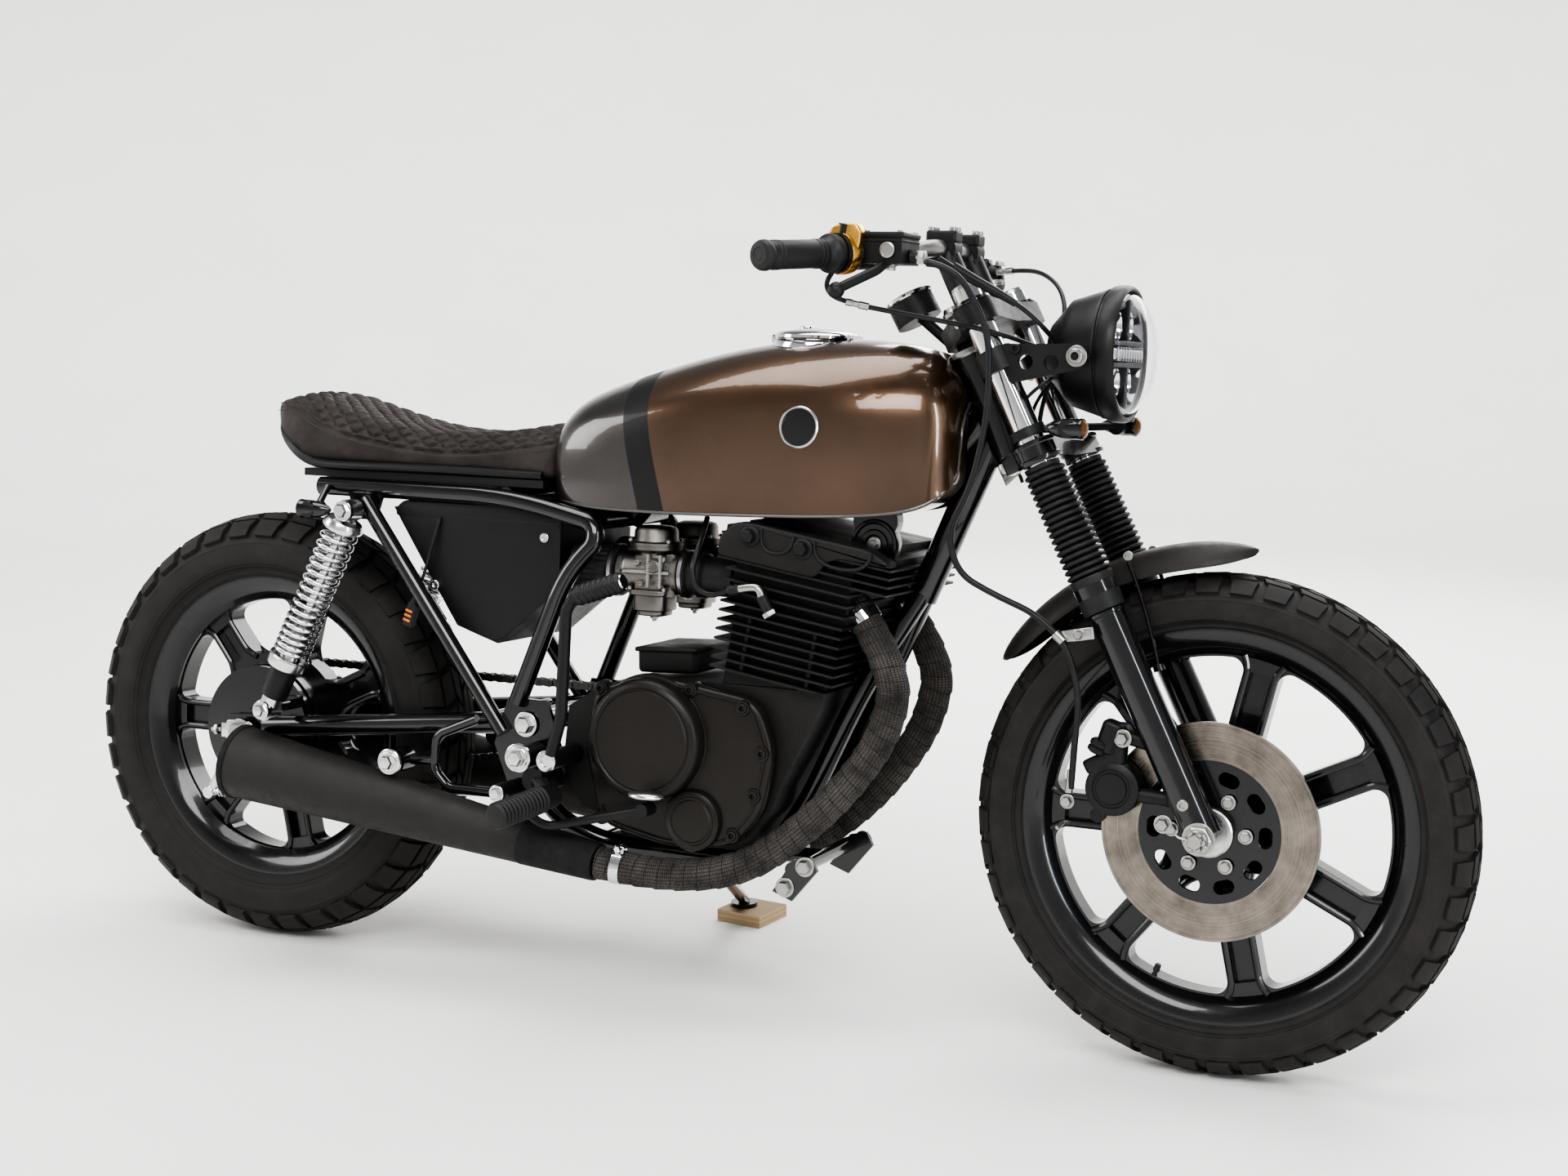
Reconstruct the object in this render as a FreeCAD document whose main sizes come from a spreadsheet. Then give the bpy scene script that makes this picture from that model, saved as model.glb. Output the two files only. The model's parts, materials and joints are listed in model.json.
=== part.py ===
import FreeCAD, Part
import math
import os

import Sketcher
from FreeCAD import Placement, Rotation, Vector

# A cafe racer motorcycle with a parallel twin engine, standing on its side stand.
# Millimetres and degrees. Every piece is drawn on the upright machine: X runs forward from the
# rear wheel's axle, Y to the machine's left and Z up from the floor. The whole machine then
# leans to its left about the line where its tyres touch the floor, and its origin moves to the
# middle of the floor area that it covers.

SIZES = {
    # Stance
    "lean": 4.0,
    "wheelbase": 1385.0,
    "rake": 27.0,
    "fork_offset": 53.2,
    "running_gap": 5.0,
    "seat_gap": 0.3,
    # Rear wheel
    "rear_tyre_radius": 308.0,
    "rear_tyre_width": 118.0,
    "rear_crown_radius": 78.0,
    "rear_lip_radius": 217.0,
    "rear_rim_width": 84.0,
    "rear_hub_radius": 92.0,
    "rear_hub_right": 52.0,
    "rear_hub_left": 30.0,
    "rear_web_radius": 106.0,
    # Front wheel
    "front_tyre_radius": 309.5,
    "front_tyre_width": 92.0,
    "front_crown_radius": 62.0,
    "front_lip_radius": 242.5,
    "front_rim_width": 65.0,
    "front_hub_radius": 42.0,
    "front_hub_half": 50.0,
    "front_web_radius": 66.0,
    # Both wheels
    "tyre_wall": 9.0,
    "lip_height": 13.5,
    "lip_wall": 6.0,
    "bead_seat": 14.0,
    "well_depth": 13.0,
    "rim_wall": 6.0,
    "spoke_count": 7,
    "spoke_width": 44.0,
    "spoke_depth": 30.0,
    "spoke_rib": 9.0,
    "groove_depth": 9.0,
    "window_corner": 15.0,
    "axle_radius": 8.0,
    "axle_clearance": 0.5,
    "axle_nut_radius": 14.0,
    "axle_nut_length": 12.0,
    # Front brake
    "disc_radius": 133.5,
    "disc_inner_radius": 87.0,
    "disc_thickness": 5.0,
    "disc_side": 58.0,
    "disc_window_count": 10,
    "disc_window_radius": 68.0,
    "disc_window_width": 17.0,
    "disc_window_length": 26.0,
    "disc_bolt_count": 6,
    "disc_bolt_circle": 45.0,
    "disc_bolt_radius": 6.0,
    "disc_bolt_height": 4.0,
    "caliper_angle": 156.0,
    "caliper_radius": 33.0,
    "caliper_inset": 12.0,
    "caliper_lug_low": 42.0,
    "caliper_lug_high": 112.0,
    "hose_radius": 4.0,
    # Rear brake and drive
    "brake_plate_radius": 90.0,
    "brake_plate_thickness": 9.0,
    "brake_boss_radius": 30.0,
    "sprocket_radius": 82.0,
    "sprocket_side": 72.0,
    "sprocket_thickness": 7.0,
    "sprocket_carrier_radius": 45.0,
    "sprocket_hole_count": 5,
    "drive_sprocket_radius": 38.0,
    "drive_ahead": 545.0,
    "pivot_above_chain": 15.1,
    "chain_height": 15.0,
    "chain_width": 14.0,
    # Fork
    "fork_side": 88.0,
    "fork_tube_radius": 17.5,
    "fork_top": 719.0,
    "slider_radius": 22.5,
    "slider_top": 327.0,
    "slider_foot": 60.0,
    "slider_foot_radius": 16.0,
    "slider_floor": 60.0,
    "collar_height": 14.0,
    "axle_lug_radius": 17.0,
    "axle_lug_width": 46.0,
    "axle_tip": 22.0,
    "gaiter_radius": 27.0,
    "gaiter_bottom": 337.0,
    "gaiter_top": 485.0,
    "gaiter_folds": 14,
    "gaiter_fold_depth": 5.5,
    # Clamps and steering head
    "lower_clamp_low": 487.0,
    "upper_clamp_low": 671.0,
    "clamp_thickness": 26.0,
    "clamp_wall": 9.0,
    "stem_radius": 14.0,
    "stem_cap": 14.0,
    "head_radius": 28.0,
    "head_bore": 21.0,
    "head_nut_height": 15.0,
    # Handlebar and its controls
    "bar_radius": 11.0,
    "bar_wall": 2.5,
    "bar_along": 785.5,
    "bar_behind": 18.4,
    "bar_straight": 72.0,
    "bar_half_width": 350.0,
    "bar_drop": 25.0,
    "bar_back": 110.0,
    "knee_side": 105.0,
    "knee_back": 14.0,
    "knee_drop": 6.0,
    "grip_length": 123.0,
    "grip_radius": 16.5,
    "grip_flange": 6.0,
    "riser_side": 42.0,
    "riser_radius": 16.0,
    "perch_in": 152.0,
    "perch_width": 26.0,
    "lever_radius": 6.0,
    "lever_ball_radius": 10.0,
    "throttle_radius": 24.0,
    "throttle_width": 22.0,
    "gauge_ahead": 968.0,
    "gauge_height": 912.0,
    "gauge_radius": 30.0,
    "gauge_depth": 32.0,
    # Headlight, its brackets and the lamps beside it
    "headlight_radius": 82.5,
    "headlight_ahead": 1241.0,
    "headlight_height": 877.5,
    "headlight_depth": 98.0,
    "headlight_rim": 16.0,
    "headlight_wall": 3.0,
    "lens_radius": 76.0,
    "lens_bulge": 34.0,
    "bracket_side": 101.0,
    "bracket_thickness": 5.0,
    "bracket_along": 622.0,
    "bracket_hole_radius": 9.0,
    "lamp_bolt_ahead": 1208.0,
    "lamp_bolt_height": 873.0,
    "lamp_bolt_radius": 7.0,
    "indicator_along": 520.0,
    "indicator_radius": 11.0,
    "indicator_stalk_radius": 5.0,
    # Frame
    "backbone_radius": 19.0,
    "backbone_rise": 35.0,
    "backbone_bend_back": 52.3,
    "seat_cross_ahead": 560.0,
    "seat_cross_drop": 25.0,
    "downtube_radius": 19.0,
    "downtube_drop": 32.0,
    "split_ahead": 985.0,
    "split_height": 560.0,
    "rail_radius": 12.5,
    "rail_side": 102.0,
    "rail_height": 665.0,
    "rail_rear_ahead": 129.0,
    "rail_front_ahead": 430.0,
    "stay_side": 121.0,
    "stay_radius": 11.0,
    "cradle_side": 45.0,
    "cradle_radius": 13.0,
    "cradle_low_side": 62.0,
    "cradle_height": 205.0,
    "cradle_front_ahead": 852.0,
    "cradle_front_height": 283.0,
    "plate_side": 115.0,
    "plate_thickness": 6.0,
    "engine_plate_side": 95.0,
    "engine_plate_thickness": 6.0,
    "frame_clearance": 4.0,
    # Swing arm and shocks
    "pivot_ahead": 474.0,
    "pivot_rise": 56.0,
    "pivot_bolt_radius": 9.0,
    "pivot_tube_radius": 17.0,
    "swing_side": 92.0,
    "swing_radius": 15.0,
    "swing_end_ahead": 34.0,
    "swing_end_rise": 9.0,
    "swing_cross_back": 82.0,
    "dropout_thickness": 10.0,
    "shock_side": 150.0,
    "shock_top_ahead": 209.0,
    "shock_top_drop": 28.0,
    "shock_foot_ahead": 78.0,
    "shock_foot_rise": 45.0,
    "shock_stud_radius": 7.0,
    "shock_eye_radius": 15.0,
    "damper_radius": 15.0,
    "damper_rod_radius": 6.0,
    "spring_radius": 26.0,
    "spring_wire": 7.0,
    "spring_low": 86.0,
    "spring_high": 284.0,
    # Crankcase and covers
    "case_right": 115.0,
    "case_left": 108.0,
    "case_chain_side": 50.0,
    "case_bottom": 228.0,
    "gearbox_rear_ahead": 536.0,
    "clutch_ahead": 668.0,
    "clutch_drop": 77.0,
    "clutch_radius": 80.0,
    "clutch_side": 165.0,
    "cover_side": 138.0,
    "small_cap_ahead": 735.0,
    "small_cap_height": 266.0,
    "small_cap_radius": 38.0,
    "small_cap_side": 150.0,
    "generator_ahead": 780.0,
    "generator_drop": 77.0,
    "generator_radius": 76.0,
    "generator_side": 138.0,
    # Cylinders
    "deck_ahead": 829.0,
    "deck_height": 443.0,
    "cylinder_tilt": 9.0,
    "block_height": 98.0,
    "block_width": 226.0,
    "block_depth": 140.0,
    "fin_count": 8,
    "fin_thickness": 3.0,
    "fin_width": 260.0,
    "fin_depth": 171.0,
    "head_height": 84.0,
    "head_fin_count": 4,
    "head_fin_depth": 235.0,
    "port_fin_count": 3,
    "port_height": 20.0,
    "cover_height": 18.0,
    # Carburettors
    "carb_side": 60.0,
    "carb_ahead": 631.0,
    "carb_height": 574.0,
    "throat_radius": 28.0,
    "dome_radius": 32.0,
    "dome_height": 60.0,
    "bowl_length": 52.0,
    "bowl_width": 54.0,
    "bowl_depth": 57.0,
    "boot_radius": 24.0,
    "filter_radius": 34.0,
    "filter_length": 70.0,
    # Exhaust
    "header_radius": 21.0,
    "header_clearance": 0.3,
    "muffler_side": 150.0,
    "muffler_radius": 51.0,
    "muffler_wall": 2.5,
    "muffler_recess": 60.0,
    "muffler_neck_radius": 24.5,
    "muffler_neck_depth": 40.0,
    "muffler_rear_ahead": 31.0,
    "muffler_rear_height": 275.0,
    "muffler_front_ahead": 603.0,
    "muffler_front_height": 198.0,
    "hanger_ahead": 284.0,
    "hanger_height": 300.0,
    "hanger_bolt_radius": 5.0,
    "hanger_rod_radius": 7.0,
    "hanger_boss_radius": 17.0,
    # Tank and cap
    "tank_length": 565.0,
    "tank_rear": 482.0,
    "tank_half_width": 128.0,
    "tunnel_clearance": 8.0,
    "cap_ahead": 825.0,
    "cap_radius": 50.0,
    "cap_above_backbone": 172.0,
    "cap_rise": 28.0,
    "cap_flange": 6.0,
    "cap_seat": 15.0,
    # Saddle, side box and horn
    "seat_half_width": 112.0,
    "pan_front_ahead": 478.0,
    "pan_rear_ahead": 96.0,
    "pan_half_width": 96.0,
    "pan_thickness": 10.7,
    "box_half_width": 98.0,
    "tab_radius": 4.5,
    "horn_radius": 30.0,
    "horn_ahead": 945.0,
    "horn_drop": 39.0,
    "horn_clearance": 8.0,
    # Foot controls, placed from the swing arm's pivot
    "peg_ahead": 40.0,
    "peg_drop": 64.0,
    "peg_radius": 16.0,
    "pedal_drop": 83.0,
    "pedal_side": 181.0,
    "pedal_radius": 6.0,
    "shoe_ahead": 214.0,
    "shoe_radius": 9.0,
    "kick_ahead": 72.0,
    "kick_drop": 32.0,
    "kick_side": 188.0,
    "kick_radius": 8.0,
    # Front fender
    "fender_clearance": 27.0,
    "fender_thickness": 3.0,
    "fender_half_width": 50.0,
    "fender_front": 86.0,
    "fender_rear": 147.0,
    "fender_stay_along": 326.0,
    "fender_stay_radius": 6.0,
    # Side stand and its pad
    "stand_pivot_ahead": 668.0,
    "stand_pivot_side": 84.0,
    "stand_pivot_height": 150.0,
    "stand_pin_radius": 5.0,
    "stand_radius": 9.0,
    "stand_foot_radius": 20.0,
    "stand_foot_ahead": 593.0,
    "stand_foot_side": 335.0,
    "block_side": 75.0,
    "block_thickness": 18.0,
}


class Size(float):
    """A value of the sheet, or one worked out from such values, with its expression."""

    def __new__(cls, value, text=None):
        size = super().__new__(cls, value)
        size.text = repr(float(value)) if text is None else text
        return size

    def joined(self, sign, other, value, swapped=False):
        """The result of one sum, with both sides' expressions in it."""
        ours, theirs = self.text, Size.words(other)
        first, last = (theirs, ours) if swapped else (ours, theirs)
        return Size(value, f"({first} {sign} {last})")

    @staticmethod
    def words(value):
        """The expression of a size, or a bare number as text."""
        return value.text if isinstance(value, Size) else repr(float(value))

    def __add__(self, other):
        return self.joined("+", other, float(self) + float(other))

    def __radd__(self, other):
        return self.joined("+", other, float(other) + float(self), True)

    def __sub__(self, other):
        return self.joined("-", other, float(self) - float(other))

    def __rsub__(self, other):
        return self.joined("-", other, float(other) - float(self), True)

    def __mul__(self, other):
        return self.joined("*", other, float(self) * float(other))

    def __rmul__(self, other):
        return self.joined("*", other, float(other) * float(self), True)

    def __truediv__(self, other):
        return self.joined("/", other, float(self) / float(other))

    def __rtruediv__(self, other):
        return self.joined("/", other, float(other) / float(self), True)

    def __neg__(self):
        return Size(-float(self), f"(-1 * {self.text})")


class Sheet:
    """The sizes by name, each tied to its cell."""


doc = FreeCAD.newDocument("cafe_racer")
cells = doc.addObject("Spreadsheet::Sheet", "Sizes")
S = Sheet()
for row, (size_name, size_value) in enumerate(SIZES.items(), 1):
    cells.set(f"A{row}", size_name)
    cells.set(f"B{row}", str(size_value))
    cells.setAlias(f"B{row}", size_name)
    setattr(S, size_name, Size(size_value, f"Sizes.{size_name}"))
doc.recompute()

X_AXIS = Vector(1, 0, 0)
Y_AXIS = Vector(0, 1, 0)
Z_AXIS = Vector(0, 0, 1)
RIGHT = -1
LEFT = 1
NODES = []

lean_angle = math.radians(S.lean)
rake_angle = math.radians(S.rake)


def along_fork(along, ahead, side=0.0):
    """A point given by its height up the fork, its distance ahead of the legs and its side."""
    up_leg = Vector(-math.sin(rake_angle), 0, math.cos(rake_angle))
    forward = Vector(math.cos(rake_angle), 0, math.sin(rake_angle))
    return front_axle + up_leg * float(along) + forward * float(ahead) + Y_AXIS * float(side)


# Heights that several sub-parts are placed from
front_axle = Vector(S.wheelbase, 0, S.front_tyre_radius)
rear_axle = Vector(0, 0, S.rear_tyre_radius)
fork_direction = Vector(-math.sin(rake_angle), 0, math.cos(rake_angle))
pivot_height = S.rear_tyre_radius + S.pivot_rise
backbone_height = S.rail_height + S.backbone_rise
shock_top_height = S.rail_height - S.shock_top_drop
shock_foot_height = S.rear_tyre_radius + S.shock_foot_rise
clutch_height = S.deck_height - S.clutch_drop
generator_height = S.deck_height - S.generator_drop
grip_height = along_fork(S.bar_along, -S.bar_behind).z - S.bar_drop

# The machine leans about the floor line, and a leaning tyre's round crown lifts it a little.
STANCE = Placement(
    Vector(
        -(S.wheelbase + S.front_tyre_radius - S.rear_tyre_radius) / 2,
        -grip_height * math.sin(lean_angle),
        S.rear_crown_radius * (1 - math.cos(lean_angle)),
    ),
    Rotation(X_AXIS, -float(S.lean)),
)


# Helpers


def bind(thing, name, value):
    """Give a property its value, tied to the sheet where the value comes from it."""
    if isinstance(value, Size):
        thing.setExpression(name, value.text)
    else:
        setattr(thing, name, value)


def node(label, thing):
    """Name a finished sub-part and lean it with the machine."""
    thing.Label = label
    thing.Placement = STANCE.multiply(thing.Placement)
    NODES.append(thing)
    return thing


def turn_to(direction):
    """The rotation that takes the Z axis to a direction."""
    return Rotation(Z_AXIS, Vector(direction))


def new_body(name, at=Vector(), rotation=Rotation()):
    """An empty body at its place on the upright machine."""
    body = doc.addObject("PartDesign::Body", name)
    body.Placement = Placement(at, rotation)
    return body


def origin_feature(body, role):
    """One of a body's own origin planes or axes."""
    return next(f for f in body.Origin.OriginFeatures if f.Role == role)


def new_sketch(body, role, lift=0.0):
    """An empty sketch on a body's origin plane, lifted along its normal."""
    sketch = body.newObject("Sketcher::SketchObject", "Sketch")
    sketch.AttachmentSupport = (origin_feature(body, role), [""])
    sketch.MapMode = "FlatFace"
    if isinstance(lift, Size):
        sketch.setExpression("AttachmentOffset.Base.z", lift.text)
    else:
        sketch.AttachmentOffset = Placement(Vector(0, 0, lift), Rotation())
    return sketch


def hold(sketch, kind, edge, end, value):
    """Hold a point at a distance from the sketch's origin along one of its axes."""
    if not isinstance(value, Size) and abs(value) < 1e-9:
        sketch.addConstraint(
            Sketcher.Constraint("PointOnObject", edge, end, -2 if kind == "DistanceX" else -1)
        )
        return
    index = sketch.addConstraint(Sketcher.Constraint(kind, -1, 1, edge, end, float(value)))
    if isinstance(value, Size):
        sketch.setExpression(f"Constraints[{index}]", value.text)


def outline(body, role, corners, lift=0.0, sketch=None):
    """Draw a closed outline through corners (across, up) or (across, up, radius).

    A radius bends the edge that leaves its corner: a positive one turns it to the left.
    """
    sketch = sketch or new_sketch(body, role, lift)
    first = sketch.GeometryCount
    starts = []
    ends = []
    for number, corner in enumerate(corners):
        following = corners[(number + 1) % len(corners)]
        start = Vector(float(corner[0]), float(corner[1]), 0)
        end = Vector(float(following[0]), float(following[1]), 0)
        if len(corner) == 2:
            sketch.addGeometry(Part.LineSegment(start, end), False)
            starts.append(1)
            ends.append(2)
            continue
        radius = abs(float(corner[2]))
        to_left = corner[2] > 0
        run = end - start
        normal = Vector(-run.y, run.x, 0).normalize()
        height = math.sqrt(max(radius**2 - (run.Length / 2) ** 2, 0.0))
        centre = (start + end) * 0.5 + normal * (height if to_left else -height)
        low, high = (start, end) if to_left else (end, start)
        angles = [math.atan2(p.y - centre.y, p.x - centre.x) for p in (low, high)]
        if angles[1] < angles[0]:
            angles[1] += 2 * math.pi
        arc = Part.ArcOfCircle(Part.Circle(centre, Z_AXIS, radius), angles[0], angles[1])
        sketch.addGeometry(arc, False)
        starts.append(1 if to_left else 2)
        ends.append(2 if to_left else 1)
    count = len(corners)
    for number, corner in enumerate(corners):
        after = (number + 1) % count
        sketch.addConstraint(
            Sketcher.Constraint(
                "Coincident", first + number, ends[number], first + after, starts[after]
            )
        )
        hold(sketch, "DistanceX", first + number, starts[number], corner[0])
        hold(sketch, "DistanceY", first + number, starts[number], corner[1])
        if len(corner) == 3:
            radius = corner[2] if corner[2] > 0 else -corner[2]
            index = sketch.addConstraint(
                Sketcher.Constraint("Radius", first + number, float(radius))
            )
            if isinstance(radius, Size):
                sketch.setExpression(f"Constraints[{index}]", radius.text)
    return sketch


def circles(body, role, radii, centre=(0.0, 0.0), lift=0.0):
    """A sketch of circles about one centre."""
    sketch = new_sketch(body, role, lift)
    for radius in radii:
        spot = Vector(float(centre[0]), float(centre[1]), 0)
        edge = sketch.addGeometry(Part.Circle(spot, Z_AXIS, float(radius)), False)
        hold(sketch, "DistanceX", edge, 3, centre[0])
        hold(sketch, "DistanceY", edge, 3, centre[1])
        index = sketch.addConstraint(Sketcher.Constraint("Radius", edge, float(radius)))
        if isinstance(radius, Size):
            sketch.setExpression(f"Constraints[{index}]", radius.text)
    return sketch


def pad(body, sketch, length):
    """Pad a sketch along its normal."""
    feature = body.newObject("PartDesign::Pad", "Pad")
    feature.Profile = sketch
    bind(feature, "Length", length)
    return feature


def pocket(body, sketch, length):
    """Cut a sketch along its normal, the way that a pad of it would grow."""
    feature = body.newObject("PartDesign::Pocket", "Pocket")
    feature.Profile = sketch
    feature.Reversed = True
    bind(feature, "Length", length)
    return feature


def revolve(body, sketch, axis="V_Axis"):
    """Turn a sketch about one of its own axes."""
    feature = body.newObject("PartDesign::Revolution", "Revolution")
    feature.Profile = sketch
    feature.ReferenceAxis = (sketch, [axis])
    feature.Angle = 360
    return feature


def polar(body, feature, count):
    """Repeat a feature round the body's Z axis."""
    pattern = body.newObject("PartDesign::PolarPattern", "PolarPattern")
    pattern.Originals = [feature]
    pattern.Axis = (origin_feature(body, "Z_Axis"), [""])
    pattern.Angle = 360
    bind(pattern, "Occurrences", count)
    body.Tip = pattern
    return pattern


def cylinder(radius, length, at, direction):
    """A rod from a point along a direction."""
    rod = doc.addObject("Part::Cylinder", "Rod")
    bind(rod, "Radius", radius)
    bind(rod, "Height", length)
    rod.Placement = Placement(Vector(at), turn_to(direction))
    return rod


def across(radius, start, end, ahead, height):
    """A rod across the machine, from one side distance to another."""
    low, high = sorted((start, end))
    return cylinder(radius, high - low, Vector(ahead, low, height), Y_AXIS)


def bar_between(radius, start, end):
    """A straight rod from one point to another."""
    run = Vector(end) - Vector(start)
    return cylinder(radius, run.Length, start, run)


def block(size, at, rotation=Rotation()):
    """A box of three sizes, from its lowest corner."""
    box = doc.addObject("Part::Box", "Block")
    for name, value in zip(("Length", "Width", "Height"), size):
        bind(box, name, value)
    box.Placement = Placement(Vector(at), rotation)
    return box


def fuse(*things):
    """Join objects into one solid."""
    joined = doc.addObject("Part::MultiFuse", "Joined")
    joined.Shapes = list(things)
    return joined


def fuse_apart(*things):
    """Keep like pieces that don't touch as separate solids of one sub-part."""
    pair = doc.addObject("Part::Compound", "Pieces")
    pair.Links = list(things)
    return pair


def cut(base, *tools):
    """Take tools out of an object."""
    result = doc.addObject("Part::Cut", "Cut")
    result.Base = base
    result.Tool = tools[0] if len(tools) == 1 else fuse(*tools)
    return result


def route(points, radii=None):
    """A wire of straight runs joined by tangent arcs."""
    points = [Vector(p) for p in points]
    edges = []
    here = points[0]
    for number in range(1, len(points) - 1):
        back = points[number - 1] - points[number]
        onward = points[number + 1] - points[number]
        half_turn = (math.pi - back.getAngle(onward)) / 2
        shorter = min(back.Length, onward.Length)
        widest = 0.45 * shorter / math.tan(half_turn)
        radius = widest if radii is None else min(radii, widest)
        reach = radius * math.tan(half_turn)
        enter = points[number] + back.normalize() * reach
        leave = points[number] + onward.normalize() * reach
        inward = (back + onward).normalize()
        middle = points[number] + inward * (radius / math.cos(half_turn) - radius)
        edges.append(Part.LineSegment(here, enter).toShape())
        edges.append(Part.Arc(enter, middle, leave).toShape())
        here = leave
    edges.append(Part.LineSegment(here, points[-1]).toShape())
    return Part.Wire(edges)


def bent_tube(radius, points, bend=None, bore=0.0):
    """A round tube along straight runs and bends, open inside where it has a bore."""
    path = route(points, bend)
    start = Vector(points[0])
    heading = Vector(points[1]) - start
    rings = [radius, bore] if bore else [radius]
    pipes = []
    for ring in rings:
        section = Part.Wire(Part.Circle(start, heading, float(ring)).toShape())
        pipes.append(path.makePipeShell([section], True, False))
    tube = doc.addObject("Part::Feature", "Tube")
    tube.Shape = pipes[0].cut(pipes[1]) if bore else pipes[0]
    return tube


def side_plate(corners, side, thickness):
    """A flat plate that stands lengthwise, from a side distance towards the left."""
    body = new_body("Plate", Vector(0, float(side) + float(thickness), 0))
    pad(body, outline(body, "XZ_Plane", corners), thickness)
    return body


def both_sides(make):
    """What a maker builds for the right and the left side."""
    return [make(RIGHT), make(LEFT)]


# Wheels: each is drawn about its own axle, which is the body's Z axis and points to the left

WHEEL_TURN = Rotation(X_AXIS, -90)


def rim_body(label, axle, lip, width, hub, web_start, right, left):
    """A cast wheel: rim barrel, spoked web with windows and grooves, and a bored hub."""
    body = new_body(label, axle, WHEEL_TURN)
    half = width / 2
    bead = lip - S.lip_height
    well = bead - S.well_depth
    inner = well - S.rim_wall
    edge = half - S.lip_wall
    shelf = edge - S.bead_seat
    flank = bead - S.rim_wall
    barrel = [
        (inner, -shelf),
        (flank, -edge),
        (lip - S.rim_wall, -half),
        (lip, -half),
        (lip, -edge),
        (bead, -edge),
        (bead, -shelf),
        (well, -shelf / 2),
        (well, shelf / 2),
        (bead, shelf),
        (bead, edge),
        (lip, edge),
        (lip, half),
        (lip - S.rim_wall, half),
        (flank, edge),
        (inner, shelf),
    ]
    revolve(body, outline(body, "XZ_Plane", barrel))
    web = circles(body, "XY_Plane", (inner + 1, S.axle_radius + S.axle_clearance), lift=-S.spoke_depth / 2)
    pad(body, web, S.spoke_depth)
    half_spoke = S.spoke_width / 2
    step = 2 * math.pi / S.spoke_count
    far = inner - 2
    near = web_start
    corner = S.window_corner

    def on_spoke(radius, side):
        """A point of the window at a radius, beside the spoke on one side of it."""
        half_angle = step / 2 - math.asin(half_spoke / radius)
        return Vector(radius * math.cos(half_angle), side * radius * math.sin(half_angle), 0)

    # One window: two sides parallel to their spokes, an outer arc and an inner arc
    window = new_sketch(body, "XY_Plane", -S.spoke_depth / 2)
    low_in, high_in = on_spoke(near, -1), on_spoke(near, 1)
    low_out, high_out = on_spoke(far, -1), on_spoke(far, 1)
    wire = Part.Wire(
        [
            Part.LineSegment(low_in, low_out).toShape(),
            Part.Arc(low_out, Vector(far, 0, 0), high_out).toShape(),
            Part.LineSegment(high_out, high_in).toShape(),
            Part.Arc(high_in, Vector(near, 0, 0), low_in).toShape(),
        ]
    )
    face = Part.Face(wire)
    rounded = face.makeOffset2D(-float(corner)).makeOffset2D(float(corner))
    for edge_shape in rounded.Edges:
        curve = edge_shape.Curve
        if isinstance(curve, Part.Circle):
            window.addGeometry(
                Part.ArcOfCircle(curve, edge_shape.FirstParameter, edge_shape.LastParameter), False
            )
        else:
            ends = [v.Point for v in edge_shape.Vertexes]
            window.addGeometry(Part.LineSegment(ends[0], ends[-1]), False)
    opening = pocket(body, window, S.spoke_depth)
    polar(body, opening, S.spoke_count)
    # A groove down each face of each spoke leaves two ribs
    groove_half = half_spoke - S.spoke_rib
    turned = step / 2
    for lift in (S.spoke_depth / 2 - S.groove_depth, -S.spoke_depth / 2):
        groove = new_sketch(body, "XY_Plane", lift)
        spots = []
        for radius, side in ((near + 8, -1), (far - 14, -1), (far - 14, 1), (near + 8, 1)):
            x = float(radius) * math.cos(turned) - side * float(groove_half) * math.sin(turned)
            y = float(radius) * math.sin(turned) + side * float(groove_half) * math.cos(turned)
            spots.append(Vector(x, y, 0))
        for number in range(4):
            groove.addGeometry(Part.LineSegment(spots[number], spots[(number + 1) % 4]), False)
        channel = pocket(body, groove, S.groove_depth)
        polar(body, channel, S.spoke_count)
    ring = circles(body, "XY_Plane", (hub, S.axle_radius + S.axle_clearance), lift=-right)
    pad(body, ring, right + left)
    return body


def tyre_body(label, axle, radius, width, crown, lip, rim_width):
    """A tyre with a round crown, bulged walls and beads that sit on the rim."""
    body = new_body(label, axle, WHEEL_TURN)
    half = width / 2
    bead = lip - S.lip_height
    seat = rim_width / 2 - S.lip_wall
    shoulder = half * 0.88
    drop = crown - Size(math.sqrt(float(crown) ** 2 - float(shoulder) ** 2))
    tread = radius - drop
    widest = lip + (radius - lip) * 0.45
    wall = S.tyre_wall
    section = [
        (bead, -seat),
        (lip + 3, -seat),
        (widest, -half),
        (tread, -shoulder, crown),
        (tread, shoulder),
        (widest, half),
        (lip + 3, seat),
        (bead, seat),
        (bead, seat - wall),
        (widest, half - wall),
        (tread - wall, shoulder - wall, -(crown - wall)),
        (tread - wall, wall - shoulder),
        (widest, wall - half),
        (bead, wall - seat),
    ]
    revolve(body, outline(body, "XZ_Plane", section))
    return body


# Rear wheel

node(
    "rear_tyre",
    tyre_body("RearTyre", rear_axle, S.rear_tyre_radius, S.rear_tyre_width, S.rear_crown_radius,
              S.rear_lip_radius, S.rear_rim_width),
)
rear_cast = rim_body("RearCast", rear_axle, S.rear_lip_radius, S.rear_rim_width, S.rear_hub_radius,
                     S.rear_web_radius, S.rear_hub_right, S.rear_hub_left)
node("rear_rim", rear_cast)


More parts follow.
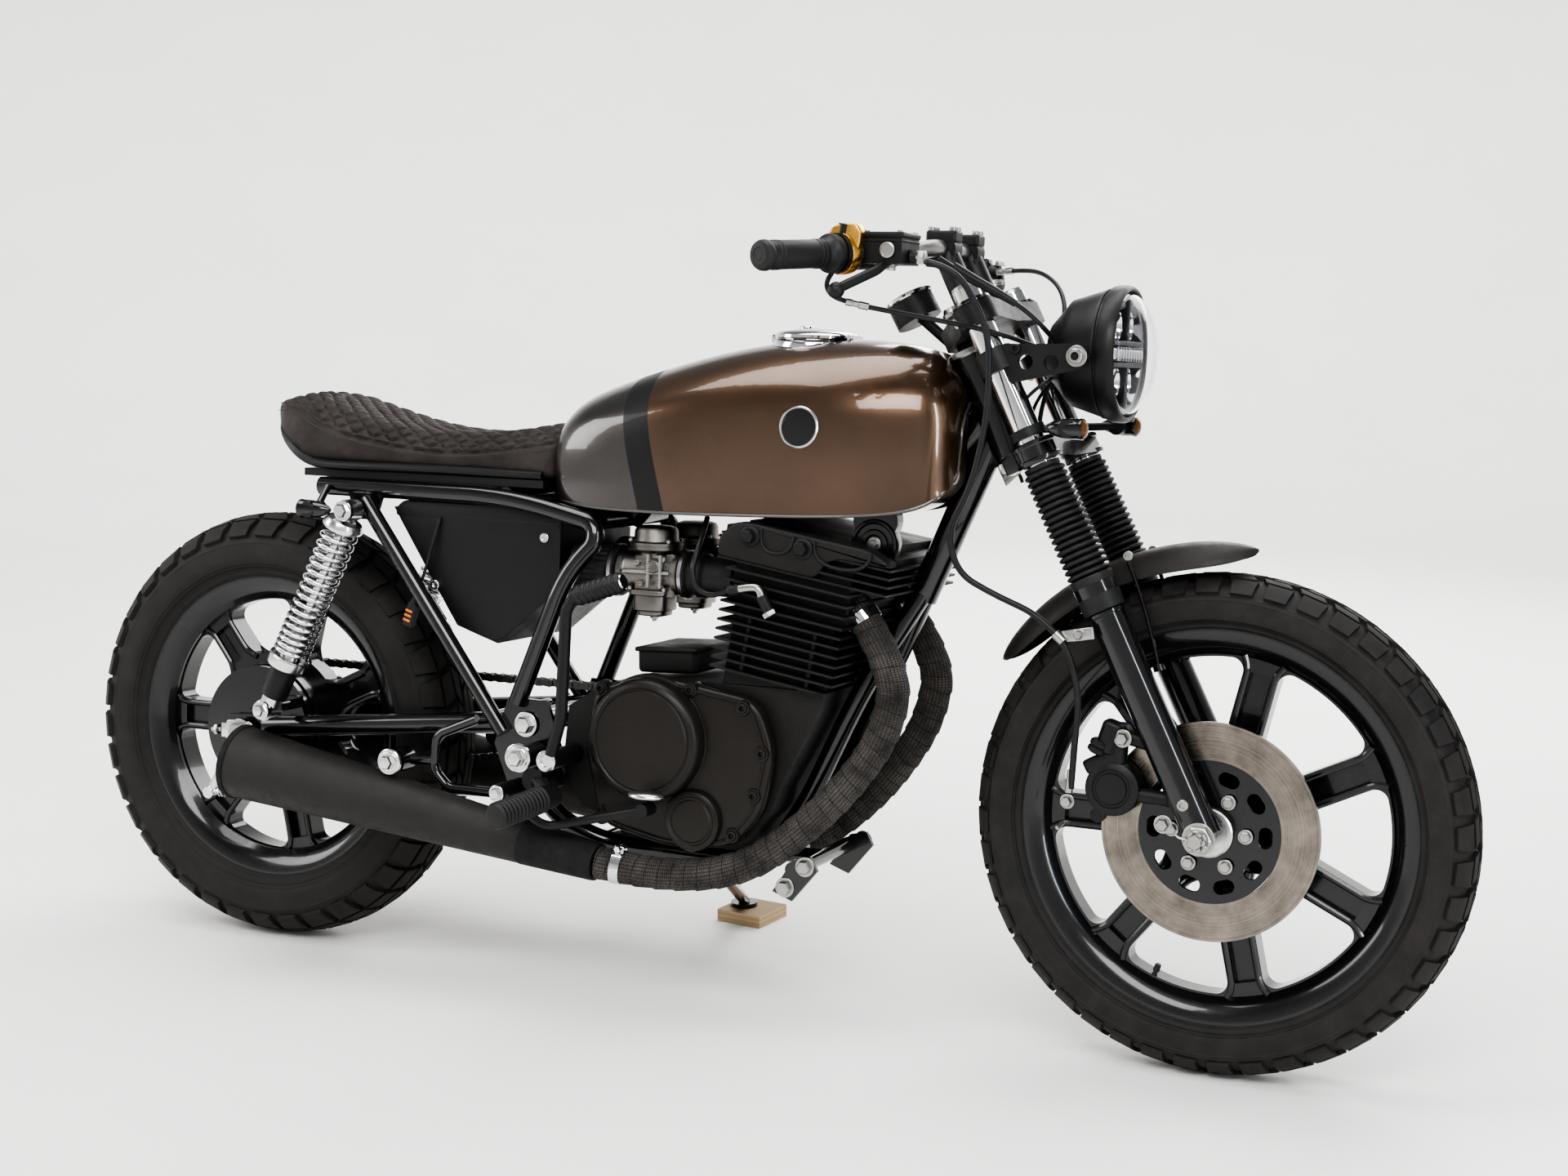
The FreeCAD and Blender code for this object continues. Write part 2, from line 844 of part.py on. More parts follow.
def rear_sprocket():
    """The toothed wheel bolted to the hub's left face, its tips clear of the fixed chain."""
    body = new_body("Sprocket", rear_axle, WHEEL_TURN)
    tip = S.sprocket_radius - S.chain_height / 2 - S.running_gap
    face = S.sprocket_side - S.sprocket_thickness / 2
    seat = S.rear_hub_left + S.seat_gap
    bore = S.axle_radius + S.axle_clearance
    pad(body, circles(body, "XY_Plane", (S.sprocket_carrier_radius, bore), lift=seat), face - seat + 1)
    pad(body, circles(body, "XY_Plane", (tip, bore), lift=face), S.sprocket_thickness)
    holes = pocket(
        body,
        circles(body, "XY_Plane", (tip * 0.12,), centre=(tip * 0.72, 0.0), lift=face),
        S.sprocket_thickness,
    )
    polar(body, holes, S.sprocket_hole_count)
    return body


node("rear_sprocket", rear_sprocket())

# Front wheel and its brake disc

node(
    "front_tyre",
    tyre_body("FrontTyre", front_axle, S.front_tyre_radius, S.front_tyre_width,
              S.front_crown_radius, S.front_lip_radius, S.front_rim_width),
)
front_cast = rim_body("FrontCast", front_axle, S.front_lip_radius, S.front_rim_width,
                      S.front_hub_radius, S.front_web_radius, S.front_hub_half, S.front_hub_half)


def disc_ring():
    """The brake's friction ring on the right of the front wheel."""
    body = new_body("DiscRing", front_axle, WHEEL_TURN)
    low = -S.disc_side - S.disc_thickness / 2
    pad(body, circles(body, "XY_Plane", (S.disc_radius, S.disc_inner_radius), lift=low), S.disc_thickness)
    return body


def disc_carrier():
    """The windowed carrier that bolts the friction ring to the hub."""
    body = new_body("DiscCarrier", front_axle, WHEEL_TURN)
    low = -S.disc_side - S.disc_thickness / 2
    outer = S.disc_inner_radius - S.seat_gap
    hub_face = -S.front_hub_half - S.seat_gap
    bore = S.axle_radius + S.axle_clearance
    pad(body, circles(body, "XY_Plane", (outer, bore), lift=low), S.disc_thickness)
    window = new_sketch(body, "XY_Plane", low)
    half = float(S.disc_window_length) / 2
    wide = float(S.disc_window_width) / 2
    middle = float(S.disc_window_radius)
    run = half - wide
    window.addGeometry(
        Part.ArcOfCircle(Part.Circle(Vector(middle, run, 0), Z_AXIS, wide), 0, math.pi), False
    )
    window.addGeometry(
        Part.ArcOfCircle(Part.Circle(Vector(middle, -run, 0), Z_AXIS, wide), math.pi, 2 * math.pi), False
    )
    window.addGeometry(
        Part.LineSegment(Vector(middle - wide, run, 0), Vector(middle - wide, -run, 0)), False
    )
    window.addGeometry(
        Part.LineSegment(Vector(middle + wide, -run, 0), Vector(middle + wide, run, 0)), False
    )
    polar(body, pocket(body, window, S.disc_thickness), S.disc_window_count)
    flange = circles(body, "XY_Plane", (S.front_hub_radius, bore), lift=low + S.disc_thickness)
    pad(body, flange, hub_face - (low + S.disc_thickness))
    bolt = circles(body, "XY_Plane", (S.disc_bolt_radius,), centre=(S.disc_bolt_circle, 0.0),
                   lift=low - S.disc_bolt_height)
    polar(body, pad(body, bolt, S.disc_bolt_height), S.disc_bolt_count)
    return body


node("front_rim", fuse_apart(front_cast, disc_carrier()))
node("brake_disc", disc_ring())

# Fork, clamps and front axle


def fork_legs(radius, low, high, bore=0.0):
    """A pair of round pieces on the fork's legs."""
    legs = []
    for side in (RIGHT, LEFT):
        at = along_fork(low, 0, side * S.fork_side)
        leg = cylinder(radius, high - low, at, fork_direction)
        if bore:
            leg = cut(leg, cylinder(bore, high - low + 2, along_fork(low - 1, 0, side * S.fork_side),
                                    fork_direction))
        legs.append(leg)
    return legs


def slider(side):
    """A fork leg's lower part with its dust seat, fender lug and axle clamp."""
    leg_side = side * S.fork_side
    barrel = cylinder(S.slider_radius, S.slider_top, along_fork(0, 0, leg_side), fork_direction)
    collar = cylinder(
        S.gaiter_radius, S.collar_height, along_fork(S.slider_top - S.collar_height, 0, leg_side),
        fork_direction,
    )
    foot = across(S.axle_lug_radius, leg_side - S.axle_lug_width / 2, leg_side + S.axle_lug_width / 2,
                  front_axle.x, front_axle.z)
    shank = cylinder(S.slider_foot_radius, S.slider_foot, along_fork(-S.axle_lug_radius * 0.4, 0, leg_side),
                     fork_direction)
    solid = fuse(barrel, collar, foot, shank)
    top_bore = cylinder(S.fork_tube_radius + S.seat_gap, S.slider_top,
                        along_fork(S.slider_floor, 0, leg_side), fork_direction)
    axle_bore = across(S.axle_radius + S.seat_gap, leg_side - S.axle_lug_width,
                       leg_side + S.axle_lug_width, front_axle.x, front_axle.z)
    return cut(solid, top_bore, axle_bore)


def gaiter(side):
    """A folded rubber sleeve between the slider and the lower clamp."""
    turn = Rotation(Y_AXIS, -float(S.rake))
    body = new_body("Gaiter", along_fork(S.gaiter_bottom, 0, side * S.fork_side), turn)
    bore = S.fork_tube_radius + S.seat_gap
    length = S.gaiter_top - S.gaiter_bottom
    pitch = length / S.gaiter_folds
    valley = S.gaiter_radius - S.gaiter_fold_depth
    corners = [(bore, 0.0), (valley, 0.0)]
    for fold in range(int(S.gaiter_folds)):
        corners.append((S.gaiter_radius, pitch * (fold + 0.5)))
        corners.append((valley, pitch * (fold + 1)))
    corners.append((bore, length))
    revolve(body, outline(body, "XZ_Plane", corners))
    return body


def clamp(low, behind):
    """A plate that grips both fork tubes and carries the steering stem behind them."""
    turn = Rotation(Y_AXIS, -float(S.rake))
    body = new_body("Clamp", along_fork(low, 0), turn)
    front = S.fork_tube_radius + S.clamp_wall
    nose = S.clamp_wall + S.fork_tube_radius
    half = S.stem_radius + S.clamp_wall
    corners = [
        (nose, -S.fork_side),
        (front - 8, 0.0),
        (nose, S.fork_side, nose),
        (0.0, S.fork_side + nose, nose),
        (-nose, S.fork_side),
        (-S.fork_offset - half, half * 0.6),
        (-S.fork_offset - half, -half * 0.6),
        (-nose, -S.fork_side, nose),
        (0.0, -(S.fork_side + nose), nose),
    ]
    pad(body, outline(body, "XY_Plane", corners), S.clamp_thickness)
    bore = S.fork_tube_radius + S.seat_gap
    for side in (RIGHT, LEFT):
        pocket(body, circles(body, "XY_Plane", (bore,), centre=(0.0, side * S.fork_side)),
               S.clamp_thickness)
    if behind:
        pocket(body, circles(body, "XY_Plane", (S.stem_radius + S.seat_gap,),
                             centre=(-S.fork_offset, 0.0)), S.clamp_thickness)
    return body


node("fork_tubes", fuse_apart(*fork_legs(S.fork_tube_radius, S.slider_floor + 1, S.fork_top)))
node("fork_sliders", fuse_apart(slider(RIGHT), slider(LEFT)))
node("fork_gaiters", fuse_apart(gaiter(RIGHT), gaiter(LEFT)))
stem = cylinder(S.stem_radius, S.upper_clamp_low + S.clamp_thickness + S.stem_cap - S.lower_clamp_low,
                along_fork(S.lower_clamp_low, -S.fork_offset), fork_direction)
node("lower_clamp", fuse(clamp(S.lower_clamp_low, False), stem))
node(
    "front_axle",
    fuse(
        across(S.axle_radius, -S.fork_side - S.axle_lug_width / 2 - S.axle_tip,
               S.fork_side + S.axle_lug_width / 2 + S.axle_tip, front_axle.x, front_axle.z),
        *[
            across(S.axle_nut_radius, side * (S.fork_side + S.axle_lug_width / 2 + S.seat_gap),
                   side * (S.fork_side + S.axle_lug_width / 2 + S.seat_gap + S.axle_nut_length),
                   front_axle.x, front_axle.z)
            for side in (RIGHT, LEFT)
        ],
    ),
)

# Frame

head_low = S.lower_clamp_low + S.clamp_thickness + S.seat_gap
head_high = S.upper_clamp_low - S.head_nut_height - S.seat_gap
head_middle = (head_low + head_high) / 2


def on_head(along):
    """A point on the steering axis."""
    return along_fork(along, -S.fork_offset)


split = Vector(S.split_ahead, 0, S.split_height)
seat_cross_height = S.rail_height - S.seat_cross_drop
backbone_bend_ahead = on_head(head_middle).x - S.backbone_bend_back
backbone_route = [
    on_head(head_middle),
    Vector(backbone_bend_ahead, 0, backbone_height + 45),
    Vector(backbone_bend_ahead - 95, 0, backbone_height),
    Vector(S.seat_cross_ahead + 60, 0, backbone_height),
    Vector(S.seat_cross_ahead, 0, seat_cross_height),
]
head_tube = cylinder(S.head_radius, head_high - head_low, on_head(head_low), fork_direction)
head_bore = cylinder(S.head_bore, head_high - head_low + 2, on_head(head_low - 1), fork_direction)
backbone = bent_tube(S.backbone_radius, backbone_route)
downtube_top = on_head(head_low + S.downtube_radius + S.downtube_drop)
downtube = bar_between(S.downtube_radius, downtube_top, split)
backbone_cross = across(S.rail_radius, -(S.rail_side - S.rail_radius - S.seat_gap),
                        S.rail_side - S.rail_radius - S.seat_gap, S.seat_cross_ahead, seat_cross_height)
node("frame_backbone", cut(fuse(head_tube, backbone, downtube, backbone_cross), head_bore))


def cradle_side(side):
    """A cradle tube from the downtube's fork, under the engine and up to the pivot plate."""
    inner = side * S.cradle_side
    low = side * S.cradle_low_side
    return bent_tube(
        S.cradle_radius,
        [
            split + Vector(0, side * S.cradle_radius * 0.6, 0) + Vector(2, 0, 4),
            Vector(S.split_ahead - 60, inner, S.split_height - 115),
            Vector(S.cradle_front_ahead, inner, S.cradle_front_height),
            Vector(S.cradle_front_ahead - 50, low, S.cradle_height),
            Vector(S.pivot_ahead + 86, low, S.cradle_height),
            Vector(S.pivot_ahead + 26, side * (S.plate_side - S.cradle_radius - 8), S.cradle_height + 38),
            Vector(S.pivot_ahead + 6, side * (S.plate_side - S.cradle_radius - 1), pivot_height - 54),
        ],
    )


def pivot_plate(side):
    """The plate beside the swing arm's pivot that the frame's tubes meet at."""
    corners = [
        (S.pivot_ahead - 50, pivot_height - 30),
        (S.pivot_ahead - 20, pivot_height - 102),
        (S.pivot_ahead + 42, pivot_height - 102),
        (S.pivot_ahead + 52, pivot_height - 30),
        (S.pivot_ahead + 30, pivot_height + 34),
        (S.pivot_ahead - 30, pivot_height + 34),
    ]
    return side_plate(corners, side * S.plate_side - S.plate_thickness / 2, S.plate_thickness)


engine_plate_corners = [
    (S.cradle_front_ahead - 22, S.cradle_height - 28),
    (S.cradle_front_ahead + 6, S.cradle_height - 38),
    (S.cradle_front_ahead + 40, S.cradle_height + 4),
    (S.cradle_front_ahead + 30, S.cradle_height + 22),
    (S.cradle_front_ahead + 6, S.cradle_height + 16),
]
front_cross = across(S.cradle_radius * 0.8, -S.engine_plate_side, S.engine_plate_side,
                     S.cradle_front_ahead + 4, S.cradle_height + 2)
front_stub = bar_between(
    S.cradle_radius * 0.8,
    Vector(S.cradle_front_ahead - 48, 0, S.cradle_height),
    Vector(S.cradle_front_ahead + 4, 0, S.cradle_height + 2),
)
rear_cross = across(S.cradle_radius, -S.cradle_low_side, S.cradle_low_side,
                    S.pivot_ahead + 90, S.cradle_height)
middle_cross = across(S.cradle_radius, -S.cradle_low_side, S.cradle_low_side,
                      S.cradle_front_ahead - 52, S.cradle_height)
pivot_bolt = across(S.pivot_bolt_radius, -S.plate_side - 14, S.plate_side + 14, S.pivot_ahead,
                    pivot_height)


def from_floor(x, y, z):
    """A point given on the floor that the leaning machine stands on, in its upright frame."""
    turn = Rotation(X_AXIS, float(S.lean))
    return turn.multVec(Vector(x, y, z - STANCE.Base.z))


stand_eye = Vector(S.stand_pivot_ahead, S.stand_pivot_side, S.stand_pivot_height)


def stand_axis():
    """The stand's hinge axis: square to the leg when out and to the folded leg."""
    out = (from_floor(S.stand_foot_ahead, S.stand_foot_side, S.block_thickness) - stand_eye).normalize()
    folded = Vector(-1, 0.03, 0).normalize()
    return out.cross(folded).normalize()


stand_head = stand_eye + stand_axis() * 20
stand_lug = bar_between(S.stand_radius, Vector(S.stand_pivot_ahead, S.cradle_low_side, S.cradle_height),
                        stand_head)
stand_pin = bar_between(S.stand_pin_radius, stand_eye - stand_axis() * 11, stand_head)
cradle = fuse(
    cradle_side(RIGHT), cradle_side(LEFT), pivot_plate(RIGHT), pivot_plate(LEFT), pivot_bolt,
    front_cross, front_stub, rear_cross, middle_cross, stand_lug, stand_pin,
    *[
        side_plate(engine_plate_corners, side * S.engine_plate_side - S.engine_plate_thickness / 2,
                   S.engine_plate_thickness)
        for side in (RIGHT, LEFT)
    ],
)
downtube_seat = bar_between(S.downtube_radius + S.seat_gap, downtube_top,
                            split + (split - downtube_top).normalize() * float(S.seat_gap))
node("frame_cradle", cut(cradle, downtube_seat))


def seat_rail(side):
    """A seat rail that turns down ahead of the seat and runs on to the pivot plate."""
    y = side * S.rail_side
    return bent_tube(
        S.rail_radius,
        [
            Vector(S.rail_rear_ahead, y, S.rail_height),
            Vector(S.rail_front_ahead, y, S.rail_height),
            Vector(S.rail_front_ahead + 155, side * (S.rail_side + 5), S.rail_height - 33),
            Vector(S.rail_front_ahead + 100, side * S.stay_side, S.rail_height - 95),
            Vector(S.pivot_ahead - 14, side * S.stay_side, pivot_height + 28),
        ],
    )


def rear_stay(side):
    """The slanted tube from the shock's upper mount to the pivot plate."""
    y = side * S.stay_side
    return bar_between(
        S.stay_radius,
        Vector(S.shock_top_ahead + 4, y, S.rail_height - 14),
        Vector(S.pivot_ahead - 34, y, pivot_height - 14),
    )


def shock_stud(side):
    """The bracket and stud that the shock's upper eye hangs on."""
    return across(S.shock_stud_radius, side * S.rail_side, side * (S.shock_side + 16),
                  S.shock_top_ahead, shock_top_height)


def stud_bracket(side):
    """The plate between the rail and the shock's stud."""
    corners = [
        (S.shock_top_ahead - 16, shock_top_height - 14),
        (S.shock_top_ahead + 16, shock_top_height - 14),
        (S.shock_top_ahead + 30, S.rail_height),
        (S.shock_top_ahead - 30, S.rail_height),
    ]
    return side_plate(corners, side * S.rail_side - 3 + side * 8, 6)


def plate_slot(side):
    """The room that a pivot plate takes out of the tubes that are welded over its edge."""
    low = (S.pivot_ahead - 80, pivot_height - 60)
    high = (S.pivot_ahead + 60, pivot_height + 34 + S.seat_gap)
    corners = [low, (high[0], low[1]), high, (low[0], high[1])]
    gap = S.plate_thickness + 2 * S.seat_gap
    return side_plate(corners, side * S.plate_side - gap / 2, gap)


subframe = fuse(
    *both_sides(seat_rail), *both_sides(rear_stay), *both_sides(shock_stud), *both_sides(stud_bracket),
    across(S.rail_radius, -S.rail_side, S.rail_side, S.rail_rear_ahead + 4, S.rail_height),
    across(S.rail_radius, -S.rail_side, S.rail_side, S.rail_front_ahead - 6, S.rail_height),
)
node("seat_frame", cut(subframe, *both_sides(plate_slot)))

# Swing arm, rear axle and shocks

swing_end_height = S.rear_tyre_radius + S.swing_end_rise
swing_slope = (pivot_height - swing_end_height) / (S.pivot_ahead - S.swing_end_ahead)

def swing_side_arm(side):
    """One arm with its axle plate and shock bracket."""
    y = side * S.swing_side
    arm = bar_between(S.swing_radius, Vector(S.pivot_ahead, y, pivot_height),
                      Vector(S.swing_end_ahead, y, swing_end_height))
    axle = S.rear_tyre_radius
    dropout = side_plate(
        [
            (-44, axle - 16),
            (20, axle - 22),
            (70, axle - 8),
            (70, axle + 28),
            (-30, axle + 22),
            (-44, axle + 14),
        ],
        y - S.dropout_thickness / 2,
        S.dropout_thickness,
    )
    bracket = side_plate(
        [
            (S.shock_foot_ahead - 26, axle + 10),
            (S.shock_foot_ahead + 28, axle + 14),
            (S.shock_foot_ahead + 13, shock_foot_height + 12),
            (S.shock_foot_ahead - 13, shock_foot_height + 12),
        ],
        y - 4,
        8,
    )
    stud = across(S.shock_stud_radius, y, side * (S.shock_side + 16), S.shock_foot_ahead, shock_foot_height)
    return [arm, dropout, bracket, stud]


swing = fuse(
    *swing_side_arm(RIGHT), *swing_side_arm(LEFT),
    across(S.pivot_tube_radius, -S.swing_side - 10, S.swing_side + 10, S.pivot_ahead, pivot_height),
    across(S.swing_radius - 2, -S.swing_side, S.swing_side, S.pivot_ahead - S.swing_cross_back,
           pivot_height - S.swing_cross_back * swing_slope),
)
node(
    "swing_arm",
    cut(
        swing,
        across(S.pivot_bolt_radius + S.seat_gap, -150.0, 150.0, S.pivot_ahead, pivot_height),
        across(S.axle_radius + S.seat_gap, -150.0, 150.0, 0.0, S.rear_tyre_radius),
    ),
)
axle_reach = S.swing_side + S.dropout_thickness / 2 + S.seat_gap


def rear_spindle():
    """The rear axle with a nut at each end."""
    return fuse(
        across(S.axle_radius, -axle_reach - S.axle_nut_length - 8, axle_reach + S.axle_nut_length + 8, 0.0,
               S.rear_tyre_radius),
        *[
            across(S.axle_nut_radius, side * axle_reach, side * (axle_reach + S.axle_nut_length), 0.0,
                   S.rear_tyre_radius)
            for side in (RIGHT, LEFT)
        ],
    )


def brake_plate():
    """The drum brake's backing plate with its boss and operating arm."""
    body = new_body("BrakePlate", rear_axle, WHEEL_TURN)
    inner = -S.rear_hub_right - S.running_gap
    bore = S.axle_radius - 1
    pad(body, circles(body, "XY_Plane", (S.brake_plate_radius, bore), lift=inner - S.brake_plate_thickness),
        S.brake_plate_thickness)
    boss_low = -(S.swing_side - 5 - S.seat_gap)
    pad(body, circles(body, "XY_Plane", (S.brake_boss_radius, bore), lift=boss_low),
        inner - S.brake_plate_thickness - boss_low + 1)
    return body


node("rear_axle", fuse(rear_spindle(), brake_plate()))

shock_foot = Vector(S.shock_foot_ahead, 0, shock_foot_height)
shock_top = Vector(S.shock_top_ahead, 0, shock_top_height)
shock_line = shock_top - shock_foot
shock_length = shock_line.Length
shock_direction = Vector(shock_line).normalize()


def shock_point(along, side):
    """A point on one shock's line, from its lower eye."""
    return shock_foot + shock_direction * float(along) + Vector(0, float(side * S.shock_side), 0)


def damper(side):
    """Eyes, damper body, rod and the two spring seats of one shock."""
    y = side * S.shock_side
    eyes = [
        across(S.shock_eye_radius, y - 12, y + 12, at.x, at.z) for at in (shock_foot, shock_top)
    ]
    shell = cylinder(S.damper_radius, S.spring_low + 60, shock_point(8, side), shock_direction)
    rod = cylinder(S.damper_rod_radius, shock_length - 20, shock_point(10, side), shock_direction)
    low_seat = cylinder(S.spring_radius + 1, 9.0, shock_point(S.spring_low - 9 - S.seat_gap, side),
                        shock_direction)
    high_seat = cylinder(S.spring_radius, 8.0, shock_point(S.spring_high + S.seat_gap, side), shock_direction)
    neck = cylinder(11.0, shock_length - S.spring_high - 8, shock_point(S.spring_high + 4, side),
                    shock_direction)
    studs = [
        across(S.shock_stud_radius + S.seat_gap, y - 20, y + 20, at.x, at.z)
        for at in (shock_foot, shock_top)
    ]
    return cut(fuse(*eyes, shell, rod, low_seat, high_seat, neck), *studs)


def spring(side):
    """The coil spring's outer shape, a sleeve round the damper."""
    return cut(
        cylinder(S.spring_radius, S.spring_high - S.spring_low, shock_point(S.spring_low, side),
                 shock_direction),
        cylinder(S.spring_radius - S.spring_wire, S.spring_high - S.spring_low + 2,
                 shock_point(S.spring_low - 1, side), shock_direction),
    )


node("shock_absorbers", fuse_apart(*both_sides(damper)))
node("shock_springs", fuse_apart(*both_sides(spring)))

# Drive chain: one fixed loop on the left, whose middle line passes under the pivot

drive_height = S.rear_tyre_radius + (
    (S.pivot_rise - S.pivot_above_chain) * S.drive_ahead / S.pivot_ahead
)


def loop_wire(centre_a, radius_a, centre_b, radius_b):
    """The outline of a belt round two circles."""
    gap = Vector(centre_b) - Vector(centre_a)
    heading = math.atan2(gap.z, gap.x)
    spread = math.acos((float(radius_a) - float(radius_b)) / gap.Length)

    def on_circle(centre, radius, angle):
        return Vector(centre) + Vector(math.cos(angle), 0, math.sin(angle)) * float(radius)

    high = heading + spread
    low = heading - spread
    a_high, a_low = on_circle(centre_a, radius_a, high), on_circle(centre_a, radius_a, low)
    b_high, b_low = on_circle(centre_b, radius_b, high), on_circle(centre_b, radius_b, low)
    a_far = on_circle(centre_a, radius_a, heading + math.pi)
    b_far = on_circle(centre_b, radius_b, heading)
    return Part.Wire(
        [
            Part.Arc(a_low, a_far, a_high).toShape(),
            Part.LineSegment(a_high, b_high).toShape(),
            Part.Arc(b_high, b_far, b_low).toShape(),
            Part.LineSegment(b_low, a_low).toShape(),
        ]
    )


def chain():
    """The chain's band round both sprockets."""
    y = S.sprocket_side - S.chain_width / 2
    rear = Vector(0, y, S.rear_tyre_radius)
    front = Vector(S.drive_ahead, y, drive_height)
    half = S.chain_height / 2
    outer = loop_wire(rear, S.sprocket_radius + half, front, S.drive_sprocket_radius + half)
    inner = loop_wire(rear, S.sprocket_radius - half, front, S.drive_sprocket_radius - half)
    band = Part.Face(outer).cut(Part.Face(inner)).extrude(Vector(0, float(S.chain_width), 0))
    solid = doc.addObject("Part::Feature", "ChainBand")
    solid.Shape = band
    return solid


def drive_sprocket():
    """The small sprocket inside the chain's front bend."""
    return across(S.drive_sprocket_radius - S.chain_height / 2 - S.seat_gap, S.case_chain_side + S.seat_gap,
                  S.sprocket_side + S.chain_width / 2, S.drive_ahead, drive_height)


node("drive_chain", fuse_apart(chain(), drive_sprocket()))

# Engine


def crankcase():
    """The case: a wide front part and a narrower gearbox that leaves room for the chain."""
    front_part = side_plate(
        [
            (S.deck_ahead - 91, S.deck_height),
            (S.deck_ahead + 72, S.deck_height),
            (S.deck_ahead + 64, S.deck_height - 28),
            (S.deck_ahead + 14, S.deck_height - 130),
            (S.deck_ahead + 4, S.deck_height - 160),
            (S.deck_ahead - 40, S.case_bottom),
            (S.deck_ahead - 210, S.case_bottom),
            (S.deck_ahead - 224, S.case_bottom + 60),
            (S.deck_ahead - 224, S.deck_height - 10),
        ],
        -S.case_right,
        S.case_right + S.case_left,
    )
    gearbox = side_plate(
        [
            (S.deck_ahead - 200, S.case_bottom + 20),
            (S.deck_ahead - 200, S.deck_height - 12),
            (S.deck_ahead - 255, S.deck_height - 24),
            (S.gearbox_rear_ahead, S.deck_height - 48),
            (S.gearbox_rear_ahead - 8, S.deck_height - 130),
            (S.gearbox_rear_ahead + 22, S.case_bottom + 34),
        ],
        -S.case_right,
        S.case_right + S.case_chain_side,
    )
    return fuse(front_part, gearbox)


node("crankcase", crankcase())


def clutch_cover():
    """The right-hand cover with its round clutch bulge and the smaller round cap ahead of it."""
    outer = S.cover_side
    inner = S.case_right + S.seat_gap
    plate = side_plate(
        [
            (S.deck_ahead - 257, S.deck_height - 97),
            (S.deck_ahead - 245, S.deck_height - 19),
            (S.deck_ahead - 169, S.deck_height + 7),
            (S.deck_ahead - 11, S.deck_height - 15),
            (S.deck_ahead + 15, S.deck_height - 80),
            (S.deck_ahead - 1, S.deck_height - 161),
            (S.deck_ahead - 43, S.case_bottom + 6),
            (S.deck_ahead - 131, S.case_bottom - 2),
            (S.deck_ahead - 231, S.case_bottom + 18),
        ],
        -outer,
        outer - inner,
    )
    bulge = across(S.clutch_radius, -S.clutch_side, -inner, S.clutch_ahead, clutch_height)
    cap = across(S.small_cap_radius, -S.small_cap_side, -inner, S.small_cap_ahead, S.small_cap_height)
    return fuse(plate, bulge, cap)


def left_covers():
    """The generator cover and the plate over the drive sprocket on the left."""
    generator = across(S.generator_radius, S.case_left + S.seat_gap, S.generator_side, S.generator_ahead,
                       generator_height)
    face = across(S.generator_radius - 14, S.case_left + 4, S.generator_side + 8, S.generator_ahead,
                  generator_height)
    plate = side_plate(
        [
            (S.gearbox_rear_ahead - 14, drive_height - 50),
            (S.generator_ahead - 20, drive_height - 86),
            (S.generator_ahead - 20, drive_height + 70),
            (S.gearbox_rear_ahead + 20, drive_height + 56),
        ],
        S.case_left + S.seat_gap,
        7,
    )
    return fuse(generator, face, plate)


node("engine_covers", fuse_apart(clutch_cover(), left_covers()))

engine_turn = Rotation(Y_AXIS, float(S.cylinder_tilt))
deck = Vector(S.deck_ahead, 0, S.deck_height + S.seat_gap)


def on_engine(along, up, side=0.0):
    """A point in the tilted cylinders' own directions, from the middle of the deck."""
    return deck + engine_turn.multVec(Vector(float(along), float(side), float(up)))


def engine_block(depth, width, height, along, up, side=0.0):
    """A box on the cylinders' axis: its middle along and across, its foot up from the deck."""
    corner = on_engine(along - depth / 2, up, side - width / 2)
    return block((depth, width, height), corner, engine_turn)


def fins(depth, width, count, low, high, along):
    """A row of cooling fins spread evenly over a height."""
    pitch = high / count - low / count
    return [
        engine_block(depth, width, S.fin_thickness, along, low + pitch * number + pitch - S.fin_thickness)
        for number in range(int(count))
    ]


def round_base():
    """The tilted block's foot, cut level with the deck."""
    return block((300.0, 400.0, 60.0), Vector(deck.x - 150, -200, deck.z - 60))


HEADER_BENDS = [
    # ahead of the deck, sideways, above the case's foot
    (156.0, 78.0, 250.0),
    (145.0, 80.0, 167.0),
    (99.0, 90.0, 94.0),
    (37.0, 106.0, 28.0),
    (-34.0, 118.0, -25.0),
]


def header_points(side):
    """The route of one header pipe, from the cylinder head's port to the inside of the muffler's neck."""
    out = S.block_depth / 2 + 10 + S.seat_gap
    port = on_engine(out, head_foot + S.port_height, side * S.carb_side)
    elbow = on_engine(out + 32, head_foot + S.port_height, side * S.carb_side)
    neck = muffler_front + Vector(0, side * S.muffler_side, 0)
    ahead = Vector(muffler_run).normalize()
    turns = [Vector(S.deck_ahead + x, side * y, S.case_bottom + z) for x, y, z in HEADER_BENDS]
    return [port, elbow, *turns, neck + ahead * 70, neck - ahead * float(S.muffler_neck_depth - 10)]


def fin_rooms():
    """The notches that the fins leave for the frame's tubes and the header pipes."""
    rooms = [bar_between(S.downtube_radius + S.frame_clearance, downtube_top, split)]
    for side in (RIGHT, LEFT):
        top, below, low = [
            split + Vector(2, side * S.cradle_radius * 0.6, 4),
            Vector(S.split_ahead - 60, side * S.cradle_side, S.split_height - 115),
            Vector(S.cradle_front_ahead, side * S.cradle_side, S.cradle_front_height),
        ]
        rooms.append(bent_tube(S.cradle_radius + S.frame_clearance, [top, below, low]))
        rooms.append(bent_tube(S.header_radius + S.frame_clearance, header_points(side)[:4]))
    return rooms


